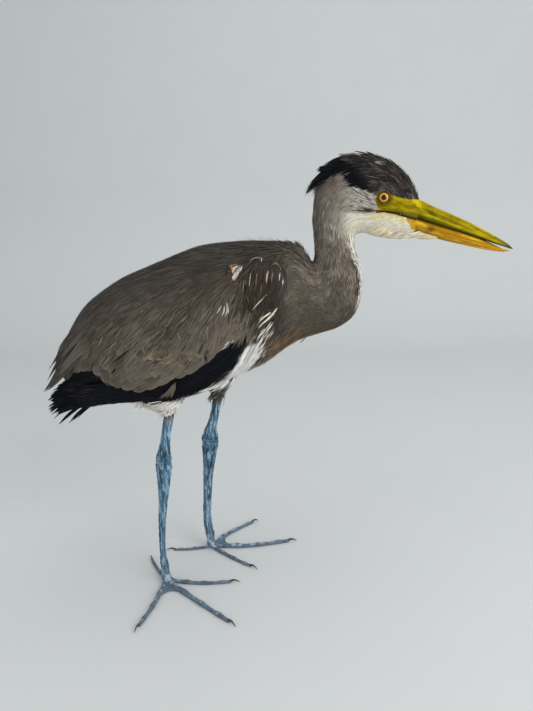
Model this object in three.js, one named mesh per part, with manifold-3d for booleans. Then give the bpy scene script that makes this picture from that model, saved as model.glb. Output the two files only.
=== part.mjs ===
// Standing grey heron (Ardea cinerea), first-year bird, life size, as one still model.
// Millimetres, +Z up, the bird faces +X and its left side is +Y.
// Built about a point on the floor midway between the two feet, then moved so that
// the origin lies at the bottom centre of the whole bird's box.
import * as THREE from 'three';
import { mergeVertices } from 'three/addons/utils/BufferGeometryUtils.js';
import Module from 'manifold-3d';

const wasm = await Module();
wasm.setup();

// ---------------------------------------------------------------- driving sizes
const GAP = 0.3;              // clearance kept between neighbouring pieces
const GROW = 0.45;            // how far a neighbour is swollen before it is cut away
const TARSUS_LENGTH = 132;    // ankle joint to toe roots
const ANKLE_HEIGHT = 144;     // ankle joint above the floor
const STRIDE = 34;            // one foot ahead of the other, along X
const STANCE = 80;            // between the two feet, across Y
const FOOT_HEIGHT = 12;       // toe roots above the floor
const BACK_SEGMENTS = 22;     // sides round the trunk
const NECK_SEGMENTS = 20;     // sides round the neck
const HEAD_SEGMENTS = 20;     // sides round the head
const EYE_RADIUS = 8;         // eyeball
const EYE_CENTRE = { x: 231, y: 12.6, z: 417 };
const TOE_RADII = { inner: 2.7, middle: 3.2, outer: 2.9, hind: 2.3 };   // at the toes' roots
const CLAW_LENGTH = 11.5;

// ---------------------------------------------------------------- colours
const COLOURS = {
  back: 0x57514c, neck: 0x6d6459, head: 0x3b3733, wing: 0x6a6159, flight: 0x17161a,
  tail: 0x3a3836, belly: 0xb9b2a6, bill_upper: 0x8f8a4a, bill_lower: 0xc98a3a,
  eye: 0xd98a2b, leg: 0x5d8299, toe: 0x5a7182, claw: 0x3a332e,
};
const material = (name, roughness = 0.8) =>
  new THREE.MeshStandardMaterial({ color: COLOURS[name], roughness, metalness: 0 });

// ---------------------------------------------------------------- small tools
// Closed shell from rings of equal count, each end closed by a fan to a point.
function shell(rings, startPoint, endPoint) {
  const n = rings[0].length;
  const vertices = [];
  const faces = [];
  for (const ring of rings) for (const p of ring) vertices.push(p.x, p.y, p.z);
  for (let r = 0; r + 1 < rings.length; r++) {
    for (let i = 0; i < n; i++) {
      const a = r * n + i;
      const b = r * n + ((i + 1) % n);
      faces.push(a, b, a + n, b, b + n, a + n);
    }
  }
  const centre = (ring) => ring.reduce((s, p) => s.add(p), new THREE.Vector3()).divideScalar(n);
  const first = vertices.length / 3;
  const s = startPoint ?? centre(rings[0]);
  const e = endPoint ?? centre(rings[rings.length - 1]);
  vertices.push(s.x, s.y, s.z, e.x, e.y, e.z);
  const last = (rings.length - 1) * n;
  for (let i = 0; i < n; i++) {
    const j = (i + 1) % n;
    faces.push(first, j, i);
    faces.push(first + 1, last + i, last + j);
  }
  const geometry = new THREE.BufferGeometry();
  geometry.setAttribute('position', new THREE.Float32BufferAttribute(vertices, 3));
  geometry.setIndex(faces);
  return geometry;
}

// three.js geometry to solid. Turns the faces outwards if they came out inside out.
function solid(geometry) {
  let g = geometry.clone();
  g.deleteAttribute('normal');
  g.deleteAttribute('uv');
  g = mergeVertices(g, 1e-4);
  const position = g.getAttribute('position').array;
  const index = Array.from(g.index.array);
  let volume = 0;
  for (let i = 0; i < index.length; i += 3) {
    const [a, b, c] = [0, 1, 2].map((k) => new THREE.Vector3().fromArray(position, index[i + k] * 3));
    volume += a.dot(b.cross(c)) / 6;
  }
  if (volume < 0) {
    for (let i = 0; i < index.length; i += 3) [index[i + 1], index[i + 2]] = [index[i + 2], index[i + 1]];
  }
  return new wasm.Manifold(new wasm.Mesh({
    numProp: 3,
    vertProperties: new Float32Array(position),
    triVerts: new Uint32Array(index),
  }));
}

// The same solid with every corner pushed out along its normal.
function grown(body, d = GROW) {
  const mesh = body.getMesh();
  const g = new THREE.BufferGeometry();
  g.setAttribute('position', new THREE.Float32BufferAttribute(Float32Array.from(mesh.vertProperties), 3));
  g.setIndex(Array.from(mesh.triVerts));
  g.computeVertexNormals();
  const p = g.getAttribute('position');
  const n = g.getAttribute('normal');
  for (let i = 0; i < p.count; i++) {
    p.setXYZ(i, p.getX(i) + d * n.getX(i), p.getY(i) + d * n.getY(i), p.getZ(i) + d * n.getZ(i));
  }
  return solid(g);
}

// Largest connected lump of a cut solid, so that no crumbs stay behind.
function mainLump(body) {
  const lumps = body.decompose();
  return lumps.reduce((best, l) => (l.volume() > best.volume() ? l : best), lumps[0]);
}

// The solid's mirror image across the bird's middle plane.
function mirrored(body) {
  const mesh = body.getMesh();
  const g = new THREE.BufferGeometry();
  g.setAttribute('position', new THREE.Float32BufferAttribute(Float32Array.from(mesh.vertProperties), 3));
  g.setIndex(Array.from(mesh.triVerts));
  return solid(g.scale(1, -1, 1));
}

// Smooth track through rows of numbers, all columns blended together.
function smoothRows(rows, perSpan) {
  const width = rows[0].length;
  const out = [];
  for (let s = 0; s + 1 < rows.length; s++) {
    const steps = Array.isArray(perSpan) ? perSpan[s] : perSpan;
    const [a, b, c, d] = [rows[Math.max(s - 1, 0)], rows[s], rows[s + 1], rows[Math.min(s + 2, rows.length - 1)]];
    for (let k = 0; k < steps; k++) {
      const t = k / steps;
      const row = [];
      for (let j = 0; j < width; j++) {
        const m0 = (c[j] - a[j]) / 2;
        const m1 = (d[j] - b[j]) / 2;
        row.push((2 * t ** 3 - 3 * t ** 2 + 1) * b[j] + (t ** 3 - 2 * t ** 2 + t) * m0
          + (-2 * t ** 3 + 3 * t ** 2) * c[j] + (t ** 3 - t ** 2) * m1);
      }
      out.push(row);
    }
  }
  out.push(rows[rows.length - 1]);
  return out;
}

// Body ring from [upper x, upper z, lower x, lower z, half width, height of the widest
// point as a share of the ring, squareness].
function bodyRing([ux, uz, lx, lz, w, e, p], n, lift = 0) {
  const up = new THREE.Vector3(ux - lx, 0, uz - lz);
  const height = up.length();
  up.normalize();
  const ahead = new THREE.Vector3(up.z, 0, -up.x);
  const middle = new THREE.Vector3(lx, 0, lz).addScaledVector(up, e * height);
  const ring = [];
  for (let i = 0; i < n; i++) {
    const t = (2 * Math.PI * i) / n;
    const s = Math.sin(t);
    const c = Math.cos(t);
    const half = s > 0 ? (1 - e) * height : e * height;
    const v = Math.sign(s) * Math.abs(s) ** (2 / p) * half;
    const y = Math.sign(c) * Math.abs(c) ** (2 / p) * w;
    ring.push(middle.clone().addScaledVector(up, v).addScaledVector(ahead, lift).add(new THREE.Vector3(0, y, 0)));
  }
  return ring;
}

// One length of the body between two rows of the track.
function bodyLength(rows, n) {
  const rings = rows.map((row, i) => bodyRing(row, n, i === 0 ? GAP / 2 : i === rows.length - 1 ? -GAP / 2 : 0));
  return solid(shell(rings));
}

// Round or flattened bar along a line of [x, y, z, half width across, half height].
function bar(rows, n, { tipStart = 0, tipEnd = 0, across = null } = {}) {
  const points = rows.map((r) => new THREE.Vector3(r[0], r[1], r[2]));
  const rings = points.map((p, i) => {
    const a = points[Math.max(i - 1, 0)];
    const b = points[Math.min(i + 1, points.length - 1)];
    const along = b.clone().sub(a).normalize();
    const side = (across ? across.clone() : new THREE.Vector3(0, 0, 1).cross(along));
    if (side.length() < 0.2) side.set(0, 1, 0);
    side.addScaledVector(along, -side.dot(along)).normalize();
    const top = along.clone().cross(side).normalize();
    const ring = [];
    for (let k = 0; k < n; k++) {
      const t = (2 * Math.PI * (k + 0.5)) / n;
      ring.push(p.clone().addScaledVector(side, Math.cos(t) * rows[i][3]).addScaledVector(top, Math.sin(t) * rows[i][4]));
    }
    return ring;
  });
  const first = points[0].clone().sub(points[1]).normalize().multiplyScalar(tipStart).add(points[0]);
  const last = points[points.length - 1].clone().sub(points[points.length - 2]).normalize()
    .multiplyScalar(tipEnd).add(points[points.length - 1]);
  return solid(shell(rings, first, last));
}

// Flat-bottomed below the floor line.
function onFloor(body) {
  const box = solid(new THREE.BoxGeometry(900, 900, 200).translate(0, 0, -100));
  return body.subtract(box);
}

// ---------------------------------------------------------------- trunk, neck and head
// upper x, upper z, lower x, lower z, half width, widest height, squareness
const BODY = [
  [-149, 251, -146, 238, 13, 0.50, 2.0],
  [-135, 270, -130, 228, 26, 0.50, 2.0],
  [-121, 286, -113, 220, 36, 0.50, 2.0],
  [-96, 318, -88, 210, 48, 0.52, 2.0],
  [-75, 334, -66, 203, 54, 0.54, 2.05],
  [-50, 348, -42, 200, 58, 0.56, 2.1],
  [-21, 359, -18, 200, 60, 0.58, 2.1],
  [10, 370, 8, 206, 60, 0.58, 2.1],
  [39, 379, 36, 216, 59, 0.57, 2.1],
  [79, 382, 70, 232, 57, 0.56, 2.1],
  [109, 381, 100, 245, 52, 0.54, 2.1],
  [130, 379, 124, 262, 45, 0.52, 2.1],
  [146, 373, 142, 270, 38, 0.50, 2.0],   // shoulders, where the neck leaves
  [154, 361, 162, 276, 32, 0.50, 2.0],
  [156.5, 358, 184, 283, 28, 0.50, 2.0],
  [157.5, 359, 200, 295, 25.5, 0.50, 2.0],
  [158, 362, 208, 312, 24, 0.50, 2.0],
  [158, 368, 211, 335, 23, 0.50, 2.0],
  [158, 378, 207.5, 354, 22.2, 0.50, 2.0],
  [157.5, 390, 203.5, 368, 21.6, 0.50, 2.0],
  [157, 402, 203.5, 377, 21, 0.50, 2.0],  // throat
  [158, 417, 207, 381, 20.4, 0.50, 2.0],
  [163, 434, 213, 381.5, 20.2, 0.50, 2.0],
  [174, 450, 220, 380.5, 20.4, 0.52, 2.0],
  [191, 458.5, 228, 379, 20.4, 0.52, 2.0],
  [208, 461, 235, 377, 20, 0.53, 2.0],
  [225, 458.5, 241, 375.5, 18.4, 0.53, 2.0],
  [239, 451, 247, 375, 16.4, 0.50, 2.0],
  [250, 441, 253, 375.5, 14.2, 0.48, 2.05],
  [258.5, 428, 258, 377.5, 12.2, 0.46, 2.1],
  [265.5, 413.5, 262.5, 381.5, 10.6, 0.45, 2.2],
];
const ROW = { shoulders: 12, foldOfNeck: 15, throat: 20 };
const span = (from, to, steps) => smoothRows(BODY.slice(from, to + 1), steps);

const trunkRaw = bodyLength(span(0, ROW.shoulders, [1, 1, 1, 1, 1, 1, 1, 1, 1, 1, 1, 1]), BACK_SEGMENTS);
const neckLowerRaw = bodyLength(span(ROW.shoulders, ROW.foldOfNeck, [2, 2, 1]), NECK_SEGMENTS);
const neckUpperRaw = bodyLength(span(ROW.foldOfNeck, ROW.throat, [2, 2, 1, 1, 1]), NECK_SEGMENTS);
const headRaw = bodyLength(span(ROW.throat, BODY.length - 1, 1), HEAD_SEGMENTS);

// ---------------------------------------------------------------- eyes
const eyeLeft = solid(new THREE.SphereGeometry(EYE_RADIUS, 12, 8).rotateX(Math.PI / 2)
  .translate(EYE_CENTRE.x, EYE_CENTRE.y, EYE_CENTRE.z));
const eyeRight = mirrored(eyeLeft);

// ---------------------------------------------------------------- bill
// upper x, upper z, lower x, lower z, half width, widest height, squareness
const BILL_UPPER = [
  [266.3, 413.0, 263.9, 394.2, 10.2, 0.30, 1.9],
  [281, 405.2, 277, 389.6, 8.7, 0.28, 1.8],
  [296, 398, 291, 384.6, 7.4, 0.26, 1.75],
  [312, 389.9, 307, 378.9, 6.0, 0.26, 1.75],
  [327, 381.6, 323, 373.0, 4.7, 0.26, 1.75],
  [341, 373.2, 337.5, 367.2, 3.3, 0.28, 1.8],
  [351, 366.2, 348.5, 363.2, 1.9, 0.35, 1.9],
  [355.2, 362.3, 354, 361.2, 0.8, 0.5, 2],
];
const BILL_LOWER = [
  [263.7, 393.0, 262.9, 382.0, 9.7, 0.62, 2.0],
  [276.7, 388.4, 275.2, 377.0, 8.2, 0.62, 1.9],
  [290.7, 383.4, 288.8, 372.4, 6.8, 0.64, 1.8],
  [306.6, 377.7, 304.6, 368.0, 5.4, 0.66, 1.75],
  [322.5, 371.7, 320.6, 363.6, 4.1, 0.68, 1.75],
  [336.8, 365.8, 335.2, 360.2, 2.8, 0.66, 1.8],
  [346.6, 361.4, 345.6, 358.6, 1.6, 0.6, 1.9],
  [352.2, 359.9, 351.8, 359.0, 0.7, 0.5, 2],
];
const billUpper = solid(shell(smoothRows(BILL_UPPER, 1).map((r) => bodyRing(r, 16)), null, new THREE.Vector3(356, 0, 361.2)));
const billLower = solid(shell(smoothRows(BILL_LOWER, 1).map((r) => bodyRing(r, 16)), null, new THREE.Vector3(353, 0, 359.3)));

// ---------------------------------------------------------------- nape plumes
// Two soft tufts that hang from the back of the crown, and a short one above them.
const plume = (rows) => bar(rows, 6, { tipEnd: 1.5 });
const napePlumes = plume([[186, 0, 452, 12, 5], [172, 0, 443, 11, 5.2], [160, 0, 433, 7.5, 4], [152.6, 0, 427.4, 2.6, 1.4]])
  .add(plume([[200, 0, 455, 12, 5], [184, 0, 453, 9, 4.6], [170.5, 0, 447.6, 3, 1.6]]));

// ---------------------------------------------------------------- wings
// One folded wing is a long lens laid on the side: x, top edge z, bottom edge z,
// outermost y, y of the top edge, y of the bottom edge.
const WING = [
  [-134, 262, 247, 30, 22, 24],
  [-116, 280, 242, 44, 30, 34],
  [-102, 293, 236, 52, 34, 42],
  [-86, 305, 248, 59, 36, 46],
  [-70, 318, 252, 64, 38, 49],
  [-56, 327, 239, 68, 38, 51],
  [-36, 337, 234, 71, 38, 53],
  [-15, 345, 232, 73, 38, 54],
  [8, 352, 242, 75, 38, 55],
  [30, 358, 251, 75, 38, 55],
  [52, 362, 260, 74, 38, 54],
  [68, 362, 270, 71, 38, 52],
  [86, 362, 283, 67, 37, 49],
  [104, 361, 303, 62, 35, 44],
  [120, 359, 324, 54, 32, 38],
  [130, 353, 338, 45, 28, 32],
];
function lens([x, zt, zb, yo, yt, yb], n, side) {
  const ring = [];
  for (let i = 0; i < n; i++) {
    const t = (2 * Math.PI * (i + 0.5)) / n;
    const v = 0.5 + 0.5 * Math.sin(t);
    const mid = yb + (yt - yb) * v;
    const bulge = yo - (yt + yb) / 2;
    ring.push(new THREE.Vector3(x, side * (mid + Math.cos(t) * bulge), zb + (zt - zb) * v));
  }
  return ring;
}
const wingPlain = solid(shell(smoothRows(WING, 1).map((r) => lens(r, 12, 1))));

// Flight feathers: a dark slab that shows below the coverts, with loose tips behind.
// x, top z, bottom z, outermost y, y of the top, y of the bottom.
const FLIGHT = [
  [-126, 248, 201, 42, 32, 28],
  [-100, 266, 207, 50, 41, 36],
  [-62, 270, 214, 56, 47, 42],
  [-24, 264, 218, 59, 51, 45],
  [12, 266, 221, 61, 53, 46],
  [36, 274, 227, 61, 54, 47],
  [58, 286, 240, 61, 53, 47],
  [78, 298, 260, 58, 50, 45],
  [92, 304, 281, 52, 45, 42],
];
const flightSlab = solid(shell(smoothRows(FLIGHT, 1).map((r) => lens(r, 10, 1))));
// loose tips: start x, y, z, tip x, y, z, half breadth, drop of the middle
const FLIGHT_TIPS = [
  [-108, 40, 232, -137.5, 27, 217, 6.5, 0],
  [-108, 38, 222, -138.5, 28, 205, 6.2, -1],
  [-106, 37, 214, -135, 30, 192, 5.6, -2],
  [-104, 37, 212, -130.5, 32, 186, 4.4, -3],
  [-96, 37, 213, -118, 34, 187.5, 4.4, -2],
];
// brown inner wing feathers that reach back over the dark ones, in the same form
const COVERT_TIPS = [
  [-112, 36, 262, -138.5, 26, 248, 6.0, 1],
  [-110, 39, 252, -139, 29, 237.5, 5.6, 0],
  [-108, 41, 245, -140.5, 31, 227, 4.6, 0],
];
function featherTip([ax, ay, az, bx, by, bz, half, sag], thick = 1.6) {
  const rows = [];
  for (const [t, taper] of [[0, 1], [0.5, 1], [0.8, 0.8], [1, 0.3]]) {
    rows.push([ax + (bx - ax) * t, ay + (by - ay) * t, az + (bz - az) * t + sag * Math.sin(Math.PI * t), thick * (t === 1 ? 0.5 : 1), half * taper]);
  }
  return bar(rows, 6, { tipEnd: 2 });
}
let flightRaw = flightSlab;
for (const tip of FLIGHT_TIPS) flightRaw = flightRaw.add(featherTip(tip));
let wingRaw = wingPlain;
for (const tip of COVERT_TIPS) wingRaw = wingRaw.add(featherTip(tip));

// ---------------------------------------------------------------- tail
// Short square tail under the wing tips: overlapping flat feathers from the rump.
let tailRaw = solid(shell([
  [-70, 244, 222, 26], [-95, 240, 219, 25], [-118, 235, 216, 24], [-134, 228, 213, 22],
].map(([x, zt, zb, w]) => bodyRing([x, zt, x, zb, w, 0.5, 2.3], 12))));
for (const [y, tip, drop] of [[0, -151, 213], [9, -150, 212], [-9, -150, 212], [17.5, -147, 209], [-17.5, -147, 209]]) {
  tailRaw = tailRaw.add(bar([
    [-112, y * 0.9, 226, 6.5, 2.2], [-141, y * 1.04, 217, 6.6, 1.9], [tip, y * 1.08, drop, 3, 1.1],
  ], 6, { tipEnd: 1.5 }));
}

// ---------------------------------------------------------------- legs
// The right leg is the near, rear one (y < 0); the left leg is a stride ahead.
// Sideways-flattened shank rows: x, y, z, half width fore and aft, half width across.
const RIGHT = {
  hub: [-17, -40], thigh: [-4, -38.5], yaw: -36,
  tibia: [[1.5, -37.2, 218, 6, 5.6], [1, -37, 202, 5.4, 5.0], [-3.4, -37.3, 182, 4.9, 4.4], [-6.2, -37.6, 168, 5.2, 4.6], [-8, -37.8, 158, 6.6, 5.6]],
  tarsus: [[-8.1, -37.9, 157.2, 6.7, 5.7], [-9.0, -38, 149, 8.6, 6.8], [-9.8, -38.1, 141, 9.0, 7.2], [-10.4, -38.3, 132, 8.4, 6.6],
    [-11.2, -38.5, 121, 7.4, 5.6], [-13.0, -38.8, 103, 5.6, 4.3], [-16.2, -39.2, 78, 4.3, 3.4], [-18.0, -39.5, 54, 3.7, 2.9],
    [-18.4, -39.8, 33, 3.7, 2.9], [-17.4, -40, 20, 4.8, 3.9]],
  toes: { inner: [[27, -41], [69, -32]], middle: [[25, -72], [81, -112]], outer: [[-16, -89], [-20, -133]], hind: [[-42, -9], [-57, 14]] },
};
const LEFT = {
  hub: [15, 40.5], thigh: [38, 36], yaw: 15,
  tibia: [[40, 36.8, 226, 6.2, 5.8], [37.5, 37, 205, 5.6, 5.0], [31, 37.4, 178, 5.0, 4.5], [27, 37.7, 164, 5.8, 5.0], [25.4, 37.8, 159, 6.8, 5.8]],
  tarsus: [[25.2, 37.9, 158.2, 6.9, 5.9], [24, 38, 150, 9.2, 7.0], [22.8, 38.1, 142, 9.6, 7.4], [21.4, 38.3, 131, 8.6, 6.6],
    [19.6, 38.5, 115, 7.0, 5.6], [17.2, 38.8, 96, 5.7, 4.6], [14.8, 39.2, 72, 4.8, 3.8], [12.8, 39.5, 50, 4.7, 3.5],
    [12.8, 39.8, 32, 4.9, 3.6], [14.6, 40, 19, 5.4, 4.3]],
  toes: { inner: [[52, 13], [84, -6]], middle: [[64, 46], [122, 67]], outer: [[29, 74], [62, 119]], hind: [[-10, 32], [-42, 28]] },
};
const turned = (deg) => new THREE.Vector3(-Math.sin(deg * Math.PI / 180), Math.cos(deg * Math.PI / 180), 0);

function shank(rows, yaw, tipStart, tipEnd) {
  // fore-and-aft width is the fourth column, so the bar's own "across" runs ahead
  const ahead = new THREE.Vector3(Math.cos(yaw * Math.PI / 180), Math.sin(yaw * Math.PI / 180), 0);
  return bar(rows, 12, { tipStart, tipEnd, across: ahead });
}

// Toe: half round bar on the floor with a swelling at each joint; the claw follows on.
function toeRows(hub, [mid, tip], joints, radius) {
  const a = new THREE.Vector3(hub[0], hub[1], 0);
  const m = new THREE.Vector3(mid[0], mid[1], 0);
  const b = new THREE.Vector3(tip[0], tip[1], 0);
  const curve = new THREE.CatmullRomCurve3([a, m, b], false, 'centripetal');
  const length = curve.getLength();
  const start = 5.4 / length;
  const stop = 1 - CLAW_LENGTH / length;
  const count = joints * 2 + 1;
  const rows = [];
  for (let i = 0; i <= count; i++) {
    const t = i / count;
    const p = curve.getPointAt(start + (stop - start) * t);
    const swell = 1 + 0.11 * (i % 2 === 0 ? 1 : -1);
    const r = radius * (1 - 0.3 * t) * swell;
    const z = r - 0.35 + (i === 0 ? 2.2 : 0) + (i === 1 ? 0.6 : 0);
    rows.push([p.x, p.y, z, r * 1.05, r]);
  }
  return { rows, curve, stop };
}

function clawRows({ curve, stop, rows }) {
  const r0 = rows[rows.length - 1][4] * 0.82;
  const out = [];
  for (let i = 0; i <= 3; i++) {
    const t = i / 3;
    const p = curve.getPointAt(Math.min(stop + (1 - stop) * (t * 0.96 + 0.04), 1));
    const r = Math.max(r0 * (1 - t) ** 0.75, 0.42);
    const z = r0 + 0.9 + 1.5 * Math.sin(Math.PI * Math.min(t * 1.25, 1)) - (r0 * 0.35) * t + (r0 - 1.9);
    out.push([p.x, p.y, Math.max(z, r + 0.05), r * 0.8, r]);
  }
  return out;
}

const nodes = [];
const put = (name, body, colour, roughness) => nodes.push({ name, body, colour, roughness });

function leg(side, data, s) {
  const { hub, yaw } = data;
  const tibia = shank(data.tibia, 0, 2, 0);
  const tarsus = shank([...data.tarsus, [hub[0], hub[1], 13.2, 4.7, 4.0]], yaw * 0.6, 0, 0);
  // knuckle where the toes meet, a half round pad with the webs spread from it
  let foot = solid(new THREE.SphereGeometry(1, 12, 8).rotateX(Math.PI / 2).scale(6.4, 5.8, 7.8).translate(hub[0], hub[1], 7.4));
  const toes = {};
  const claws = {};
  for (const [name, points] of Object.entries(data.toes)) {
    const joints = name === 'hind' ? 2 : 3;
    const t = toeRows(hub, points, joints, TOE_RADII[name]);
    toes[name] = bar(t.rows, 8, { tipStart: 0.8 });
    claws[name] = bar(clawRows(t), 6, { tipEnd: 0.9 });
  }
  // small web between the middle and outer toes, a thin wedge with a hollow edge
  const m = toeRows(hub, data.toes.middle, 3, TOE_RADII.middle).curve;
  const o = toeRows(hub, data.toes.outer, 3, TOE_RADII.outer).curve;
  const web = new THREE.Shape();
  const q1 = m.getPointAt(0.285);
  const q2 = o.getPointAt(0.33);
  web.moveTo(hub[0], hub[1]);
  web.lineTo(q1.x, q1.y);
  web.quadraticCurveTo((q1.x + q2.x) / 2 * 0.5 + hub[0] * 0.5, (q1.y + q2.y) / 2 * 0.5 + hub[1] * 0.5, q2.x, q2.y);
  web.closePath();
  foot = foot.add(solid(new THREE.ExtrudeGeometry(web, { depth: 2.2, bevelEnabled: false, curveSegments: 4 }).translate(0, 0, 0.9)));
  const floorFoot = onFloor(foot);
  const tarsusCut = mainLump(tarsus.subtract(grown(tibia)).subtract(grown(foot)));
  const tarsusGrown = grown(tarsusCut);
  put(`tibia_${side}`, tibia, 'leg', 0.55);
  put(`tarsus_${side}`, tarsusCut, 'leg', 0.5);
  const toeSolids = {};
  for (const name of Object.keys(toes)) {
    let t = onFloor(toes[name]).subtract(tarsusGrown);
    toeSolids[name] = t;
  }
  let hubSolid = floorFoot;
  for (const name of Object.keys(toeSolids)) hubSolid = hubSolid.subtract(grown(toes[name], 0.4));
  put(`foot_${side}`, mainLump(hubSolid), 'leg', 0.5);
  let taken = null;
  for (const name of Object.keys(toeSolids)) {
    let t = toeSolids[name];
    if (taken) t = t.subtract(taken);
    t = mainLump(t);
    taken = taken ? taken.add(grown(toes[name], 0.4)) : grown(toes[name], 0.4);
    put(`toe_${name}_${side}`, t, 'toe', 0.55);
    put(`claw_${name}_${side}`, claws[name], 'claw', 0.4);
  }
  return tibia;
}
const tibiaRight = leg('right', RIGHT, -1);
const tibiaLeft = leg('left', LEFT, 1);

// feathered thighs: soft puffs where each leg leaves the body
function thigh(cx, cy, lean, scale, bottom) {
  const rows = [
    [bottom - 1.5, 7.5, 7.0], [bottom + 3, 14, 11], [bottom + 10, 21, 16], [bottom + 22, 27, 20], [bottom + 38, 30, 22], [bottom + 54, 27, 19],
  ];
  const rings = rows.map(([z, rx, ry]) => {
    const ring = [];
    for (let i = 0; i < 14; i++) {
      const t = (2 * Math.PI * i) / 14;
      ring.push(new THREE.Vector3(cx + lean * (z - bottom) + Math.cos(t) * rx * scale, cy + Math.sin(t) * ry * scale, z));
    }
    return ring;
  });
  return solid(shell(rings));
}
const thighRightRaw = thigh(-3, -38, -0.08, 1, 203);
const thighLeftRaw = thigh(37, 36, 0.12, 0.86, 206);

// ---------------------------------------------------------------- fit the pieces together
const trunk = mainLump(trunkRaw);
const trunkGrown = grown(trunkRaw);
const wingLeft = mainLump(wingRaw.subtract(trunkGrown));
const wingGrown = grown(wingRaw);
const flightLeft = mainLump(flightRaw.subtract(trunkGrown).subtract(wingGrown));
const flightGrown = grown(flightSlab);
let tail = tailRaw.subtract(trunkGrown);
for (const f of [flightGrown, mirrored(flightGrown)]) tail = tail.subtract(f);
for (const tip of FLIGHT_TIPS) {
  const g = grown(featherTip(tip));
  tail = tail.subtract(g).subtract(mirrored(g));
}
tail = mainLump(tail);
const fit = (body, leg, flap, coat) => mainLump(body.subtract(trunkGrown).subtract(flap).subtract(coat).subtract(grown(leg)));
const thighRight = fit(thighRightRaw, tibiaRight, mirrored(flightGrown), mirrored(wingGrown));
const thighLeft = fit(thighLeftRaw, tibiaLeft, flightGrown, wingGrown);
const head = mainLump(headRaw.subtract(grown(eyeLeft, 0.4)).subtract(grown(eyeRight, 0.4)));
const headGrown = grown(headRaw);
const neckUpper = neckUpperRaw;
const crest = mainLump(napePlumes.subtract(headGrown).subtract(grown(neckUpperRaw)));
for (const [name, data] of [['right', tibiaRight], ['left', tibiaLeft]]) {
  const n = nodes.find((k) => k.name === `tibia_${name}`);
  n.body = mainLump(data.subtract(trunkGrown));
}

put('trunk', trunk, 'back', 0.85);
put('neck_lower', neckLowerRaw, 'neck', 0.85);
put('neck_upper', neckUpper, 'neck', 0.85);
put('head', head, 'head', 0.8);
put('crest', crest, 'head', 0.8);
put('eye_left', eyeLeft, 'eye', 0.1);
put('eye_right', eyeRight, 'eye', 0.1);
put('bill_upper', billUpper, 'bill_upper', 0.4);
put('bill_lower', billLower, 'bill_lower', 0.4);
put('wing_left', wingLeft, 'wing', 0.85);
put('wing_right', mirrored(wingLeft), 'wing', 0.85);
put('flight_feathers_left', flightLeft, 'flight', 0.6);
put('flight_feathers_right', mirrored(flightLeft), 'flight', 0.6);
put('tail', tail, 'tail', 0.7);
put('thigh_left', thighLeft, 'belly', 0.9);
put('thigh_right', thighRight, 'belly', 0.9);

// ---------------------------------------------------------------- scene graph
const box = new THREE.Box3();
const meshes = nodes.map(({ name, body, colour, roughness }) => {
  const m = body.getMesh();
  const geometry = new THREE.BufferGeometry();
  geometry.setAttribute('position', new THREE.Float32BufferAttribute(Float32Array.from(m.vertProperties), 3));
  geometry.setIndex(Array.from(m.triVerts));
  geometry.computeVertexNormals();
  geometry.computeBoundingBox();
  box.union(geometry.boundingBox);
  const mesh = new THREE.Mesh(geometry, material(colour, roughness));
  mesh.name = name;
  return mesh;
});
const heron = new THREE.Group();
heron.position.set(-(box.min.x + box.max.x) / 2, -(box.min.y + box.max.y) / 2, -box.min.z);
heron.add(...meshes);
heron.updateMatrixWorld(true);

export default heron;
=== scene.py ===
# Looks for the standing grey heron: one skin, a coat of mesh feathers, bill, eyes, claws.
# The heron's own frame is used for all numbers here: millimetres, +X ahead, +Y to its
# left, +Z up, about a point on the floor between the feet. place() takes it to the CAD frame.
import math

import bpy
import bmesh
import numpy as np
from mathutils import Matrix, Vector
from mathutils.bvhtree import BVHTree
from mathutils.kdtree import KDTree


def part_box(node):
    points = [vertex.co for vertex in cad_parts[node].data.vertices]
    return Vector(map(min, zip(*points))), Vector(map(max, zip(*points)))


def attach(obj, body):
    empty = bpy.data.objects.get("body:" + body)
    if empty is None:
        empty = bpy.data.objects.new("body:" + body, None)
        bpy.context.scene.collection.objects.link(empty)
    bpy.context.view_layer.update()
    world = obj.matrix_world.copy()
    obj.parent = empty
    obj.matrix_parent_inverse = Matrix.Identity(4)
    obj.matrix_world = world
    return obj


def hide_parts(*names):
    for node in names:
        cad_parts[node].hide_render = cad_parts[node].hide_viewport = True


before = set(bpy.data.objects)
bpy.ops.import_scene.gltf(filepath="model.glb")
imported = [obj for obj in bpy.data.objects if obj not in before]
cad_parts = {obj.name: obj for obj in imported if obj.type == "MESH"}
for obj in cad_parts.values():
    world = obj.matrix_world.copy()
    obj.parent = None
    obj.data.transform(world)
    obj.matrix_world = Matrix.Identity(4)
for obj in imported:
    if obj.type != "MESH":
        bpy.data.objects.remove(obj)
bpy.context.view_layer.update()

QUICK = 1.0

EYE = np.array([231.0, 12.6, 417.0])
lo, hi = [np.array(c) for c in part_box("eye_left")]
SHIFT = (lo + hi) / 2 * 1000 - EYE
EC = np.array([230.8, 12.6, 415.9])  # middle of the open eye


def place(p):
    return (np.asarray(p, float) + SHIFT) * 0.001


# ------------------------------------------------------------------ small maths
def sstep(a, b, x):
    t = np.clip((np.asarray(x, float) - a) / (b - a), 0, 1)
    return t * t * (3 - 2 * t)


def unit(v):
    return v / (np.linalg.norm(v, axis=-1, keepdims=True) + 1e-12)


def mix(a, b, t):
    t = np.asarray(t, float)[..., None]
    return np.asarray(a, float) * (1 - t) + np.asarray(b, float) * t


def srgb(r, g, b):
    return np.array([r, g, b], float) / 255.0


def linear(c):
    c = np.clip(np.asarray(c, float), 0, 1)
    return np.where(c <= 0.04045, c / 12.92, ((c + 0.055) / 1.055) ** 2.4)


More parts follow.
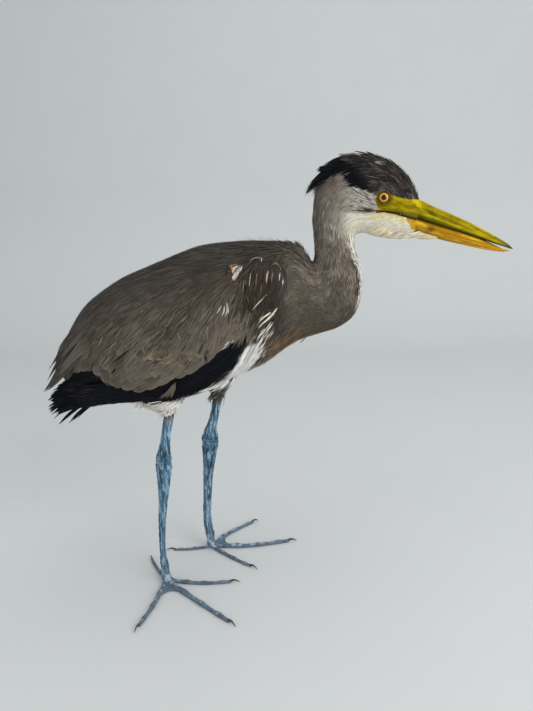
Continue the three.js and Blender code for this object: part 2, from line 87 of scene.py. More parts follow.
def inside(poly, x, z):
    """Points inside a polygon of (x, z) corners."""
    x = np.asarray(x, float)
    z = np.asarray(z, float)
    hit = np.zeros(x.shape, bool)
    n = len(poly)
    for i in range(n):
        (x0, z0), (x1, z1) = poly[i], poly[(i + 1) % n]
        cross = (z0 > z) != (z1 > z)
        with np.errstate(divide="ignore", invalid="ignore"):
            hit ^= cross & (x < (x1 - x0) * (z - z0) / (z1 - z0 + 1e-12) + x0)
    return hit


def line_gap(points, x, z):
    """Distance from (x, z) to a polyline."""
    best = np.full(np.shape(x), 1e9)
    for (x0, z0), (x1, z1) in zip(points[:-1], points[1:]):
        dx, dz = x1 - x0, z1 - z0
        t = np.clip(((x - x0) * dx + (z - z0) * dz) / (dx * dx + dz * dz), 0, 1)
        best = np.minimum(best, np.hypot(x - x0 - t * dx, z - z0 - t * dz))
    return best


_lat = np.random.RandomState(71).rand(64, 64, 64)


def noise3(p, size):
    """Smooth value noise of the given cell size, 0 to 1."""
    q = np.asarray(p, float) / size
    i = np.floor(q).astype(int)
    f = q - i
    f = f * f * (3 - 2 * f)
    out = 0
    for dx in (0, 1):
        for dy in (0, 1):
            for dz in (0, 1):
                w = (f[..., 0] if dx else 1 - f[..., 0]) * (f[..., 1] if dy else 1 - f[..., 1]) * (f[..., 2] if dz else 1 - f[..., 2])
                out = out + w * _lat[(i[..., 0] + dx) % 64, (i[..., 1] + dy) % 64, (i[..., 2] + dz) % 64]
    return out


def smooth_rows(rows, steps):
    """Hermite track through rows of numbers, as the solids use."""
    r = np.array(rows, float)
    n = len(r)
    out = []
    for s in range(n - 1):
        a, b, c, d = r[max(s - 1, 0)], r[s], r[s + 1], r[min(s + 2, n - 1)]
        m0, m1 = (c - a) / 2, (d - b) / 2
        for k in range(steps):
            t = k / steps
            out.append((2 * t**3 - 3 * t**2 + 1) * b + (t**3 - 2 * t**2 + t) * m0 + (-2 * t**3 + 3 * t**2) * c + (t**3 - t**2) * m1)
    out.append(r[-1])
    return np.array(out)


# ------------------------------------------------------------------ the body's own shape
# upper x, upper z, lower x, lower z, half width, widest height, squareness: as the solids
BODY = [
    [-149, 251, -146, 238, 13, 0.50, 2.0], [-135, 270, -130, 228, 26, 0.50, 2.0],
    [-121, 286, -113, 220, 36, 0.50, 2.0], [-96, 318, -88, 210, 48, 0.52, 2.0],
    [-75, 334, -66, 203, 54, 0.54, 2.05], [-50, 348, -42, 200, 58, 0.56, 2.1],
    [-21, 359, -18, 200, 60, 0.58, 2.1], [10, 370, 8, 206, 60, 0.58, 2.1],
    [39, 379, 36, 216, 59, 0.57, 2.1], [79, 382, 70, 232, 57, 0.56, 2.1],
    [109, 381, 100, 245, 52, 0.54, 2.1], [130, 379, 124, 262, 45, 0.52, 2.1],
    [146, 373, 142, 270, 38, 0.50, 2.0], [154, 361, 162, 276, 32, 0.50, 2.0],
    [156.5, 358, 184, 283, 28, 0.50, 2.0], [157.5, 359, 200, 295, 25.5, 0.50, 2.0],
    [158, 362, 208, 312, 24, 0.50, 2.0], [158, 368, 211, 335, 23, 0.50, 2.0],
    [158, 378, 207.5, 354, 22.2, 0.50, 2.0], [157.5, 390, 203.5, 368, 21.6, 0.50, 2.0],
    [157, 402, 203.5, 377, 21, 0.50, 2.0], [158, 417, 207, 381, 20.4, 0.50, 2.0],
    [163, 434, 213, 381.5, 20.2, 0.50, 2.0], [174, 450, 220, 380.5, 20.4, 0.52, 2.0],
    [191, 458.5, 228, 379, 20.4, 0.52, 2.0], [208, 461, 235, 377, 20, 0.53, 2.0],
    [225, 458.5, 241, 375.5, 18.4, 0.53, 2.0], [239, 451, 247, 375, 16.4, 0.50, 2.0],
    [250, 441, 253, 375.5, 14.2, 0.48, 2.05], [258.5, 428, 258, 377.5, 12.2, 0.46, 2.1],
    [265.5, 413.5, 262.5, 381.5, 10.6, 0.45, 2.2],
]
WING = [
    [-134, 262, 247, 30, 22, 24], [-116, 280, 242, 44, 30, 34], [-102, 293, 236, 52, 34, 42],
    [-86, 305, 248, 59, 36, 46], [-70, 318, 252, 64, 38, 49], [-56, 327, 239, 68, 38, 51],
    [-36, 337, 234, 71, 38, 53], [-15, 345, 232, 73, 38, 54], [8, 352, 242, 75, 38, 55],
    [30, 358, 251, 75, 38, 55], [52, 362, 260, 74, 38, 54], [68, 362, 270, 71, 38, 52],
    [86, 362, 283, 67, 37, 49], [104, 361, 303, 62, 35, 44], [120, 359, 324, 54, 32, 38],
    [130, 353, 338, 45, 28, 32],
]
FLIGHT = [
    [-126, 248, 201, 42, 32, 28], [-100, 266, 207, 50, 41, 36], [-62, 270, 214, 56, 47, 42],
    [-24, 264, 218, 59, 51, 45], [12, 266, 221, 61, 53, 46], [36, 274, 227, 61, 54, 47],
    [58, 286, 240, 61, 53, 47], [78, 298, 260, 58, 50, 45], [92, 304, 281, 52, 45, 42],
]


def coat_depth(s):
    """How deep the skin lies under the feather tips, by place along the body."""
    return np.interp(s, [0, 3, 8, 12, 15, 20, 23, 27, 29, 30], [3.5, 5, 6, 6, 5, 4, 3.2, 2.2, 1.0, 0.2])


def shell(rings):
    """Closed mesh data from rings of equal count."""
    rings = np.asarray(rings, float)
    m, n, _ = rings.shape
    v = np.vstack([rings.reshape(-1, 3), rings[0].mean(0), rings[-1].mean(0)])
    f = []
    i = np.arange(n)
    j = (i + 1) % n
    for r in range(m - 1):
        f += np.stack([r * n + i, r * n + j, (r + 1) * n + j, (r + 1) * n + i], 1).tolist()
    a, b = m * n, m * n + 1
    f += np.stack([np.full(n, a), j, i], 1).tolist()
    f += np.stack([np.full(n, b), (m - 1) * n + i, (m - 1) * n + j], 1).tolist()
    return v, f


def body_rings(rows, n, depth=None):
    rings = []
    for k, (ux, uz, lx, lz, w, e, p) in enumerate(rows):
        up = np.array([ux - lx, 0, uz - lz])
        h = np.linalg.norm(up)
        up /= h
        t = 2 * np.pi * np.arange(n) / n
        s, c = np.sin(t), np.cos(t)
        half = np.where(s > 0, (1 - e) * h, e * h)
        d = 0 if depth is None else depth[k]
        vv = np.sign(s) * np.abs(s) ** (2 / p) * (half - d)
        yy = np.sign(c) * np.abs(c) ** (2 / p) * (w - d)
        mid = np.array([lx, 0, lz]) + up * e * h
        rings.append(mid + up * vv[:, None] + np.array([0, 1.0, 0]) * yy[:, None])
    return np.array(rings)


def lens_rings(rows, n, side, inset):
    rings = []
    for x, zt, zb, yo, yt, yb in rows:
        t = 2 * np.pi * np.arange(n) / n
        v = 0.5 + 0.5 * np.sin(t)
        mid = yb + (yt - yb) * v
        bulge = yo - (yt + yb) / 2 - inset
        zt2, zb2 = zt - inset * 0.8, zb + inset * 0.5
        rings.append(np.stack([np.full(n, x), side * (mid + np.cos(t) * bulge), zb2 + (zt2 - zb2) * v], 1))
    rings = np.array(rings)
    return rings if side > 0 else rings[:, ::-1]


def thigh_rings(cx, cy, lean, scale, bottom, inset):
    rows = [[-1.5, 7.5, 7.0], [3, 14, 11], [10, 21, 16], [22, 27, 20], [38, 30, 22], [54, 27, 19], [66, 18, 12]]
    rows = smooth_rows(rows, 3)
    rings = []
    for z, rx, ry in rows:
        t = 2 * np.pi * np.arange(40) / 40
        rings.append(np.stack([cx + lean * z + np.cos(t) * max(rx * scale - inset, 1), cy + np.sin(t) * max(ry * scale - inset, 1),
                               np.full(40, bottom + z)], 1))
    rings = np.array(rings)
    rings[0, :, 2] += inset
    return rings


def to_object(name, v, f, smooth=True):
    me = bpy.data.meshes.new(name)
    me.from_pydata([tuple(p) for p in v], [], f)
    me.update()
    ob = bpy.data.objects.new(name, me)
    bpy.context.scene.collection.objects.link(ob)
    if smooth:
        me.polygons.foreach_set("use_smooth", np.ones(len(me.polygons), bool))
    return ob


def outward(ob):
    bm = bmesh.new()
    bm.from_mesh(ob.data)
    bmesh.ops.recalc_face_normals(bm, faces=bm.faces)
    bm.to_mesh(ob.data)
    bm.free()


def join(objects, name):
    for o in bpy.context.selected_objects:
        o.select_set(False)
    for o in objects:
        o.select_set(True)
    bpy.context.view_layer.objects.active = objects[0]
    bpy.ops.object.join()
    objects[0].name = name
    objects[0].data.name = name
    return objects[0]


def apply_modifiers(ob):
    for o in bpy.context.selected_objects:
        o.select_set(False)
    ob.select_set(True)
    bpy.context.view_layer.objects.active = ob
    for m in list(ob.modifiers):
        bpy.ops.object.modifier_apply(modifier=m.name)


def get_v(me):
    a = np.empty(len(me.vertices) * 3)
    me.vertices.foreach_get("co", a)
    return a.reshape(-1, 3)


def set_v(me, v):
    me.vertices.foreach_set("co", np.asarray(v, float).ravel())
    me.update()


def get_n(me):
    a = np.empty(len(me.vertices) * 3)
    me.vertex_normals.foreach_get("vector", a)
    return a.reshape(-1, 3)


# dense shape of the body at the feather tips, for direction and unwrap
STEPS = 6
dense = smooth_rows(BODY, STEPS)
dense_s = np.arange(len(dense)) / STEPS
NTH = 72
outer = body_rings(dense, NTH)
tailward = np.zeros_like(outer)
tailward[1:] = outer[:-1] - outer[1:]
tailward[0] = tailward[1]
tailward = unit(tailward)
run = np.concatenate([[0], np.cumsum(np.linalg.norm(np.diff(outer.mean(1), axis=0), axis=1))])
run /= run[-1]
guide = KDTree(outer.shape[0] * NTH)
for gi, gp in enumerate(outer.reshape(-1, 3)):
    guide.insert(gp, gi)
guide.balance()
tail_flat = tailward.reshape(-1, 3)


# ------------------------------------------------------------------ markings
ORBIT = [(224.2, 417.7), (225.4, 420.4), (230, 421.8), (236.7, 419.7), (244.4, 416.2), (254.2, 413.7), (264.5, 412.8), (300, 412), (300, 380),
         (262, 393.9), (253.2, 396.4), (247.4, 399.2), (237.7, 401.4), (230.9, 402.2), (224.0, 402.0), (221.5, 402.6), (226.0, 404.6), (224.8, 407.4),
         (223.2, 411.6), (222.7, 415.9)]
RAMUS = [(251.8, 397.3), (262, 394), (300, 383), (300, 364), (283, 372.5), (272.8, 376.7), (269, 378.2), (262, 381.4), (258.6, 383.4), (257.3, 386),
         (254.3, 391.6)]
CAP = [(140, 416), (153.3, 424.4), (161.4, 430), (165.9, 434.4), (178.6, 438.8), (190.5, 442.7), (193.5, 440.5), (194.4, 435.6), (199.2, 429.5),
       (205.9, 425.3), (211.7, 423.6), (219.4, 420.8), (223.7, 418.0), (225.2, 419.5), (230, 420.9), (236.7, 418.8), (244.4, 415.3), (254.2, 412.8),
       (264.2, 411.9), (285, 412), (280, 430), (262, 478), (140, 478)]
GAPE = [(214.4, 403.0), (221.2, 401.2), (230.9, 402.2), (237.7, 401.6), (247.4, 399.4), (253.2, 396.4), (262, 393.9)]
STREAKY = [(196.3, 426.8), (210, 423), (223.2, 417.8), (225.1, 409.1), (209.6, 408.9), (198.1, 416.1), (190, 420)]
WHITE_BREAST = [(91.7, 279.4), (100, 284), (107, 284), (114.2, 280.8), (111.5, 274), (107, 266), (96, 252.4), (86, 241), (79.8, 235), (54, 222), (40, 212), (20, 212), (30, 218),
                (50, 228), (61, 235), (75.8, 249), (86, 262)]
BUFF_BREAST = [(114, 283), (118.9, 284.5), (126.6, 287.3), (152.3, 289.2), (182, 288), (182, 268), (153, 266), (128, 264.4), (112.3, 266.1), (112, 274)]
DUSK_BREAST = [(96, 252.4), (107, 266), (113, 268), (123, 269), (142, 270), (124, 250), (101, 240), (78, 230), (86, 241)]
COVERT_EDGE = np.array([(-146, 228), (-121.5, 236.3), (-108, 243.3), (-97.7, 249.3), (-86.5, 253.8), (-74.4, 254.6), (-71.1, 253), (-66, 247), (-63.3, 244.5),
                        (-53.4, 240.4), (-45.7, 237.4), (-34.3, 233.4), (-22.5, 232), (-8.8, 236), (7.6, 244.8), (20, 247), (33.2, 251.4), (45.4, 258.3),
                        (53.6, 266.2), (57.4, 269.6), (64.5, 274), (68.1, 275), (76.8, 279), (84.4, 285.5), (88.4, 288), (97, 292)], float)
FLIGHT_EDGE = np.array([(-150, 196), (-114, 203), (-98, 208.4), (-62, 212.5), (-40, 215.4), (-20, 217.1), (-8, 218.8), (2, 221), (10, 221.5), (20, 221.2),
                        (36, 224), (50, 230), (64, 240.5), (78.5, 255.8), (90.2, 271.8), (94, 280)], float)


def covert_z(x):
    return np.interp(x, COVERT_EDGE[:, 0], COVERT_EDGE[:, 1])


def flight_z(x):
    return np.interp(x, FLIGHT_EDGE[:, 0], FLIGHT_EDGE[:, 1])


def bare(p):
    x, y, z = p[:, 0], np.abs(p[:, 1]), p[:, 2]
    b = inside(ORBIT, x, z) & (y > 3.0)
    return b | (inside(RAMUS, x, z) & (y > 1.5) & (x < 300))


def in_cap(p):
    return inside(CAP, p[:, 0], p[:, 2])


def mark(p, rnd=None):
    """The bird's colours at points in its own frame, sRGB 0 to 1. rnd gives each feather its own luck."""
    x, y, z = p[:, 0], p[:, 1], p[:, 2]
    a = np.abs(y)
    n = len(x)
    r = np.full((n, 3), 0.5) if rnd is None else rnd

    def flat(*c):
        return np.tile(srgb(*c), (n, 1))

    big = noise3(p, 26.0)
    mid = noise3(p + 50, 9.0)
    fine = noise3(p + 90, 3.2)
    # back and mantle
    col = flat(74, 68, 60)
    col = mix(col, srgb(60, 55, 49), sstep(0.45, 0.75, big) * 0.8)
    col = mix(col, srgb(96, 88, 79), sstep(0.55, 0.9, mid) * 0.55)
    # wing coverts, lighter and browner low on the side
    side = sstep(346, 296, z - 0.16 * x) * sstep(20, 40, a) * sstep(128, 108, x)
    wingc = mix(flat(94, 86, 77), srgb(112, 103, 92), sstep(0.4, 0.8, mid))
    wingc = mix(wingc, srgb(98, 80, 64), sstep(0.55, 0.85, big) * 0.7)
    wingc = mix(wingc, srgb(72, 65, 58), sstep(0.6, 0.9, noise3(p + 30, 14.0)) * 0.8)
    rear = sstep(-40, -90, x)
    wingc = mix(wingc, srgb(80, 74, 66), rear * 0.6)
    low = sstep(290, 262, z) * sstep(-70, -20, x) * sstep(95, 60, x)
    wingc = mix(wingc, srgb(112, 103, 91), low * 0.6)
    patch = noise3(np.stack([x * 0.9 + z * 0.5, y, z * 1.1 - x * 0.4], 1) + 200, 12.0)
    wingc = mix(wingc, srgb(120, 112, 102), sstep(0.58, 0.85, patch) * 0.65)
    wingc = mix(wingc, srgb(66, 58, 51), sstep(0.42, 0.18, patch) * 0.65)
    wingc = mix(wingc, srgb(54, 48, 44), (r[:, 0] < 0.14) * 0.6)
    wingc = mix(wingc, srgb(122, 114, 104), (r[:, 0] > 0.88) * 0.55)
    frontw = sstep(40, 70, x) * sstep(325, 300, z)
    wingc = mix(wingc, srgb(116, 107, 97), frontw * 0.8)
    col = mix(col, wingc, side)
    # dark brown shoulder
    sh = np.exp(-(((x - 110) / 16) ** 2 + ((z - 334) / 26) ** 2) ** 1.4) * (y < 0) + 0.45 * np.exp(-(((x - 112) / 14) ** 2 + ((z - 336) / 20) ** 2)) * (y > 0)
    col = mix(col, srgb(50, 42, 35), np.clip(sh, 0, 1) * (0.55 + 0.4 * (r[:, 2] > 0.35)))
    # belly, flanks, thighs
    belly = sstep(8, -8, z - np.interp(x, [-150, -110, -60, 0, 40, 90], [206, 212, 222, 226, 232, 268])) * sstep(62, 50, a)
    white = mix(flat(236, 232, 224), srgb(208, 200, 188), sstep(0.5, 0.85, mid))
    col = mix(col, white, belly)
    # dusky undertail
    col = mix(col, srgb(150, 142, 132), belly * sstep(-50, -80, x) * 0.8)
    # black flight feathers show between the covert edge and the wing's lower edge
    dark = (z < covert_z(x)) & (z > flight_z(x) - 1) & (a > 22) & (x < 95) & (x > -150)
    col = mix(col, srgb(20, 21, 25), dark.astype(float))
    # breast ahead of the wing: dark brown above, white beside the wing, buff ahead, dusky streaks along the keel
    breast = sstep(-6, 10, x - np.interp(z, [215, 235, 262, 285, 310, 330], [20, 42, 74, 94, 112, 134])) * sstep(312, 290, z) * sstep(140, 118, x)
    streak = r[:, 0]
    col = mix(col, np.where((streak < 0.72)[:, None], srgb(80, 72, 65), np.where((streak < 0.88)[:, None], srgb(62, 54, 48), srgb(206, 200, 190))), breast)

    def soft_zone(poly, width):
        d = line_gap(poly + poly[:1], x, z)
        return np.where(inside(poly, x, z), 0.5 + 0.5 * np.clip(d / width, 0, 1), 0.5 - 0.5 * np.clip(d / width, 0, 1))

    fore = sstep(30, 44, x) * (z < 300)
    dusk_w = soft_zone(DUSK_BREAST, 4.0) * fore
    col = mix(col, np.where((streak < 0.36)[:, None], srgb(206, 196, 180), np.where((streak < 0.68)[:, None], srgb(66, 56, 48), srgb(146, 120, 92))), sstep(0.3, 0.7, dusk_w))
    buff_w = soft_zone(BUFF_BREAST, 5.0) * fore
    lowb = sstep(278, 268, z - 0.10 * (x - 118))
    bc_ = np.where((streak < 0.40)[:, None], srgb(136, 108, 76), np.where((streak < 0.74)[:, None], srgb(88, 77, 66), np.where((streak < 0.90)[:, None], srgb(112, 98, 82), srgb(186, 170, 148))))
    lc_ = np.where((streak < 0.30)[:, None], srgb(60, 51, 44), np.where((streak < 0.62)[:, None], srgb(112, 98, 82), np.where((streak < 0.80)[:, None], srgb(140, 114, 84), srgb(200, 188, 170))))
    col = mix(col, mix(bc_, lc_, lowb), sstep(0.25, 0.75, buff_w) * (0.35 + 0.65 * (r[:, 1] < 0.75)))
    white_w = soft_zone(WHITE_BREAST, 3.5) * fore
    col = mix(col, np.where((streak < 0.93)[:, None], srgb(252, 251, 249), srgb(134, 122, 112)), sstep(0.3, 0.7, white_w))
    # neck
    neckw = sstep(122, 146, x)
    neck = mix(flat(108, 99, 89), srgb(140, 130, 118), sstep(0.45, 0.8, mid))
    neck = mix(neck, srgb(80, 73, 65), sstep(0.52, 0.82, fine) * 0.7)
    neck = mix(neck, srgb(150, 140, 128), (r[:, 0] > 0.86) * 0.5)
    neck = mix(neck, srgb(72, 65, 58), (r[:, 0] < 0.12) * 0.5)
    lowneck = sstep(348, 305, z)
    neck = mix(neck, srgb(84, 77, 68), lowneck * 0.72)
    rust = sstep(296, 276, z) * sstep(205, 165, x) * sstep(108, 122, x)
    neck = mix(neck, np.where((r[:, 1] > 0.3)[:, None], srgb(142, 110, 76), srgb(74, 64, 54)), rust * 0.85)
    col = mix(col, neck, np.maximum(neckw, rust * (r[:, 0] > 0.45)))
    # pale throat stripe with dark specks down the front of the neck
    front = sstep(193, 199, x + 0.10 * (z - 350)) * sstep(404, 385, z) * sstep(296, 325, z)
    stripe = front * sstep(np.interp(z, [330, 355, 375, 392], [10.0, 12.5, 15.5, 17.0]), np.interp(z, [330, 355, 375, 392], [7.0, 9.5, 12.0, 13.5]), a)
    col = mix(col, np.where((r[:, 2] > 0.82)[:, None], srgb(84, 76, 68), srgb(250, 246, 236)), stripe)
    specks = front * sstep(7.0, 9.0, a) * sstep(14.0, 10.5, a) * sstep(318, 328, z) * sstep(366, 352, z)
    col = mix(col, srgb(38, 34, 32), specks * (r[:, 2] > 0.45))
    # head: brown-grey nape, warm light cheek, cream chin
    head = sstep(370, 388, z) * (x > 150)
    tone = (x - 160) + 0.25 * (400 - z)
    hc = mix(flat(114, 106, 96), srgb(152, 143, 132), sstep(4, 26, tone + 9 * (mid - 0.5)))
    hc = mix(hc, srgb(188, 180, 168), sstep(22, 46, tone + 10 * (mid - 0.5)))
    hc = mix(hc, srgb(112, 104, 95), sstep(0.55, 0.85, fine) * 0.6)
    hc = mix(hc, srgb(90, 83, 76), (r[:, 0] < 0.10) * 0.6 * sstep(225, 200, x))
    hc = mix(hc, srgb(206, 198, 186), (r[:, 0] > 0.88) * 0.5)
    up = sstep(414, 436, z) * sstep(200, 180, x)
    hc = mix(hc, srgb(116, 106, 95), up * 0.7)
    pale = inside(STREAKY, x, z) * (a > 6) * sstep(0.0, 4.5, line_gap(STREAKY + STREAKY[:1], x, z)) * sstep(196, 210, x)
    hc = mix(hc, np.where((r[:, 1] > 0.42)[:, None], srgb(214, 206, 194), srgb(136, 127, 116)), pale * 0.80)
    hc = mix(hc, srgb(66, 60, 56), (line_gap([(199, 408.5), (208, 405.6), (218, 404.6)], x, z) < 2.4) * (a > 6) * (r[:, 0] > 0.45) * 0.55)
    chin = np.maximum(sstep(403, 398, z + 0.10 * (x - 225)) * sstep(188, 204, x + 0.3 * (z - 385)), sstep(389, 383, z) * sstep(190, 198, x))
    hc = mix(hc, mix(flat(232, 226, 208), srgb(208, 200, 182), sstep(0.55, 0.85, mid)), chin)
    gy = sstep(6, 1, line_gap([(222, 399.5), (235, 399), (247, 397), (251, 393)], x, z)) * (z < 402.5) * (x > 214)
    hc = mix(hc, srgb(238, 212, 116), gy * np.where(r[:, 0] > 0.45, 0.75, 0.15))
    # cap: slate brown in front, deep black behind and low at the sides
    cap = in_cap(p + (r - 0.5) * [2.6, 0, 2.2] * sstep(228, 214, x)[:, None])
    crown = mix(flat(56, 51, 48), srgb(92, 84, 77), sstep(0.50, 0.78, noise3(p * [1, 1, 1.5] + 11, 6.0)) * 0.75)
    # pale streaks: partly paler feathers, partly painted highlight where the top of the cap catches the light
    crown = mix(crown, srgb(132, 124, 116), (r[:, 1] > 0.84) * 0.65)
    crown = mix(crown, srgb(38, 35, 35), (r[:, 1] < 0.25).astype(float))
    blk = sstep(6, -6, x - np.interp(z, [418, 426, 436, 446, 456, 462], [213, 219, 214, 206, 197, 186]) - 6 * (mid - 0.5))
    crown = mix(crown, srgb(14, 15, 19), blk)
    hc = mix(hc, crown, cap.astype(float))
    col = mix(col, hc, head)
    # bare face
    face = bare(p) & (z > 360)
    col = mix(col, horn(p, True), face.astype(float))
    return np.clip(col, 0, 1)


JAW_X = [214, 224, 237, 247, 253, 263.9, 277, 291, 307, 323, 337.5, 348.5, 356]
JAW_Z = [403.2, 402.0, 401.6, 399.3, 396.6, 394.2, 389.6, 384.6, 378.9, 373.0, 367.2, 363.2, 360.6]
RIDGE_X = [224, 237, 244, 254, 266, 281, 296, 312, 327, 341, 351, 356]
RIDGE_Z = [421, 420, 416.5, 414, 413, 405.2, 398, 389.9, 381.6, 373.2, 366.2, 361.6]


def horn(p, face=False):
    """Yellow of the bare face and of the upper bill, one run of colour from the eye to the tip."""
    x, y, z = p[:, 0], p[:, 1], p[:, 2]
    n = len(x)
    gz = np.interp(x, JAW_X, JAW_Z)
    tz = np.interp(x, RIDGE_X, RIDGE_Z)
    up = z - gz
    hgt = up / np.maximum(tz - gz, 0.6)
    t = (x - 262) / 93.0
    fine = noise3(np.stack([x * 0.35, y * 0.7, up * 1.3], 1) + 70, 2.4)
    long_ = noise3(np.stack([x * 0.08, y * 0.5, hgt * 10.0], 1) + 7, 1.0)
    c = np.tile(srgb(162, 140, 1), (n, 1))
    c = mix(c, srgb(122, 104, 1), sstep(0.40, 0.72, fine) * 0.85 * sstep(0.16, -0.02, t + 0.10 * (fine - 0.5)))
    c = mix(c, srgb(178, 156, 6), sstep(0.0, 0.13, t + 0.16 * (hgt - 0.5)) * sstep(0.9, 0.5, t) * 0.8)
    c = mix(c, srgb(196, 176, 22), sstep(0.60, 0.36, long_) * sstep(0.0, 0.15, t) * 0.65)
    c = mix(c, srgb(132, 115, 8), sstep(0.56, 0.72, long_) * sstep(0.0, 0.1, t) * 0.6)
    # brighter along the upper edge of the bare face
    c = mix(c, srgb(176, 152, 6), sstep(0.62, 0.9, hgt) * sstep(0.15, -0.02, t) * 0.8)
    # olive band down the middle of the upper bill, fading near the tip
    c = mix(c, srgb(112, 100, 8), np.exp(-((hgt - np.interp(t, [0, 0.2, 0.5, 1], [0.66, 0.66, 0.52, 0.5])) / 0.07) ** 2) * sstep(0.02, 0.12, t) * sstep(0.95, 0.7, t) * 0.45)
    # dark olive above the gape and the cutting edge, darkest right at the gape as painted shade in the crease between
    # the jaws
    w = np.interp(x, [224, 240, 262, 277, 300, 330, 350], [1.6, 3.0, 5.2, 4.6, 3.2, 2.2, 1.2])
    c = mix(c, srgb(96, 94, 22), sstep(w * 1.35, w * 0.6, up) * 0.85)
    c = mix(c, srgb(58, 54, 16), sstep(1.1, 0.3, up) * 0.8)
    # a bright wedge where the horn starts, with a broken dark line behind it
    ahead = x - (257.6 + (412.4 - z) * 0.86) + (fine - 0.5) * 1.6
    wide = np.maximum(z - 399.3, 0.0) * 0.66
    c = mix(c, srgb(206, 188, 14), sstep(-0.3, 0.5, ahead) * sstep(wide + 0.7, wide - 0.3, ahead) * sstep(399.4, 401.5, z) * 0.75)
    c = mix(c, srgb(74, 66, 8), np.exp(-((ahead + 0.6) / 0.55) ** 2) * sstep(397.5, 400.5, z) * sstep(0.35, 0.6, long_ * 0.5 + fine * 0.5) * 0.75)
    # fine dark lines along the horn
    for h0_, t0_, t1_ in ((0.80, 0.10, 0.55), (0.42, 0.15, 0.50), (0.72, 0.45, 0.85)):
        ln_ = np.exp(-((hgt - h0_ + 0.12 * (t - 0.4)) / 0.022) ** 2) * sstep(t0_ - 0.04, t0_ + 0.04, t) * sstep(t1_ + 0.05, t1_ - 0.05, t)
        c = mix(c, srgb(64, 56, 8), ln_ * 0.7)
    c = mix(c, srgb(96, 96, 50), sstep(0.80, 0.97, t) * 0.8)
    c = mix(c, srgb(52, 54, 46), sstep(0.93, 1.0, t) * 0.8)
    d = np.hypot(x - EC[0], z - EC[2])
    c = mix(c, srgb(112, 98, 10), sstep(12, 6.5, d) * (x < 246) * 0.8)
    if face:
        low = inside(RAMUS, x, z)
        c = mix(c, srgb(196, 150, 38), low.astype(float))
    return c


# ------------------------------------------------------------------ skin
BODY_IN = [[-130, 262, -126, 240, 10, 0.50, 2.0], [-125.5, 274, -119.5, 228, 24, 0.50, 2.0], [-117, 289, -109.5, 218.5, 36, 0.50, 2.0]] + BODY[3:]
rows_skin = smooth_rows(BODY_IN, 6)
depth_skin = coat_depth(np.arange(len(rows_skin)) / 6)
parts = []
v, f = shell(body_rings(rows_skin, 120, depth_skin))
parts.append(to_object("skin_a", v, f))
wing_in = 5.0
wrows = smooth_rows([[-124, 272, 246, 37, 28, 31]] + WING[1:], 3)
frows = smooth_rows([[-110, 258, 213, 44, 36, 32]] + FLIGHT[1:], 3)
for side in (1, -1):
    v, f = shell(lens_rings(wrows, 48, side, wing_in))
    parts.append(to_object("skin_w", v, f))
    v, f = shell(lens_rings(frows, 32, side, 2.6))
    parts.append(to_object("skin_f", v, f))
v, f = shell(thigh_rings(-3, -38, -0.08, 1.0, 203, 3.5))
parts.append(to_object("skin_t", v, f))
v, f = shell(thigh_rings(37, 36, 0.12, 0.86, 206, 3.5))
parts.append(to_object("skin_t", v, f))
# root of the tail
tr = body_rings(smooth_rows([[-70, 242, -70, 224, 24, 0.5, 2.3], [-95, 238, -95, 221, 22, 0.5, 2.3], [-118, 232, -118, 217, 20, 0.5, 2.3],
                            [-132, 226, -132, 214, 16, 0.5, 2.3]], 3), 32)
v, f = shell(tr)
parts.append(to_object("skin_r", v, f))
for o in parts:
    outward(o)
skin = join(parts, "skin")
rm = skin.modifiers.new("remesh", "REMESH")
rm.mode = "VOXEL"
rm.voxel_size = 2.35
rm.use_smooth_shade = True
sm = skin.modifiers.new("smooth", "SMOOTH")
sm.factor = 0.5
sm.iterations = 4
apply_modifiers(skin)

# finer skin on the face, then pulled back to the head's true form
for limit, rad in ((1, 34.0), (2, 15.0), (3, 10.0)):
    bm = bmesh.new()
    bm.from_mesh(skin.data)
    edges = []
    for e in bm.edges:
        c = (e.verts[0].co + e.verts[1].co) / 2
        if limit == 1:
            ok = c.x > 204 and 372 < c.z < 434 and abs(c.y) > 2 or (c.x > 238 and c.z > 372)
        else:
            ok = math.hypot(c.x - EC[0], c.z - EC[2]) < rad and abs(c.y) > 6
        if ok:
            edges.append(e)
    bmesh.ops.subdivide_edges(bm, edges=edges, cuts=1, use_grid_fill=True)
    bmesh.ops.triangulate(bm, faces=[g for g in bm.faces if len(g.verts) > 4])
    bm.to_mesh(skin.data)
    bm.free()

fine_rows = smooth_rows(BODY, 16)
hv, hf = shell(body_rings(fine_rows, 200, coat_depth(np.arange(len(fine_rows)) / 16)))
head_tree = BVHTree.FromPolygons([tuple(p) for p in hv], hf)
v = get_v(skin.data)
for i in np.nonzero((v[:, 2] > 372) & (v[:, 0] > 152))[0]:
    hit = head_tree.find_nearest(Vector(v[i]))
    if hit[0] is not None and hit[3] < 4:
        v[i] = hit[0]


def eyeball_y(rho, r=8.0):
    return EC[1] + np.sqrt(np.maximum(r * r - rho * rho, 0.0))


# eyelids, orbital skin, gape
ex, ez = v[:, 0] - EC[0], v[:, 2] - EC[2]
rho = np.hypot(ex, ez)
sgn = np.sign(v[:, 1])
base = np.abs(v[:, 1])
near = (rho < 14) & (base > 6)
ang = np.arctan2(ez, ex)
lid_r = 4.80 + 0.15 * np.cos(2 * ang)
target = np.where(rho < lid_r, eyeball_y(np.minimum(rho, 7.8)) - 1.4,
                  eyeball_y(lid_r) + 0.30 - 0.34 * (rho - lid_r) + 0.30 * np.exp(-((rho - lid_r - 0.45) / 0.4) ** 2))
rings_w = 0.20 * np.sin((rho - lid_r) * 3.6 + 0.5 * np.sin(ang * 3)) * sstep(0.8, 1.6, rho - lid_r) * sstep(12, 7, rho)
blend = sstep(13.5, 6.4, rho)
v[near, 1] = (sgn * (base * (1 - blend) + (np.where(rho < 6.4, target, np.minimum(target, base + 1.2)) + rings_w) * blend))[near]
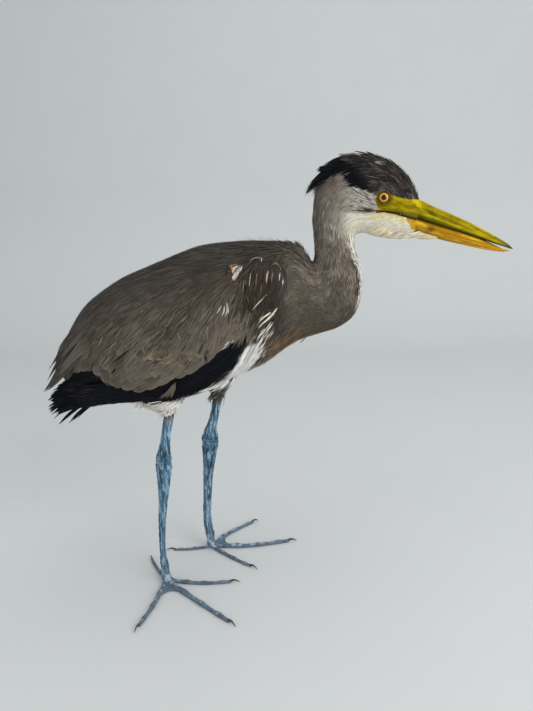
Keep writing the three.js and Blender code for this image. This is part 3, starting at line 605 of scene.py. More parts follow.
# furrows of the bare skin and the line of the gape
facev = bare(v) | (line_gap(GAPE, v[:, 0], v[:, 2]) < 3)
furrow = (noise3(np.stack([v[:, 0] * 0.5, v[:, 1], v[:, 2] * 1.6], 1), 1.9) - 0.5) * 0.5
groove = -0.9 * np.exp(-(line_gap(GAPE, v[:, 0], v[:, 2]) / 0.7) ** 2) * sstep(216, 224, v[:, 0])
loral = -0.7 * np.exp(-(line_gap([(240, 411), (262, 404)], v[:, 0], v[:, 2]) / 4.0) ** 2)
push = np.where(facev & (rho > 6.2) & (v[:, 2] > 372) & (np.abs(v[:, 1]) > 3), furrow + groove + loral, 0)
v[:, 1] += np.sign(v[:, 1]) * push
set_v(skin.data, v)
skin.data.polygons.foreach_set("use_smooth", np.ones(len(skin.data.polygons), bool))

# ------------------------------------------------------------------ legs and feet
RIGHT = dict(
    hub=(-17, -40), yaw=-36,
    tibia=[[1.5, -37.2, 218, 6, 5.6], [1, -37, 202, 5.4, 5.0], [-3.4, -37.3, 182, 4.9, 4.4], [-6.2, -37.6, 168, 5.2, 4.6], [-8, -37.8, 158, 6.6, 5.6]],
    tarsus=[[-8.1, -37.9, 157.2, 6.7, 5.7], [-9.0, -38, 149, 8.6, 6.8], [-9.8, -38.1, 141, 9.0, 7.2], [-10.4, -38.3, 132, 8.4, 6.6],
            [-11.2, -38.5, 121, 7.4, 5.6], [-13.0, -38.8, 103, 5.6, 4.3], [-16.2, -39.2, 78, 4.3, 3.4], [-18.0, -39.5, 54, 3.7, 2.9],
            [-18.4, -39.8, 33, 3.7, 2.9], [-17.4, -40, 20, 4.8, 3.9]],
    toes=dict(inner=[[27, -41], [69, -32]], middle=[[25, -72], [81, -112]], outer=[[-16, -89], [-20, -133]], hind=[[-42, -9], [-57, 14]]))
LEFT = dict(
    hub=(15, 40.5), yaw=15,
    tibia=[[40, 36.8, 226, 6.2, 5.8], [37.5, 37, 205, 5.6, 5.0], [31, 37.4, 178, 5.0, 4.5], [27, 37.7, 164, 5.8, 5.0], [25.4, 37.8, 159, 6.8, 5.8]],
    tarsus=[[25.2, 37.9, 158.2, 6.9, 5.9], [24, 38, 150, 9.2, 7.0], [22.8, 38.1, 142, 9.6, 7.4], [21.4, 38.3, 131, 8.6, 6.6],
            [19.6, 38.5, 115, 7.0, 5.6], [17.2, 38.8, 96, 5.7, 4.6], [14.8, 39.2, 72, 4.8, 3.8], [12.8, 39.5, 50, 4.7, 3.5],
            [12.8, 39.8, 32, 4.9, 3.6], [14.6, 40, 19, 5.4, 4.3]],
    toes=dict(inner=[[52, 13], [84, -6]], middle=[[64, 46], [122, 67]], outer=[[29, 74], [62, 119]], hind=[[-10, 32], [-42, 28]]))
TOE_R, CLAW = dict(inner=2.7, middle=3.2, outer=2.9, hind=2.3), 11.5


def bar_rings(rows, n, across=None):
    rows = np.asarray(rows, float)
    pts = rows[:, :3]
    rings = []
    for i in range(len(rows)):
        along = unit(pts[min(i + 1, len(pts) - 1)] - pts[max(i - 1, 0)])
        sd = np.cross([0, 0, 1.0], along) if across is None else np.array(across, float)
        if np.linalg.norm(sd) < 0.2:
            sd = np.array([0, 1.0, 0])
        sd = unit(sd - along * (sd @ along))
        top = np.cross(along, sd)
        t = 2 * np.pi * (np.arange(n) + 0.5) / n
        rings.append(pts[i] + np.cos(t)[:, None] * sd * rows[i, 3] + np.sin(t)[:, None] * top * rows[i, 4])
    return np.array(rings)


def toe_curve(hub, mid, tip, n=60):
    """The toe's line on the floor, with its arc length."""
    p = np.array([[hub[0], hub[1]], mid, tip], float)
    d = np.linalg.norm(np.diff(p, axis=0), axis=1) ** 0.5
    t = np.array([0, d[0], d[0] + d[1]])
    pre = p[0] * 2 - p[1]
    post = p[2] * 2 - p[1]
    q = np.vstack([pre, p, post])
    tt = np.array([-d[0], t[0], t[1], t[2], t[2] + d[1]])
    out = []
    for s in np.linspace(0, t[2], n):
        k = 1 if s <= t[1] else 2
        t0, t1, t2, t3 = tt[k - 1], tt[k], tt[k + 1], tt[k + 2]
        a1 = q[k - 1] * (t1 - s) / (t1 - t0) + q[k] * (s - t0) / (t1 - t0)
        a2 = q[k] * (t2 - s) / (t2 - t1) + q[k + 1] * (s - t1) / (t2 - t1)
        a3 = q[k + 1] * (t3 - s) / (t3 - t2) + q[k + 2] * (s - t2) / (t3 - t2)
        b1 = a1 * (t2 - s) / (t2 - t0) + a2 * (s - t0) / (t2 - t0)
        b2 = a2 * (t3 - s) / (t3 - t1) + a3 * (s - t1) / (t3 - t1)
        out.append(b1 * (t2 - s) / (t2 - t1) + b2 * (s - t1) / (t2 - t1))
    out = np.array(out)
    arc = np.concatenate([[0], np.cumsum(np.linalg.norm(np.diff(out, axis=0), axis=1))])
    return out, arc


def at_arc(curve, s):
    out, arc = curve
    return np.array([np.interp(s, arc, out[:, 0]), np.interp(s, arc, out[:, 1])])


leg_parts, claw_rows = [], {}
for side, data in (("right", RIGHT), ("left", LEFT)):
    hub = data["hub"]
    yaw = math.radians(data["yaw"] * 0.6)
    ahead = (math.cos(yaw), math.sin(yaw), 0)
    tib = smooth_rows(data["tibia"], 8)
    tib = np.vstack([tib, np.array(data["tarsus"][0]) * 0.5 + tib[-1] * 0.5, data["tarsus"][1]])
    v, f = shell(bar_rings(tib, 32, (1, 0, 0)))
    leg_parts.append(to_object("leg", v, f))
    v, f = shell(bar_rings(smooth_rows(data["tarsus"] + [[hub[0], hub[1], 9.5, 4.6, 4.0]], 8), 32, ahead))
    leg_parts.append(to_object("leg", v, f))
    th = np.linspace(0, np.pi, 14)
    rings = [np.stack([hub[0] + 5.9 * math.sin(a_) * np.cos(np.arange(24) * np.pi / 12), hub[1] + 5.3 * math.sin(a_) * np.sin(np.arange(24) * np.pi / 12),
                       np.full(24, 7.0 - 7.2 * math.cos(a_))], 1) for a_ in th[1:-1]]
    v, f = shell(rings)
    leg_parts.append(to_object("leg", v, f))
    curves = {}
    for toe, (mid_, tip_) in data["toes"].items():
        joints = 2 if toe == "hind" else 3
        cv = toe_curve(hub, mid_, tip_)
        curves[toe] = cv
        length = cv[1][-1]
        start, stop = 3.0, length - CLAW
        rows = []
        for i in range(49):
            t = i / 48
            q = at_arc(cv, start + (stop - start) * t)
            at_ = (0.40, 0.80, 9) if joints == 2 else (0.30, 0.58, 0.86)
            knuckle = max(math.exp(-((t - a_) / 0.045) ** 2) for a_ in at_) * 0.22 - 0.10
            r_ = TOE_R[toe] * (1 - 0.3 * t) * (1 + knuckle)
            zc = r_ - 0.3 + 2.8 * (1 - min(t / 0.12, 1)) ** 1.5
            rows.append([q[0], q[1], zc, r_ * 1.02, r_])
        v, f = shell(bar_rings(rows, 20))
        leg_parts.append(to_object("leg", v, f))
        # claw
        r0 = rows[-1][4] * 0.86
        cr = []
        for i in range(15):
            t = i / 14
            q = at_arc(cv, stop - 1.5 + (CLAW + 0.6) * t)
            r_ = max(r0 * (1 - t) ** 0.72, 0.16)
            zc = rows[-1][2] + 0.5 + 1.7 * math.sin(math.pi * min(t * 1.15, 1)) - (rows[-1][2] * 0.78) * t ** 1.6
            cr.append([q[0], q[1], max(zc, r_ + 0.05), r_ * 0.78, r_ * 1.08])
        claw_rows[f"claw_{toe}_{side}"] = cr
    # web between the middle and outer toes
    m_, o_ = curves["middle"], curves["outer"]
    k = 14
    grid = []
    for i in range(k + 1):
        u = i / k
        far = 0.0
        a1 = at_arc(m_, 35.0)
        a2 = at_arc(o_, 31.0)
        edge = a1 * (1 - u) + a2 * u
        pull = 4 * u * (1 - u) * 0.27
        edge = edge * (1 - pull) + np.array(hub) * pull
        grid.append(edge)
    hubp = np.array(hub, float)
    vv, ff = [], []
    rad = 7
    for zlev in (0, 1):
        for e_ in grid:
            for j in range(rad + 1):
                q = hubp + (e_ - hubp) * (j / rad)
                h_ = 2.9 - 1.0 * (j / rad) if zlev else 0.9
                vv.append([q[0], q[1], h_])
    w_ = rad + 1
    off = (k + 1) * w_
    for i in range(k):
        for j in range(rad):
            q0 = i * w_ + j
            if j == 0:
                ff.append([q0 + off, q0 + w_ + 1 + off, q0 + 1 + off])
                ff.append([q0, q0 + 1, q0 + w_ + 1])
            else:
                ff.append([q0 + off, q0 + w_ + off, q0 + w_ + 1 + off, q0 + 1 + off])
                ff.append([q0, q0 + 1, q0 + w_ + 1, q0 + w_])
        q1 = i * w_ + rad
        ff.append([q1, q1 + off, q1 + w_ + off, q1 + w_])
    for j in range(rad):
        ff.append([j, j + off, j + 1 + off, j + 1])
        q1 = k * w_ + j
        ff.append([q1, q1 + 1, q1 + 1 + off, q1 + off])
    leg_parts.append(to_object("leg", vv, ff))
for o in leg_parts:
    outward(o)
legs = join(leg_parts, "legs")
rm = legs.modifiers.new("remesh", "REMESH")
rm.mode = "VOXEL"
rm.voxel_size = 0.92
rm.use_smooth_shade = True
sm = legs.modifiers.new("smooth", "SMOOTH")
sm.factor = 0.5
sm.iterations = 3
apply_modifiers(legs)
v = get_v(legs.data)
nrm = get_n(legs.data)


def leg_relief(v):
    """Dried skin of the legs: how far it stands out (mm) and how deep in a crease each point is (0 to 1)."""
    x, y, z = v.T
    cx = np.where(y < 0, np.interp(z, [20, 33, 54, 78, 103, 121, 141, 157, 182, 202], [-17.4, -18.4, -18, -16.2, -13, -11.2, -9.8, -8.1, -3.4, 1]),
                  np.interp(z, [19, 32, 50, 72, 96, 115, 142, 159, 178, 205], [14.6, 12.8, 12.8, 14.8, 17.2, 19.6, 22.8, 25.2, 31, 37.5]))
    cy = np.where(y < 0, -38.8, 39.0)
    az = np.arctan2(y - cy, x - cx)
    sd = np.sign(y)
    flow = 1.9 * noise3(np.stack([z * 0.030, sd * 5, az * 0.2], 1), 1.0) + 0.5 * noise3(np.stack([z * 0.13, sd * 9, az * 0.4], 1), 1.0)
    g1 = np.exp(-(np.sin(az * 2.0 + flow * 1.5) / 0.22) ** 2) * sstep(0.22, 0.42, noise3(np.stack([z * 0.030 + 40, az * 0.8, sd], 1), 1.0) + 0.2)
    g2 = np.exp(-(np.sin(az * 5.0 + flow * 2.6 + 1) / 0.30) ** 2) * sstep(0.35, 0.65, noise3(np.stack([z * 0.05 + 80, az * 1.4, sd], 1), 1.0) + 0.12)
    shank = sstep(14, 24, z)
    crink = noise3(v * [1, 1, 0.8], 2.0) - 0.5
    knee = np.exp(-((z - 144) / 10) ** 2) + 0.5 * np.exp(-((z - 24) / 7) ** 2)
    fold = np.exp(-(np.sin(z * 0.95 + 2.4 * noise3(v, 5.0)) / 0.35) ** 2) * knee
    knob = sstep(0.5, 0.8, noise3(v + 33, 3.0)) * np.clip(knee, 0, 1)
    disp = shank * (0.40 - 1.05 * g1 - 0.55 * g2 + crink * 0.6) - fold * 0.55 + knob * 1.5
    crease = shank * np.clip(0.75 * g1 + 0.5 * g2, 0, 1) + fold * 0.5
    toe_w = 1 - sstep(9, 15, z)
    dist = np.hypot(x - np.where(y < 0, -17, 15), y - np.where(y < 0, -40, 40.5))
    ring = np.exp(-(np.sin(dist * 0.95 + 1.4 * noise3(v, 6.0)) / 0.20) ** 2) * sstep(0.3, 0.6, noise3(v + 60, 7.0) + 0.1)
    disp += toe_w * (-0.22 * ring + (noise3(v, 1.8) - 0.5) * 0.35)
    crease += toe_w * ring * 0.55
    return disp, np.clip(crease, 0, 1)


disp, _ = leg_relief(v)
disp = np.where((v[:, 2] < 9) & (nrm[:, 2] < -0.3), np.minimum(disp, 0) * 0.3, disp)
v2 = v + nrm * disp[:, None]
v2[:, 2] = np.maximum(v2[:, 2], 0.0)
set_v(legs.data, v2)
legs.data.polygons.foreach_set("use_smooth", np.ones(len(legs.data.polygons), bool))

# ------------------------------------------------------------------ one skin
leg_count = len(legs.data.vertices)
body_count = len(skin.data.vertices)
bpy.ops.object.select_all(action="DESELECT")
bo = skin.modifiers.new("union", "BOOLEAN")
bo.operation = "UNION"
bo.object = legs
try:
    bo.solver = "MANIFOLD"
except TypeError:
    bo.solver = "EXACT"
before = len(skin.data.vertices)
apply_modifiers(skin)
if len(skin.data.vertices) < before + leg_count * 0.6:
    print("union kept as a join")
    skin = join([skin, legs], "skin")
else:
    bpy.data.objects.remove(legs)
skin.data.polygons.foreach_set("use_smooth", np.ones(len(skin.data.polygons), bool))
print("skin triangles", sum(len(p.vertices) - 2 for p in skin.data.polygons))


def leg_region(p):
    """1 on the painted legs and feet, 0 on the feathered body."""
    x, y, z = p[:, 0], p[:, 1], p[:, 2]
    top = np.where(y < 0, 201.5, 203.0)
    return sstep(2.0, -2.0, z - top)


def leg_colour(p):
    n = len(p)
    _, crease = leg_relief(p)
    # long streaks down the legs: partly uneven paint, partly painted highlights of the gloss on the light streaks and
    # painted shade on the dark ones
    blue = mix(np.tile(srgb(86, 118, 141), (n, 1)), srgb(142, 176, 200), sstep(0.38, 0.70, noise3(p * [1, 1, 0.16], 1.9)))
    blue = mix(blue, srgb(44, 60, 76), sstep(0.56, 0.74, noise3(p * [1, 1, 0.12] + 20, 1.5)) * 0.80)
    blue = mix(blue, srgb(172, 202, 220), sstep(0.66, 0.84, noise3(p * [1, 1, 0.30] + 60, 1.6)) * 0.6)
    # painted shade in the creases and knee folds of the dried skin
    blue = mix(blue, srgb(34, 50, 64), crease * 0.85)
    # painted highlight: the toes lighter on their upper half, where the light falls
    toe = mix(np.tile(srgb(102, 120, 137), (n, 1)), srgb(168, 188, 202), sstep(0.40, 0.8, noise3(p + 9, 3.4)) * sstep(2.5, 4.8, p[:, 2]))
    toe = mix(toe, srgb(92, 88, 86), sstep(0.5, 0.8, noise3(p + 19, 4.6)) * 0.65)
    # painted shade in the grooves between the toe scales
    toe = mix(toe, srgb(44, 50, 56), crease * 0.8)
    blue = mix(blue, srgb(120, 116, 112), sstep(186, 202, p[:, 2] + 10 * (noise3(p * [1, 1, 0.4] + 5, 3.0) - 0.5)) * 0.85)
    out = mix(blue, toe, 1 - sstep(8, 30, p[:, 2]))
    return mix(out, srgb(70, 62, 54), sstep(193, 203, p[:, 2] + 5 * (p[:, 1] > 0)) * 0.85)


# ------------------------------------------------------------------ materials
def nodes_of(mat):
    mat.use_nodes = True
    nt = mat.node_tree
    nt.nodes.clear()
    out = nt.nodes.new("ShaderNodeOutputMaterial")
    bs = nt.nodes.new("ShaderNodeBsdfPrincipled")
    nt.links.new(bs.outputs[0], out.inputs[0])
    return nt, bs


def add(nt, kind, **kw):
    nd = nt.nodes.new(kind)
    for k_, v_ in kw.items():
        setattr(nd, k_, v_)
    return nd


def mapping(nt, scale, source="Object"):
    tc = add(nt, "ShaderNodeTexCoord")
    mp = add(nt, "ShaderNodeMapping")
    mp.inputs["Scale"].default_value = scale
    nt.links.new(tc.outputs[source], mp.inputs["Vector"])
    return mp.outputs["Vector"]


def noise(nt, vec, scale, detail=3.0, rough=0.55):
    t = add(nt, "ShaderNodeTexNoise")
    t.inputs["Scale"].default_value = scale
    t.inputs["Detail"].default_value = detail
    t.inputs["Roughness"].default_value = rough
    nt.links.new(vec, t.inputs["Vector"])
    return t.outputs["Fac"]


def ramp(nt, fac, stops):
    r_ = add(nt, "ShaderNodeValToRGB")
    el = r_.color_ramp.elements
    while len(el) > 1:
        el.remove(el[-1])
    el[0].position = stops[0][0]
    el[0].color = (*stops[0][1], 1)
    for pos, c in stops[1:]:
        e_ = el.new(pos)
        e_.color = (*c, 1)
    nt.links.new(fac, r_.inputs[0])
    return r_.outputs[0]


def grey(v_):
    return (v_, v_, v_)


def times(nt, a, b, fac=1.0, mode="MULTIPLY"):
    m_ = add(nt, "ShaderNodeMix", data_type="RGBA", blend_type=mode)
    m_.inputs["Factor"].default_value = fac
    nt.links.new(a, m_.inputs["A"])
    nt.links.new(b, m_.inputs["B"])
    return m_.outputs["Result"]


def bump(nt, bs, height, strength, distance):
    b_ = add(nt, "ShaderNodeBump")
    b_.inputs["Strength"].default_value = strength
    b_.inputs["Distance"].default_value = distance
    nt.links.new(height, b_.inputs["Height"])
    nt.links.new(b_.outputs[0], bs.inputs["Normal"])
    return b_


def colour_attr(nt, name="Col"):
    a_ = add(nt, "ShaderNodeAttribute")
    a_.attribute_name = name
    return a_.outputs["Color"]


def feather_material(name, rough, sheen, barb=1.0, contrast=(0.72, 1.22), spec=0.3):
    """Vane colour with fine barbs that slant from the shaft; the map 'Vane' holds mm across and along."""
    mat = bpy.data.materials.new(name)
    nt, bs = nodes_of(mat)
    uv = add(nt, "ShaderNodeUVMap")
    uv.uv_map = "Vane"
    sep = add(nt, "ShaderNodeSeparateXYZ")
    nt.links.new(uv.outputs[0], sep.inputs[0])
    ab = add(nt, "ShaderNodeMath", operation="ABSOLUTE")
    nt.links.new(sep.outputs[0], ab.inputs[0])
    sl = add(nt, "ShaderNodeMath", operation="MULTIPLY_ADD")
    nt.links.new(ab.outputs[0], sl.inputs[0])
    sl.inputs[1].default_value = -1.6
    nt.links.new(sep.outputs[1], sl.inputs[2])
    cmb = add(nt, "ShaderNodeCombineXYZ")
    nt.links.new(sl.outputs[0], cmb.inputs[0])
    sc = add(nt, "ShaderNodeMath", operation="MULTIPLY")
    nt.links.new(ab.outputs[0], sc.inputs[0])
    sc.inputs[1].default_value = 0.12
    nt.links.new(sc.outputs[0], cmb.inputs[1])
    nf = noise(nt, cmb.outputs[0], 2.6 * barb, 4.0, 0.6)
    lines = ramp(nt, nf, [(0.30, grey(contrast[0])), (0.52, grey(1.0)), (0.74, grey(contrast[1]))])
    col = times(nt, colour_attr(nt), lines)
    soft = noise(nt, mapping(nt, (1, 1, 1)), 160.0, 2.0)
    col = times(nt, col, ramp(nt, soft, [(0.3, grey(0.90)), (0.7, grey(1.08))]))
    nt.links.new(col, bs.inputs["Base Color"])
    rr = add(nt, "ShaderNodeMapRange")
    rr.inputs["To Min"].default_value = rough - 0.08
    rr.inputs["To Max"].default_value = rough + 0.10
    nt.links.new(nf, rr.inputs["Value"])
    nt.links.new(rr.outputs[0], bs.inputs["Roughness"])
    bs.inputs["Specular IOR Level"].default_value = spec
    bs.inputs["Sheen Weight"].default_value = sheen
    bs.inputs["Sheen Roughness"].default_value = 0.45
    bump(nt, bs, nf, 0.35, 0.00025)
    return mat


MAT_FEATHER = feather_material("plumage", 0.66, 0.02, 1.0, (0.84, 1.12), 0.14)
MAT_FINE = feather_material("fine_plumage", 0.74, 0.03, 1.0, (0.88, 1.10), 0.10)
MAT_FLIGHT = feather_material("flight_plumage", 0.55, 0.0, 0.8, (0.7, 1.3), 0.05)


def skin_material():
    mat = bpy.data.materials.new("hide")
    nt, bs = nodes_of(mat)
    obj = mapping(nt, (1, 1, 1))
    n1 = noise(nt, obj, 420.0, 5.0, 0.6)
    n2 = noise(nt, mapping(nt, (1, 1, 0.35)), 900.0, 3.0)
    col = times(nt, colour_attr(nt), ramp(nt, n1, [(0.28, grey(0.70)), (0.5, grey(1.0)), (0.75, grey(1.2))]))
    nt.links.new(col, bs.inputs["Base Color"])
    at = add(nt, "ShaderNodeAttribute")
    at.attribute_name = "Gloss"
    nt.links.new(at.outputs["Fac"], bs.inputs["Roughness"])
    bs.inputs["Specular IOR Level"].default_value = 0.045
    h = add(nt, "ShaderNodeMath", operation="ADD")
    nt.links.new(n1, h.inputs[0])
    nt.links.new(n2, h.inputs[1])
    bump(nt, bs, h.outputs[0], 0.45, 0.00045)
    return mat


MAT_SKIN = skin_material()


def bill_material(name):
    mat = bpy.data.materials.new(name)
    nt, bs = nodes_of(mat)
    long_ = mapping(nt, (0.16, 1, 1))
    n1 = noise(nt, long_, 520.0, 5.0, 0.62)
    n2 = noise(nt, mapping(nt, (1, 1, 1)), 140.0, 4.0, 0.6)
    col = times(nt, colour_attr(nt), ramp(nt, n1, [(0.3, grey(0.66)), (0.5, grey(1.0)), (0.75, grey(1.18))]))
    col = times(nt, col, ramp(nt, n2, [(0.3, grey(0.82)), (0.65, grey(1.1))]))
    nt.links.new(col, bs.inputs["Base Color"])
    rr = add(nt, "ShaderNodeMapRange")
    rr.inputs["To Min"].default_value = 0.36
    rr.inputs["To Max"].default_value = 0.56
    nt.links.new(n1, rr.inputs["Value"])
    nt.links.new(rr.outputs[0], bs.inputs["Roughness"])
    bs.inputs["Specular IOR Level"].default_value = 0.03
    bs.inputs["Subsurface Weight"].default_value = 0.06
    bs.inputs["Subsurface Radius"].default_value = (0.003, 0.002, 0.0008)
    bump(nt, bs, n1, 0.35, 0.0003)
    return mat


MAT_BILL = bill_material("horn_of_bill")


def eye_material():
    mat = bpy.data.materials.new("eyeball")
    nt, bs = nodes_of(mat)
    at = add(nt, "ShaderNodeAttribute")
    at.attribute_name = "Ring"
    streak = noise(nt, mapping(nt, (1, 1, 1)), 1500.0, 3.0)
    iris = ramp(nt, at.outputs["Fac"], [
        (0.0, linear(srgb(4, 4, 8))), (0.295, linear(srgb(4, 4, 8))), (0.325, linear(srgb(140, 88, 20))), (0.37, linear(srgb(226, 160, 36))),
        (0.45, linear(srgb(238, 172, 46))), (0.51, linear(srgb(214, 132, 30))), (0.555, linear(srgb(150, 84, 20))), (0.585, linear(srgb(26, 20, 12))), (1.0, linear(srgb(16, 14, 12)))])
    col = times(nt, iris, ramp(nt, streak, [(0.3, grey(0.8)), (0.7, grey(1.15))]))
    nt.links.new(col, bs.inputs["Base Color"])
    bs.inputs["Roughness"].default_value = 0.10
    bs.inputs["Specular IOR Level"].default_value = 0.3
    bs.inputs["Coat Weight"].default_value = 0.35
    bs.inputs["Coat Roughness"].default_value = 0.04
    return mat


def claw_material():
    mat = bpy.data.materials.new("claw_horn")
    nt, bs = nodes_of(mat)
    n1 = noise(nt, mapping(nt, (1, 1, 1)), 330.0, 5.0, 0.6)
    col = ramp(nt, n1, [(0.3, linear(srgb(34, 30, 28))), (0.55, linear(srgb(62, 54, 46))), (0.75, linear(srgb(110, 98, 84)))])
    nt.links.new(col, bs.inputs["Base Color"])
    bs.inputs["Roughness"].default_value = 0.38
    bump(nt, bs, n1, 0.3, 0.0002)
    return mat


MAT_EYE = eye_material()
MAT_CLAW = claw_material()


def put_colour(me, cols, name="Col"):
    at = me.color_attributes.new(name, "FLOAT_COLOR", "POINT")
    c = np.ones((len(me.vertices), 4))
    c[:, :3] = linear(cols)
    at.data.foreach_set("color", c.ravel())


def put_float(me, vals, name):
    at = me.attributes.new(name, "FLOAT", "POINT")
    at.data.foreach_set("value", np.asarray(vals, float))


def to_world(ob):
    set_v(ob.data, place(get_v(ob.data)))


# skin colours: under the coat the markings are painted 15% darker, as shade beneath the feathers; the bare face keeps
# its own colour
v = get_v(skin.data)
cols = mark(v) * 0.85
facew = bare(v)
cols = np.where(facew[:, None], cols / 0.85, cols)
lw = leg_region(v)
cols = mix(cols, leg_colour(v), lw)
# painted shade: near-black along the gape, in the crease between the jaws
gl = line_gap(GAPE, v[:, 0], v[:, 2])
gape_shade_w = np.exp(-(gl / 0.85) ** 2) * sstep(215, 220, v[:, 0]) * (np.abs(v[:, 1]) > 5) * (v[:, 2] > 380)
cols = mix(cols, srgb(20, 17, 14), np.clip(gape_shade_w * 1.3, 0, 1))
rho = np.hypot(v[:, 0] - EC[0], v[:, 2] - EC[2])
eyeside = (np.abs(v[:, 1]) > 8) & (v[:, 2] > 400)
lid = np.exp(-((rho - 5.15) / 0.42) ** 2) * eyeside
cols = mix(cols, srgb(58, 50, 14), np.clip(lid, 0, 1) * 0.85)
ringc = np.clip(np.sin((rho - 4.8) * 3.6 + 2.2), 0, 1) * sstep(5.8, 6.4, rho) * sstep(11, 7.5, rho) * eyeside * facew
cols = mix(cols, srgb(74, 66, 6), ringc * 0.5)
put_colour(skin.data, cols)
put_float(skin.data, np.where(lw > 0.5, 0.5, np.where(facew, 0.5, 0.9)), "Gloss")
skin.data.materials.clear()
skin.data.materials.append(MAT_SKIN)

# ------------------------------------------------------------------ the surface feathers grow from
sv = get_v(skin.data)
sn = get_n(skin.data)
tris = []
skin.data.calc_loop_triangles()
tris = np.empty(len(skin.data.loop_triangles) * 3, int)
skin.data.loop_triangles.foreach_get("vertices", tris)
tris = tris.reshape(-1, 3)
keep = sv[tris][:, :, 2].min(1) > 198
tris = tris[keep]
tree = BVHTree.FromPolygons([tuple(p) for p in sv], tris.tolist())
tri_c = sv[tris].mean(1)
tri_n = unit(sn[tris].mean(1))
tri_a = np.linalg.norm(np.cross(sv[tris[:, 1]] - sv[tris[:, 0]], sv[tris[:, 2]] - sv[tris[:, 0]]), axis=1) / 2
near_i = np.array([guide.find(c)[1] for c in tri_c])
tri_s = dense_s[near_i // NTH]
tri_th = (near_i % NTH) / NTH
tri_D = tail_flat[near_i].copy()

# lie of the feathers on wings, back and breast: x, z, degrees below level, pointing rearwards
LIE = np.array([
    (145, 372, 25), (120, 378, 8), (79, 380, 2), (39, 376, 8), (-21, 355, 22), (-75, 330, 42), (-110, 295, 60), (-135, 265, 64), (-140, 240, 58),
    (0, 338, 22), (-50, 315, 40), (-90, 288, 60), (-110, 258, 60), (40, 345, 24), (80, 352, 30), (108, 350, 80), (126, 342, 84), (100, 322, 70),
    (60, 315, 60), (20, 305, 46), (-30, 292, 48), (-70, 272, 55), (90, 296, 64), (60, 285, 66), (30, 268, 48), (0, 252, 38), (-30, 246, 34), (-60, 252, 42),
    (-90, 254, 58), (-60, 225, 6), (-110, 222, 14), (0, 226, 12), (30, 236, 30), (70, 262, 46), (130, 310, 52), (104, 292, 54), (80, 262, 52),
    (60, 240, 46), (120, 278, 42), (140, 300, 40), (-60, 205, 4), (0, 205, 4)], float)


def lie_angle(x, z):
    d2 = (x[:, None] - LIE[None, :, 0]) ** 2 + (z[:, None] - LIE[None, :, 1]) ** 2 + 60.0
    w = 1 / d2 ** 1.6
    return (w * LIE[None, :, 2]).sum(1) / w.sum(1)


la = np.radians(lie_angle(tri_c[:, 0], tri_c[:, 2]))
wingD = np.stack([-np.cos(la), np.zeros(len(la)), -np.sin(la)], 1)
ww = sstep(150, 128, tri_c[:, 0]) * (tri_s < 14)
tri_D = unit(tri_D * (1 - ww[:, None]) + wingD * ww[:, None])
# cheek feathers sweep back and up behind the eye
cw = sstep(30, 12, np.hypot(tri_c[:, 0] - 214, tri_c[:, 2] - 413)) * (tri_c[:, 2] > 397) * (~in_cap(tri_c))
tri_D = unit(tri_D + cw[:, None] * np.array([-0.5, 0, 0.55]))
tri_D = unit(tri_D - tri_n * (tri_D * tri_n).sum(1, keepdims=True))
tri_uv = np.stack([0.03 + 0.94 * run[np.clip((tri_s * STEPS).astype(int), 0, len(run) - 1)], 0.03 + 0.94 * ((tri_th + 0.25) % 1.0)], 1)
# spread the unwrap evenly inside each guide cell
tri_uv += (np.random.RandomState(5).rand(len(tri_uv), 2) - 0.5) * [0.006, 0.012]


def scatter(mask, spacing, seed, limit=60000):
    """Evenly spread roots on the triangles in mask, spacing in mm (number or per-triangle array)."""
    rs = np.random.RandomState(seed)
    idx = np.nonzero(mask)[0]
    if len(idx) == 0:
        return np.zeros(0, int), np.zeros((0, 3))
    sp = np.broadcast_to(np.asarray(spacing, float), (len(tri_c),))[idx]
    want = tri_a[idx] / (sp ** 2) * 3.2
    cnt = rs.poisson(want)
    pick = np.repeat(np.arange(len(idx)), cnt)
    rs.shuffle(pick)
    pick = pick[:limit * 3]
    tr = tris[idx[pick]]
    r1, r2 = rs.rand(len(pick)), rs.rand(len(pick))
    q = np.sqrt(r1)
    pts = sv[tr[:, 0]] * (1 - q)[:, None] + sv[tr[:, 1]] * (q * (1 - r2))[:, None] + sv[tr[:, 2]] * (q * r2)[:, None]
    # thin out by cells
    s_ = sp[pick] * 0.86
    chosen = []
    cells = {}
    cs = float(np.max(sp))
    keys = np.floor(pts / cs).astype(int)
    for i in range(len(pick)):
        kx, ky, kz = keys[i]
        p = pts[i]
        ok = True
        si = s_[i]
        for dx in (-1, 0, 1):
            for dy in (-1, 0, 1):
                for dz in (-1, 0, 1):
                    for j in cells.get((kx + dx, ky + dy, kz + dz), ()):
                        d = pts[j] - p
                        if d[0] * d[0] + d[1] * d[1] + d[2] * d[2] < si * si:
                            ok = False
                            break
                    if not ok:
                        break
                if not ok:
                    break
            if not ok:
                break
        if ok:
            cells.setdefault((kx, ky, kz), []).append(i)
            chosen.append(i)
    chosen = np.array(chosen, int)
    return idx[pick[chosen]], pts[chosen]


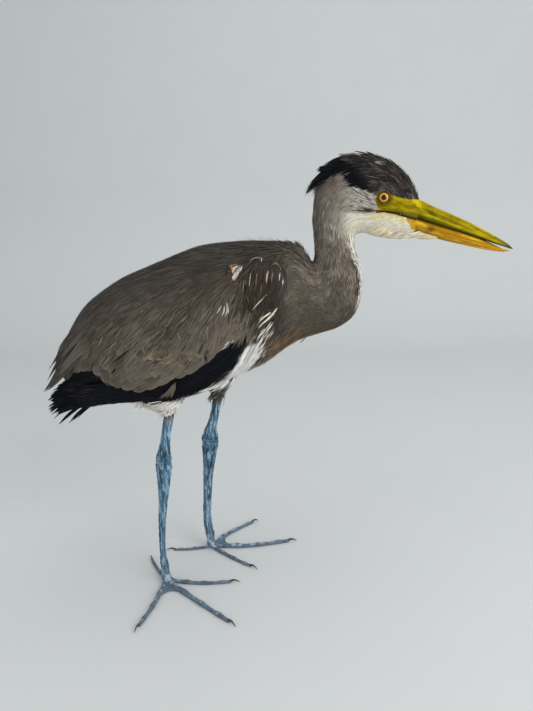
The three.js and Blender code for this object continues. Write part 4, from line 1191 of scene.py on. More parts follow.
def trace(tri, roots, length, K, wobble=0.0, seed=1, follow=0.35, turn=None):
    """Lines along the lie of the coat from each root: points, normals (n, K+1, 3)."""
    rs = np.random.RandomState(seed)
    n = len(roots)
    P = np.zeros((n, K + 1, 3))
    N = np.zeros((n, K + 1, 3))
    step = np.asarray(length, float) / K
    dev = rs.normal(0, 1, n) * wobble
    find = tree.find_nearest
    for i in range(n):
        p = roots[i]
        t = tri[i]
        nn = tri_n[t]
        D = tri_D[t]
        st = step[i]
        P[i, 0], N[i, 0] = p, nn
        dv = dev[i] + (0 if turn is None else turn[i])
        for k in range(1, K + 1):
            side = np.array([D[1] * nn[2] - D[2] * nn[1], D[2] * nn[0] - D[0] * nn[2], D[0] * nn[1] - D[1] * nn[0]])
            d = D + side * dv
            d = d - nn * (d @ nn)
            d = d / math.sqrt(d @ d + 1e-12)
            q = p + d * st
            hit = find(q)
            if hit[0] is not None and hit[3] < follow * st + 0.4:
                p = np.array(hit[0])
                t = hit[2]
                nn2 = tri_n[t]
                if nn2 @ nn > 0.2:
                    nn = nn2
                D = tri_D[t]
            else:
                p = q
                D = d
            P[i, k], N[i, k] = p, nn
    return P, N


SOFT_TURN, SOFT_ROUND = 0.30, 0.22


def clear_rear(P):
    """True for feathers that stay out of the gaps between the long rear strands."""
    tip = P[:, -1]
    eq = tip[:, 0] + 0.58 * (38 - np.abs(tip[:, 1]))
    return ~((eq < -117) & (tip[:, 2] > 216) & (tip[:, 2] < 268) & (np.abs(tip[:, 1]) > 6))


def vanes(P, N, half, prof, h0, h1, hp=1.0, cup=0.25, m=2, rough=0.0, seed=3, roll=0.0, bend=None):
    """Thin closed vanes along lines P. half: half width per vane; prof: width profile (K+1)."""
    rs = np.random.RandomState(seed)
    n, K1, _ = P.shape
    K = K1 - 1
    t = np.linspace(0, 1, K1)
    if isinstance(prof, tuple):
        # stations and widths given together
        at, prof = np.array(prof[0], float), np.array(prof[1], float)
        pos = at * K
        i0 = np.minimum(np.floor(pos).astype(int), K - 1)
        fr_ = (pos - i0)[None, :, None]
        P = P[:, i0] * (1 - fr_) + P[:, i0 + 1] * fr_
        N = unit(N[:, i0] * (1 - fr_) + N[:, i0 + 1] * fr_)
        t = at
        n, K1, _ = P.shape
        K = K1 - 1
    T = unit(np.gradient(P, axis=1))
    S = unit(np.cross(T, N))
    N2 = unit(np.cross(S, T))
    if roll:
        a_ = rs.normal(0, roll, n)[:, None, None]
        S, N2 = S * np.cos(a_) + N2 * np.sin(a_), N2 * np.cos(a_) - S * np.sin(a_)
    h = np.asarray(h0, float).reshape(-1, 1) + (np.asarray(h1, float).reshape(-1, 1) - np.asarray(h0, float).reshape(-1, 1)) * (t[None, :] ** hp)
    h = np.broadcast_to(h, (n, K1))
    w = np.asarray(half, float).reshape(-1, 1) * np.asarray(prof, float)[None, :]
    w = np.broadcast_to(w, (n, K1)).copy()
    C = P + N * h[..., None]
    if bend is not None:
        C = C + S * (bend.reshape(-1, 1) * t[None, :] ** 2)[..., None]
    xs = np.linspace(-1, 1, m + 1)
    V = np.zeros((n, K, m + 1, 3))
    jit = 1 + rs.normal(0, rough, (n, K, 2)) if rough else np.ones((n, K, 2))
    for j, xj in enumerate(xs):
        ww_ = w[:, :K] * (jit[:, :, 0] if xj < 0 else jit[:, :, 1])
        V[:, :, j] = C[:, :K] + S[:, :K] * (ww_ * xj)[..., None] - N2[:, :K] * (cup * xj * xj * w[:, :K])[..., None]
    tip = C[:, K]
    seg = np.linalg.norm(np.diff(P, axis=1), axis=2)
    arc = np.concatenate([np.zeros((n, 1)), np.cumsum(seg, 1)], 1)
    uvx = (w[:, :K, None] * xs[None, None, :])
    uvy = np.broadcast_to(arc[:, :K, None], (n, K, m + 1))
    verts = np.concatenate([V.reshape(n, -1, 3), tip[:, None, :]], 1)
    uv = np.concatenate([np.stack([uvx, uvy], -1).reshape(n, -1, 2), np.stack([np.zeros(n), arc[:, K]], -1)[:, None, :]], 1)
    # position of each vertex within the vane, for colour: across -1..1, along 0..1
    ua = np.concatenate([np.broadcast_to(xs[None, :], (K, m + 1)).reshape(-1), [0.0]])
    ul = np.concatenate([np.repeat(t[:K], m + 1), [1.0]])
    # normals that follow the body more than the single vane, so the coat shades as one soft surface
    NS = unit(N[:, :K, None, :] * (1 - SOFT_TURN) + N2[:, :K, None, :] * SOFT_TURN + S[:, :K, None, :] * (xs[None, None, :, None] * SOFT_ROUND))
    nv_ = np.concatenate([NS.reshape(n, -1, 3), unit(N[:, K] + 0 * N2[:, K])[:, None, :]], 1)
    loops, starts, totals, under = [], [], [], []

    def face(*idx, low=False):
        starts.append(len(loops))
        totals.append(len(idx))
        loops.extend(idx)
        under.extend([low] * len(idx))

    c = m + 1
    for k in range(K - 1):
        for j in range(m):
            face(k * c + j, k * c + j + 1, (k + 1) * c + j + 1, (k + 1) * c + j)
        face(k * c + m, k * c, (k + 1) * c, (k + 1) * c + m, low=True)
    tipi = K * c
    b = (K - 1) * c
    for j in range(m):
        face(b + j, b + j + 1, tipi)
    face(b + m, b, tipi, low=True)
    face(*range(m, -1, -1), low=True)
    return dict(v=verts, uv=uv, ua=ua, ul=ul, loops=np.array(loops), starts=np.array(starts), totals=np.array(totals), n=n, nv=nv_, under=np.array(under))


class Coat:
    """Collects vanes and writes them as one mesh object."""

    def __init__(self, name, mat, slot):
        self.name, self.mat, self.slot, self.b = name, mat, slot, []

    def add(self, batch, cols, root_uv, up=None):
        # cols (n, nv, 3) sRGB
        self.b.append((batch, np.clip(cols, 0, 1), root_uv))

    def tri_count(self):
        return sum(int((b["totals"] - 2).sum()) * b["n"] for b, _, _ in self.b)

    def build(self):
        V, C, L, ST, TT, UV, OB, NL = [], [], [], [], [], [], [], []
        vo = lo_ = 0
        for b, cols, ruv in self.b:
            n, nv = b["v"].shape[:2]
            if n == 0:
                continue
            V.append(b["v"].reshape(-1, 3))
            C.append(cols.reshape(-1, 3))
            off = (np.arange(n) * nv)[:, None] + vo
            L.append((b["loops"][None, :] + off).ravel())
            nl = len(b["loops"])
            ST.append((b["starts"][None, :] + (np.arange(n) * nl)[:, None] + lo_).ravel())
            TT.append(np.tile(b["totals"], n))
            UV.append(b["uv"][:, b["loops"]].reshape(-1, 2))
            sign = np.where(b["under"], -1.0, 1.0)[None, :, None]
            NL.append((b["nv"][:, b["loops"]] * sign).reshape(-1, 3))
            half = 0.0015
            loc = np.stack([b["ua"], b["ul"] * 2 - 1], -1)[b["loops"]] * half
            OB.append((ruv[:, None, :] + loc[None]).reshape(-1, 2))
            vo += n * nv
            lo_ += n * nl
        V, C, L, ST, TT, UV, OB, NL = [np.concatenate(a_) for a_ in (V, C, L, ST, TT, UV, OB, NL)]
        me = bpy.data.meshes.new(self.name)
        me.vertices.add(len(V))
        me.vertices.foreach_set("co", place(V).ravel())
        me.loops.add(len(L))
        me.loops.foreach_set("vertex_index", L.astype(np.int32))
        me.polygons.add(len(ST))
        me.polygons.foreach_set("loop_start", ST.astype(np.int32))
        me.update(calc_edges=True)
        broken = me.validate()
        me.polygons.foreach_set("use_smooth", np.ones(len(me.polygons), bool))
        if not broken and len(me.loops) == len(NL):
            me.normals_split_custom_set(NL.astype(np.float32))
        put_colour(me, C)
        ob_uv = me.uv_layers.new(name="OFBake")
        ob_uv.data.foreach_set("uv", OB.ravel())
        va = me.uv_layers.new(name="Vane")
        va.data.foreach_set("uv", UV.ravel())
        me.materials.append(self.mat)
        ob = bpy.data.objects.new(self.name, me)
        bpy.context.scene.collection.objects.link(ob)
        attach(ob, "root")
        print(self.name, "vanes", sum(b["n"] for b, _, _ in self.b), "tris", int((TT - 2).sum()))
        return ob


def jitter_uv(tri, seed):
    rs = np.random.RandomState(seed)
    return tri_uv[tri] + (rs.rand(len(tri), 2) - 0.5) * [0.004, 0.008]


def shade(batch, base, rs, var=0.05, tip=None, tip_from=0.8, edge=None, edge_from=0.7, shaft=None, root_shade=0.88):
    """Per-vertex colours of a batch from one base colour per vane. The darkening towards each vane's root is painted
    shade, where the vanes above cover it.
    """
    n = batch["n"]
    ul, ua = batch["ul"], np.abs(batch["ua"])
    g = 1 + rs.normal(0, var, (n, 1, 1))
    warm = rs.normal(0, 0.006, (n, 1, 1)) * np.array([1, 0, -1])
    c = base[:, None, :] * g + warm
    c = np.broadcast_to(c, (n, len(ul), 3)).copy()
    # painted shade: each vane darker towards its root, where the vanes above cover it
    c *= (root_shade + (1 - root_shade) * sstep(0.0, 0.45, ul))[None, :, None]
    if edge is not None:
        c = mix(c, edge[:, None, :], np.broadcast_to(sstep(edge_from, 1.0, ua) * sstep(0.2, 0.5, ul), c.shape[:2]))
    if tip is not None:
        c = mix(c, tip[:, None, :], np.broadcast_to(sstep(tip_from, 1.0, ul), c.shape[:2]))
    if shaft is not None:
        c = mix(c, shaft[:, None, :], np.broadcast_to(sstep(0.25, 0.0, ua) * sstep(1.0, 0.7, ul), c.shape[:2]))
    return c


def nearest_tri(P):
    return np.array([tree.find_nearest(Vector(p))[2] for p in P[:, 0]])


PX, PZ, PA = tri_c[:, 0], tri_c[:, 2], np.abs(tri_c[:, 1])
BARE = bare(tri_c)
EYEZONE = (np.hypot(PX - EC[0], PZ - EC[2]) < 6.6) & (PA > 6)
LEGZONE = leg_region(tri_c) > 0.2
HEADM = (PZ > 380) & (PX > 150) & (tri_s > 20.2)
coats = []

# ---- head: short, fine, lying back
rs = np.random.RandomState(11)
DF = np.minimum(line_gap(ORBIT + ORBIT[:1], PX, PZ), 60)
CAPM = in_cap(tri_c)
sp = np.interp(DF, [0, 5, 25, 60], [0.66, 0.80, 1.0, 1.15]) * np.where(CAPM, 0.96, 1.0) / math.sqrt(QUICK)
FACE_PROF = [0.55, 1.0, 0.9, 0.5, 0]
for part, (mask, name, slot_) in enumerate(((HEADM & ~CAPM, "coat_head", "head_plumage"), (HEADM & CAPM, "coat_cap", "head_plumage"))):
    tri, roots = scatter(mask & ~BARE & ~EYEZONE & ~LEGZONE, sp, 21 + part * 40)
    dist_face = np.minimum(line_gap(ORBIT + ORBIT[:1], roots[:, 0], roots[:, 2]), 40)
    if part:
        L_ = np.interp(dist_face, [0, 4, 14, 30], [3.4, 6, 11, 14])
        lift = rs.uniform(0.9, 2.3, len(roots)) * np.interp(dist_face, [0, 12], [0.4, 1])
        # some stand up off the crown, most at the back and along the brow
        ridge = np.abs(roots[:, 1]) < 12
        wild = (rs.rand(len(roots)) < np.interp(roots[:, 0], [150, 200, 225, 262], [0.22, 0.16, 0.10, 0.20])) & (roots[:, 2] > np.interp(roots[:, 0], [150, 200, 230, 262], [424, 446, 440, 414])) & ridge
        lift = np.where(wild, rs.uniform(2.2, 4.6, len(roots)), lift)
        L_ = np.where(wild, L_ * 1.25, L_)
    else:
        L_ = np.interp(dist_face, [0, 4, 14, 30], [2.6, 4.6, 7.5, 9.5])
        lift = rs.uniform(0.85, 1.35, len(roots)) * np.interp(dist_face, [0, 12], [0.4, 1])
    L_ = L_ * rs.uniform(0.8, 1.2, len(roots))
    P, N = trace(tri, roots, L_, 4, 0.10, 5)
    bt = vanes(P, N, rs.uniform(0.36, 0.60, len(roots)), FACE_PROF, 0.1, lift, 0.9, 0.2, 2)
    luck = rs.rand(len(roots), 3)
    base = mark(P[:, 2], luck)
    hc_ = Coat(name, MAT_FINE, slot_)
    hc_.add(bt, shade(bt, base, rs, 0.07 if part else 0.035, root_shade=0.96), jitter_uv(tri, 31))
    coats.append(hc_)
    print(name, len(roots))
head_coat, cap_coat = coats[-2], coats[-1]


def standing(xs, ys, L, start, rise, bend, K, spread, rs, radius=34.0, from_z=520.0):
    """Loose strands that leave the top of a form along its own line and stand a little clear of it."""
    P, N, src = [], [], []
    tt = np.linspace(0, 1, K + 1)[:, None]
    for i in range(len(xs)):
        hit = tree.ray_cast(Vector((xs[i], ys[i], from_z)), Vector((0, 0, -1)))
        if hit[0] is None:
            continue
        n0 = tri_n[hit[2]]
        if n0[2] < 0.3:
            continue
        t0 = np.array([-1.0, 0, 0]) + rs.normal(0, spread, 3) * [0.3, 1.0, 0.3]
        t0 = unit(t0 - n0 * (t0 @ n0))
        p0 = np.array(hit[0])
        P.append(p0 + n0 * (start + (rise[i] - start) * tt) + t0 * L[i] * tt - n0 * bend[i] * (L[i] * tt) ** 2 / (2 * radius))
        N.append(np.tile(unit(np.array([0, 1.0 if ys[i] >= 0 else -1.0, 0]) + 0.45 * n0), (K + 1, 1)))
        src.append(i)
    return np.array(P), np.array(N), np.array(src)


rs = np.random.RandomState(191)
# small pointed locks of four strands each
cx_ = np.concatenate([rs.uniform(238, 261, 16), rs.uniform(202, 240, 32), rs.uniform(168, 204, 40)])
cy_ = rs.uniform(-1, 1, len(cx_)) * np.interp(cx_, [166, 200, 240, 261], [9, 9, 8, 5])
cl_ = np.interp(cx_, [166, 190, 225, 240, 262], [15, 17, 14, 11, 8]) * rs.uniform(0.75, 1.25, len(cx_))
cr_ = (2.4 + 5.4 * rs.rand(len(cx_)) ** 1.5) * np.interp(cx_, [166, 205, 240, 261], [1.1, 1.0, 0.72, 0.60])
lock = np.repeat(np.arange(len(cx_)), 4)
m_ = len(lock)
P, N, src = standing(cx_[lock] + rs.normal(0, 1.0, m_), cy_[lock] + rs.normal(0, 0.9, m_), cl_[lock] * rs.uniform(0.88, 1.06, m_), 0.8, cr_[lock] + rs.normal(0, 0.15, m_),
                     np.interp(cx_, [166, 200, 240, 261], [0.35, 0.55, 0.85, 1.0])[lock], 6, 0.05, rs)
lock, xs = lock[src], cx_[lock[src]]
tips_ = np.array([P[lock == k_, -1].mean(0) if (lock == k_).any() else [0, 0, 0] for k_ in range(len(cx_))])
P += (tips_[lock] - P[:, -1])[:, None, :] * (np.linspace(0, 1, 7) ** 1.6)[None, :, None] * 0.85
bt = vanes(P, N, rs.uniform(0.40, 0.75, len(P)), [0.5, 1, 1, 1, 0.9, 0.6, 0], 0, 0, 1, 0.15, 2)
# pale locks along the crown: partly paler feathers, partly painted highlight where the top edge catches the light
cs_ = np.where((rs.rand(len(cx_))[lock] < 0.26)[:, None] & ((xs > 196) & (xs < 236))[:, None], srgb(134, 126, 118), np.where((xs < 200)[:, None], srgb(16, 17, 21), srgb(52, 48, 46)))
cap_coat.add(bt, shade(bt, cs_, rs, 0.15), jitter_uv(nearest_tri(P), 194))
# loose hair-fine strands that stand off the crown, brow and nape
rs = np.random.RandomState(91)
OFF_ = HEADM & CAPM & (PA < 13) & (tri_n[:, 2] > 0.15) & ~BARE & (DF > 3)
tri, roots = scatter(OFF_, 2.5, 92)
L_ = np.interp(roots[:, 0], [150, 190, 225, 262], [18, 16, 13, 10]) * rs.uniform(0.75, 1.25, len(roots))
P, N = trace(tri, roots, L_, 6, 0.20, 93)
bt = vanes(P, N, rs.uniform(0.30, 0.52, len(roots)), [0.6, 1, 1, 0.9, 0.7, 0.4, 0], 1.0, rs.uniform(2.2, 6.5, len(roots)) * np.interp(roots[:, 0], [150, 200, 230, 262], [1.15, 1.0, 0.7, 0.75]), 1.7, 0.2, 2)
base = mark(P[:, 2], rs.rand(len(roots), 3)) * rs.uniform(0.6, 1.0, (len(roots), 1))
cap_coat.add(bt, shade(bt, base, rs, 0.10), jitter_uv(tri, 94))

# ---- nape plumes
rs = np.random.RandomState(12)
starts, ends = [], []
reach_ = [4.0, 1.2, 3.6, 0.8, 3.0, 1.0, 3.4, 1.5]
for i in range(220):
    a_ = rs.uniform(-1, 1)
    if i < 150:
        x0 = rs.uniform(166, 198)
        k_ = min(int(8 * rs.rand() ** 1.3), 7)
        t_ = (k_ + 0.4) / 8 + rs.normal(0, 0.012)
        r_ = reach_[k_] - 1.0 + rs.normal(0, 0.5)
        ends.append([154.2 + 13 * t_ - 0.62 * r_, a_ * 7, 425.8 + 12 * t_ - 0.75 * r_ + rs.normal(0, 0.25)])
    else:
        x0 = rs.uniform(182, 206)
        k_ = rs.randint(0, 5)
        t_ = (k_ + 0.4) / 5 + rs.normal(0, 0.015)
        r_ = reach_[k_] + rs.normal(0, 0.5)
        ends.append([171.5 + 10 * t_ - 0.9 * r_, a_ * 7, 448 + 4.5 * t_ - 0.15 * r_ + rs.normal(0, 0.25)])
    starts.append([x0, a_ * 13, np.interp(x0, [166, 180, 196, 206], [440, 451.5, 457, 459]) - 0.081 * (a_ * 13) ** 2])
starts, ends = np.array(starts), np.array(ends)
tt = np.linspace(0, 1, 9)
P = starts[:, None] * (1 - tt)[None, :, None] + ends[:, None] * tt[None, :, None]
arch = (4 * tt * (1 - tt))[None, :] * np.linalg.norm(ends - starts, axis=1)[:, None] * 0.11
P[:, :, 2] += arch
P[:, :, 0] -= arch * 0.35
N = np.zeros_like(P)
N[...] = [-0.45, 0, 0.9]
N[:, :, 1] = np.where(P[:, :, 1] >= 0, 1, -1) * (0.75 + 0.45 * np.abs(P[:, :, 1]) / 13)
N = unit(N)
stray = rs.rand(len(starts)) < 0.20
P += (stray[:, None, None] * tt[None, :, None] ** 2) * rs.normal(0, 1, (len(starts), 1, 3)) * [2.6, 2.0, 2.8]
bt = vanes(P, N, np.where(stray, rs.uniform(0.35, 0.6, len(starts)), rs.uniform(0.5, 1.1, len(starts))), [0.5, 1, 1, 0.95, 0.85, 0.7, 0.5, 0.28, 0], 0.6, rs.uniform(0.0, 1.5, len(starts)), 1, 0.3, 2)
near = [tree.find_nearest(Vector(p))[2] for p in starts]
cap_coat.add(bt, shade(bt, np.tile(srgb(12, 13, 17), (len(starts), 1)), rs, 0.2, root_shade=1), jitter_uv(np.array(near), 33))

# ---- neck
rs = np.random.RandomState(13)
NECK = (tri_s > 12.2) & (tri_s <= 20.6) & (PX > 136) & ~LEGZONE
tri, roots = scatter(NECK, 1.16 / math.sqrt(QUICK), 22)
frontness = sstep(192, 204, roots[:, 0] + 0.1 * (roots[:, 2] - 350))
L_ = rs.uniform(8.5, 13, len(roots)) * (1 + 0.3 * frontness)
P, N = trace(tri, roots, L_, 4, 0.14, 6)
bt = vanes(P, N, rs.uniform(0.55, 0.95, len(roots)), [0.6, 1.0, 0.9, 0.55, 0], 0.3, rs.uniform(2.2, 3.1, len(roots)), 0.85, 0.2, 2)
base = mark(P[:, 2], rs.rand(len(roots), 3))
neck_coat = Coat("coat_neck", MAT_FINE, "neck_plumage")
neck_coat.add(bt, shade(bt, base, rs, 0.04, root_shade=0.95), jitter_uv(tri, 34))
coats.append(neck_coat)
print("neck", len(roots))

# ---- loose tufts standing over the hump, against the back of the neck
rs = np.random.RandomState(141)
xs = rs.uniform(116, 150, 260)
ys = rs.uniform(-15, 15, 260)
L_ = rs.uniform(11, 20, 260)
P, N, src = standing(xs, ys, L_, 1.0, np.interp(xs, [116, 132, 150], [3.6, 5.2, 6.0]) * rs.uniform(0.6, 1.25, 260), rs.uniform(0.2, 0.8, 260), 6, 0.16, rs, 30.0, 400.0)
bt = vanes(P, N, rs.uniform(0.35, 0.75, len(P)), [0.5, 1, 1, 0.9, 0.65, 0.35, 0], 0, 0, 1, 0.15, 2)
tuft_col = mix(np.tile(srgb(52, 47, 43), (len(P), 1)), srgb(92, 84, 75), rs.rand(len(P)))
neck_coat.add(bt, shade(bt, tuft_col, rs, 0.12), jitter_uv(nearest_tri(P), 142))

# ---- hump: shaggy feathers over the shoulders where the neck leaves
rs = np.random.RandomState(14)
HUMP = (PX > 100) & (PX < 158) & (PZ > 336) & (tri_s < 14.5) & (tri_n[:, 2] > -0.2)
tri, roots = scatter(HUMP, 1.9 / math.sqrt(QUICK), 23)
L_ = rs.uniform(15, 24, len(roots))
P, N = trace(tri, roots, L_, 5, 0.14, 7)
fr = sstep(128, 150, roots[:, 0])
bt = vanes(P, N, rs.uniform(0.6, 1.2, len(roots)), [0.55, 1.0, 1.0, 0.8, 0.45, 0], 0.8, 3.8 + rs.uniform(0, 0.9, len(roots)) + fr * rs.uniform(0, 3.0, len(roots)) * (rs.rand(len(roots)) < 0.35), 0.9, 0.15, 2)
base = mark(P[:, 2], rs.rand(len(roots), 3)) * 0.95
back_coat = Coat("coat_back", MAT_FEATHER, "back_plumage")
back_coat.add(bt, shade(bt, base, rs, 0.06, root_shade=0.95), jitter_uv(tri, 35))
coats.append(back_coat)
# loose strands that stand off the hump
tri, roots = scatter(HUMP & (PZ > 360) & (PX > 100) & (PA < 34), 3.8, 83)
L_ = rs.uniform(17, 28, len(roots))
P, N = trace(tri, roots, L_, 6, 0.22, 84)
bt = vanes(P, N, rs.uniform(0.35, 0.65, len(roots)), [0.5, 1, 1, 0.9, 0.7, 0.4, 0], 2.2, rs.uniform(4.5, 12.0, len(roots)), 1.9, 0.15, 2)
back_coat.add(bt, shade(bt, mark(P[:, 2], rs.rand(len(roots), 3)) * 0.8, rs, 0.12, root_shade=0.95), jitter_uv(tri, 85))

# ---- back and mantle: long narrow plumes, silky, one over the next
rs = np.random.RandomState(15)
wing_top = np.interp(PX, [r_[0] for r_ in WING], [r_[1] for r_ in WING])
BACK = (PX < 132) & (PZ > np.minimum(wing_top - 30, 322 + 0.25 * PX)) & (tri_s < 13) & (tri_n[:, 2] > -0.35)
tri, roots = scatter(BACK, 5.6 / math.sqrt(QUICK), 24)
L_ = np.interp(roots[:, 0], [-150, -100, 0, 100, 130], [28, 40, 56, 46, 30]) * rs.uniform(0.82, 1.15, len(roots))
P, N = trace(tri, roots, L_, 9, 0.07, 8)
ok = clear_rear(P)
P, N, roots, tri = P[ok], N[ok], roots[ok], tri[ok]
PLUME = ([0, 0.12, 0.3, 0.5, 0.68, 0.8, 0.9, 0.96, 1.0], [0.45, 0.85, 1.0, 1.0, 0.93, 0.8, 0.56, 0.32, 0])
bt = vanes(P, N, rs.uniform(3.2, 4.8, len(roots)), PLUME, 1.0, rs.uniform(3.6, 4.4, len(roots)), 0.6, 0.08, 4, 0.03, 8, 0.03)
base = mark(roots, rs.rand(len(roots), 3))
back_coat.add(bt, shade(bt, base, rs, 0.05, edge=base * 1.06, edge_from=0.8, shaft=base * 0.94, root_shade=0.95), jitter_uv(tri, 36))
print("back", len(roots))
# loose silky barbs that blur one plume into the next, over back and wings
silk_coat = Coat("coat_silk", MAT_FEATHER, "back_plumage")
coats.append(silk_coat)
for name, M, gap, seed in (("coat_silk", BACK, 2.35, 25), ("coat_silk_side", (PX < 114) & (PX > -138) & (PZ > covert_z(PX) + 5) & (PA > 30) & (tri_s < 13) & ~BACK, 2.5, 29)):
    sc_ = silk_coat if name == "coat_silk" else Coat(name, MAT_FEATHER, "wing_plumage")
    if sc_ is not silk_coat:
        coats.append(sc_)
    tri, roots = scatter(M, gap / math.sqrt(QUICK), seed)
    L_ = rs.uniform(13, 26, len(roots))
    if sc_ is not silk_coat:
        room = (roots[:, 2] - covert_z(roots[:, 0])) / np.maximum(np.sin(np.radians(lie_angle(roots[:, 0], roots[:, 2]))), 0.35)
        L_ = np.clip(L_, 3, np.maximum(room - 1, 3))
        # they thin out low on the wing, where the broad feathers show
        up_ = roots[:, 2] - covert_z(roots[:, 0])
        ok = rs.rand(len(roots)) < np.interp(up_, [6, 22, 62, 100], [0.10, 0.22, 0.55, 0.9])
        tri, roots, L_ = tri[ok], roots[ok], L_[ok]
    P, N = trace(tri, roots, L_, 5, 0.10, 9)
    ok = clear_rear(P)
    P, N, roots, tri = P[ok], N[ok], roots[ok], tri[ok]
    h1_ = rs.uniform(4.6, 5.4, len(roots))
    bt = vanes(P, N, rs.uniform(0.34, 0.80, len(roots)), [0.5, 1, 0.95, 0.8, 0.45, 0], 3.6, h1_, 0.6, 0.12, 2)
    luck = rs.rand(len(roots), 3)
    if sc_ is not silk_coat:
        luck[:, 0] = 0.5 + (luck[:, 0] - 0.5) * 0.70
    base = mark(P[:, 2], luck) * rs.uniform(0.93, 1.09, (len(roots), 1))
    sc_.add(bt, shade(bt, base, rs, 0.025, root_shade=0.98), jitter_uv(tri, 37))
    print(name, len(roots))

# ---- wing coverts: rounded feathers in overlapping rows, pale rims low on the wing
WINGM = (PA > 30) & (PX < 128) & (PX > -140) & (PZ > covert_z(PX) + 2) & (tri_s < 14) & (np.abs(tri_n[:, 1]) > 0.35)
ROUND = ([0, 0.10, 0.28, 0.48, 0.66, 0.80, 0.90, 0.965, 1.0], [0.45, 0.8, 0.98, 1.0, 0.98, 0.9, 0.70, 0.42, 0])
wing_coats = {}
for side, nm in ((-1, "right"), (1, "left")):
    rs = np.random.RandomState(16 + (side > 0))
    M = WINGM & (np.sign(tri_c[:, 1]) == side)
    below = PZ - covert_z(PX)
    sp = np.interp(below, [0, 25, 60, 100], [8.0, 7.4, 6.4, 5.4]) * np.interp(PX, [60, 125], [1, 0.72]) / math.sqrt(QUICK)
    tri, roots = scatter(M & (below > 14), sp, 26 + side)
    bl = roots[:, 2] - covert_z(roots[:, 0])
    L_ = np.interp(bl, [10, 30, 60, 100], [24, 30, 32, 30]) * np.interp(roots[:, 0], [60, 125], [1, 0.62]) * rs.uniform(0.85, 1.12, len(roots))
    # none may hang below the edge of the coverts
    room = bl / np.maximum(np.sin(np.radians(lie_angle(roots[:, 0], roots[:, 2]))), 0.35)
    L_ = np.minimum(L_, room + 1.0)
    P, N = trace(tri, roots, L_, 7, 0.07, 10)
    ok = clear_rear(P)
    P, N, roots, tri, bl = P[ok], N[ok], roots[ok], tri[ok], bl[ok]
    half = np.interp(bl, [10, 60, 100], [8.6, 6.8, 5.0]) * np.interp(roots[:, 0], [60, 125], [1, 0.66]) * rs.uniform(0.88, 1.12, len(roots))
    bt = vanes(P, N, half, ROUND, 0.9, rs.uniform(3.4, 4.0, len(roots)), 0.6, 0.06, 4, 0.02, 9, 0.02)
    base = mark(roots, rs.rand(len(roots), 3))
    pale = mix(base, srgb(132, 118, 100), np.interp(bl, [0, 30, 60], [0.40, 0.25, 0.08]) * rs.uniform(0.0, 1, len(roots)))
    wc = Coat("coat_wing_" + nm, MAT_FEATHER, "wing_plumage")
    wc.add(bt, shade(bt, base, rs, 0.055, tip=pale, tip_from=0.80, edge=mix(base, pale, np.full(len(base), 0.3)), edge_from=0.82, shaft=base * 0.95, root_shade=0.95), jitter_uv(tri, 38))
    wing_coats[side] = wc
    coats.append(wc)
    print("wing", nm, len(roots))


def side_path(side, pts, K, out=2.0, minslope=0.35):
    """A line given in side view, laid on the outermost surface of that side; returns points and normals."""
    pts = np.array(pts, float)
    d = np.concatenate([[0], np.cumsum(np.hypot(*np.diff(pts[:, [0, -1]], axis=0).T))])
    t = np.linspace(0, d[-1], K + 1)
    xs, zs = np.interp(t, d, pts[:, 0]), np.interp(t, d, pts[:, -1])
    if len(pts) > 2:
        k_ = np.array([0.25, 0.5, 0.25])
        for _ in range(2):
            xs[1:-1] = np.convolve(xs, k_, "valid")
            zs[1:-1] = np.convolve(zs, k_, "valid")
    P, N = [], []
    y_prev = None
    n_prev = np.array([0, side, 0.0])
    for x_, z_ in zip(xs, zs):
        hit = tree.ray_cast(Vector((x_, side * 120.0, z_)), Vector((0, -side, 0)))
        y_ = None if hit[0] is None else abs(hit[0].y)
        nn = n_prev if hit[0] is None else tri_n[hit[2]]
        if y_ is not None and nn @ np.array([0, side, 0]) < 0.25:
            nn = n_prev
        st = 0 if not P else np.hypot(x_ - P[-1][0], z_ - P[-1][2])
        if y_prev is not None:
            floor_y = y_prev - minslope * st
            y_ = floor_y if y_ is None else max(y_, floor_y)
        if y_ is None:
            y_ = 30.0
        y_prev = y_
        n_prev = nn
        P.append([x_, side * y_, z_])
        N.append(unit(nn * 0.6 + np.array([0, side * 0.4, 0])))
    P, N = np.array(P), np.array(N)
    P[:, 1] += side * out
    return P, N


def lay(side, lines, K, out, minslope=0.35):
    Ps, Ns = [], []
    for i, ln in enumerate(lines):
        o_ = out[i] if np.ndim(out) else out
        p_, n_ = side_path(side, ln, K, o_, minslope)
        Ps.append(p_)
        Ns.append(n_)
    return np.array(Ps), np.array(Ns)


SLIM = [0.4, 0.9, 1, 0.95, 0.8, 0.5, 0]


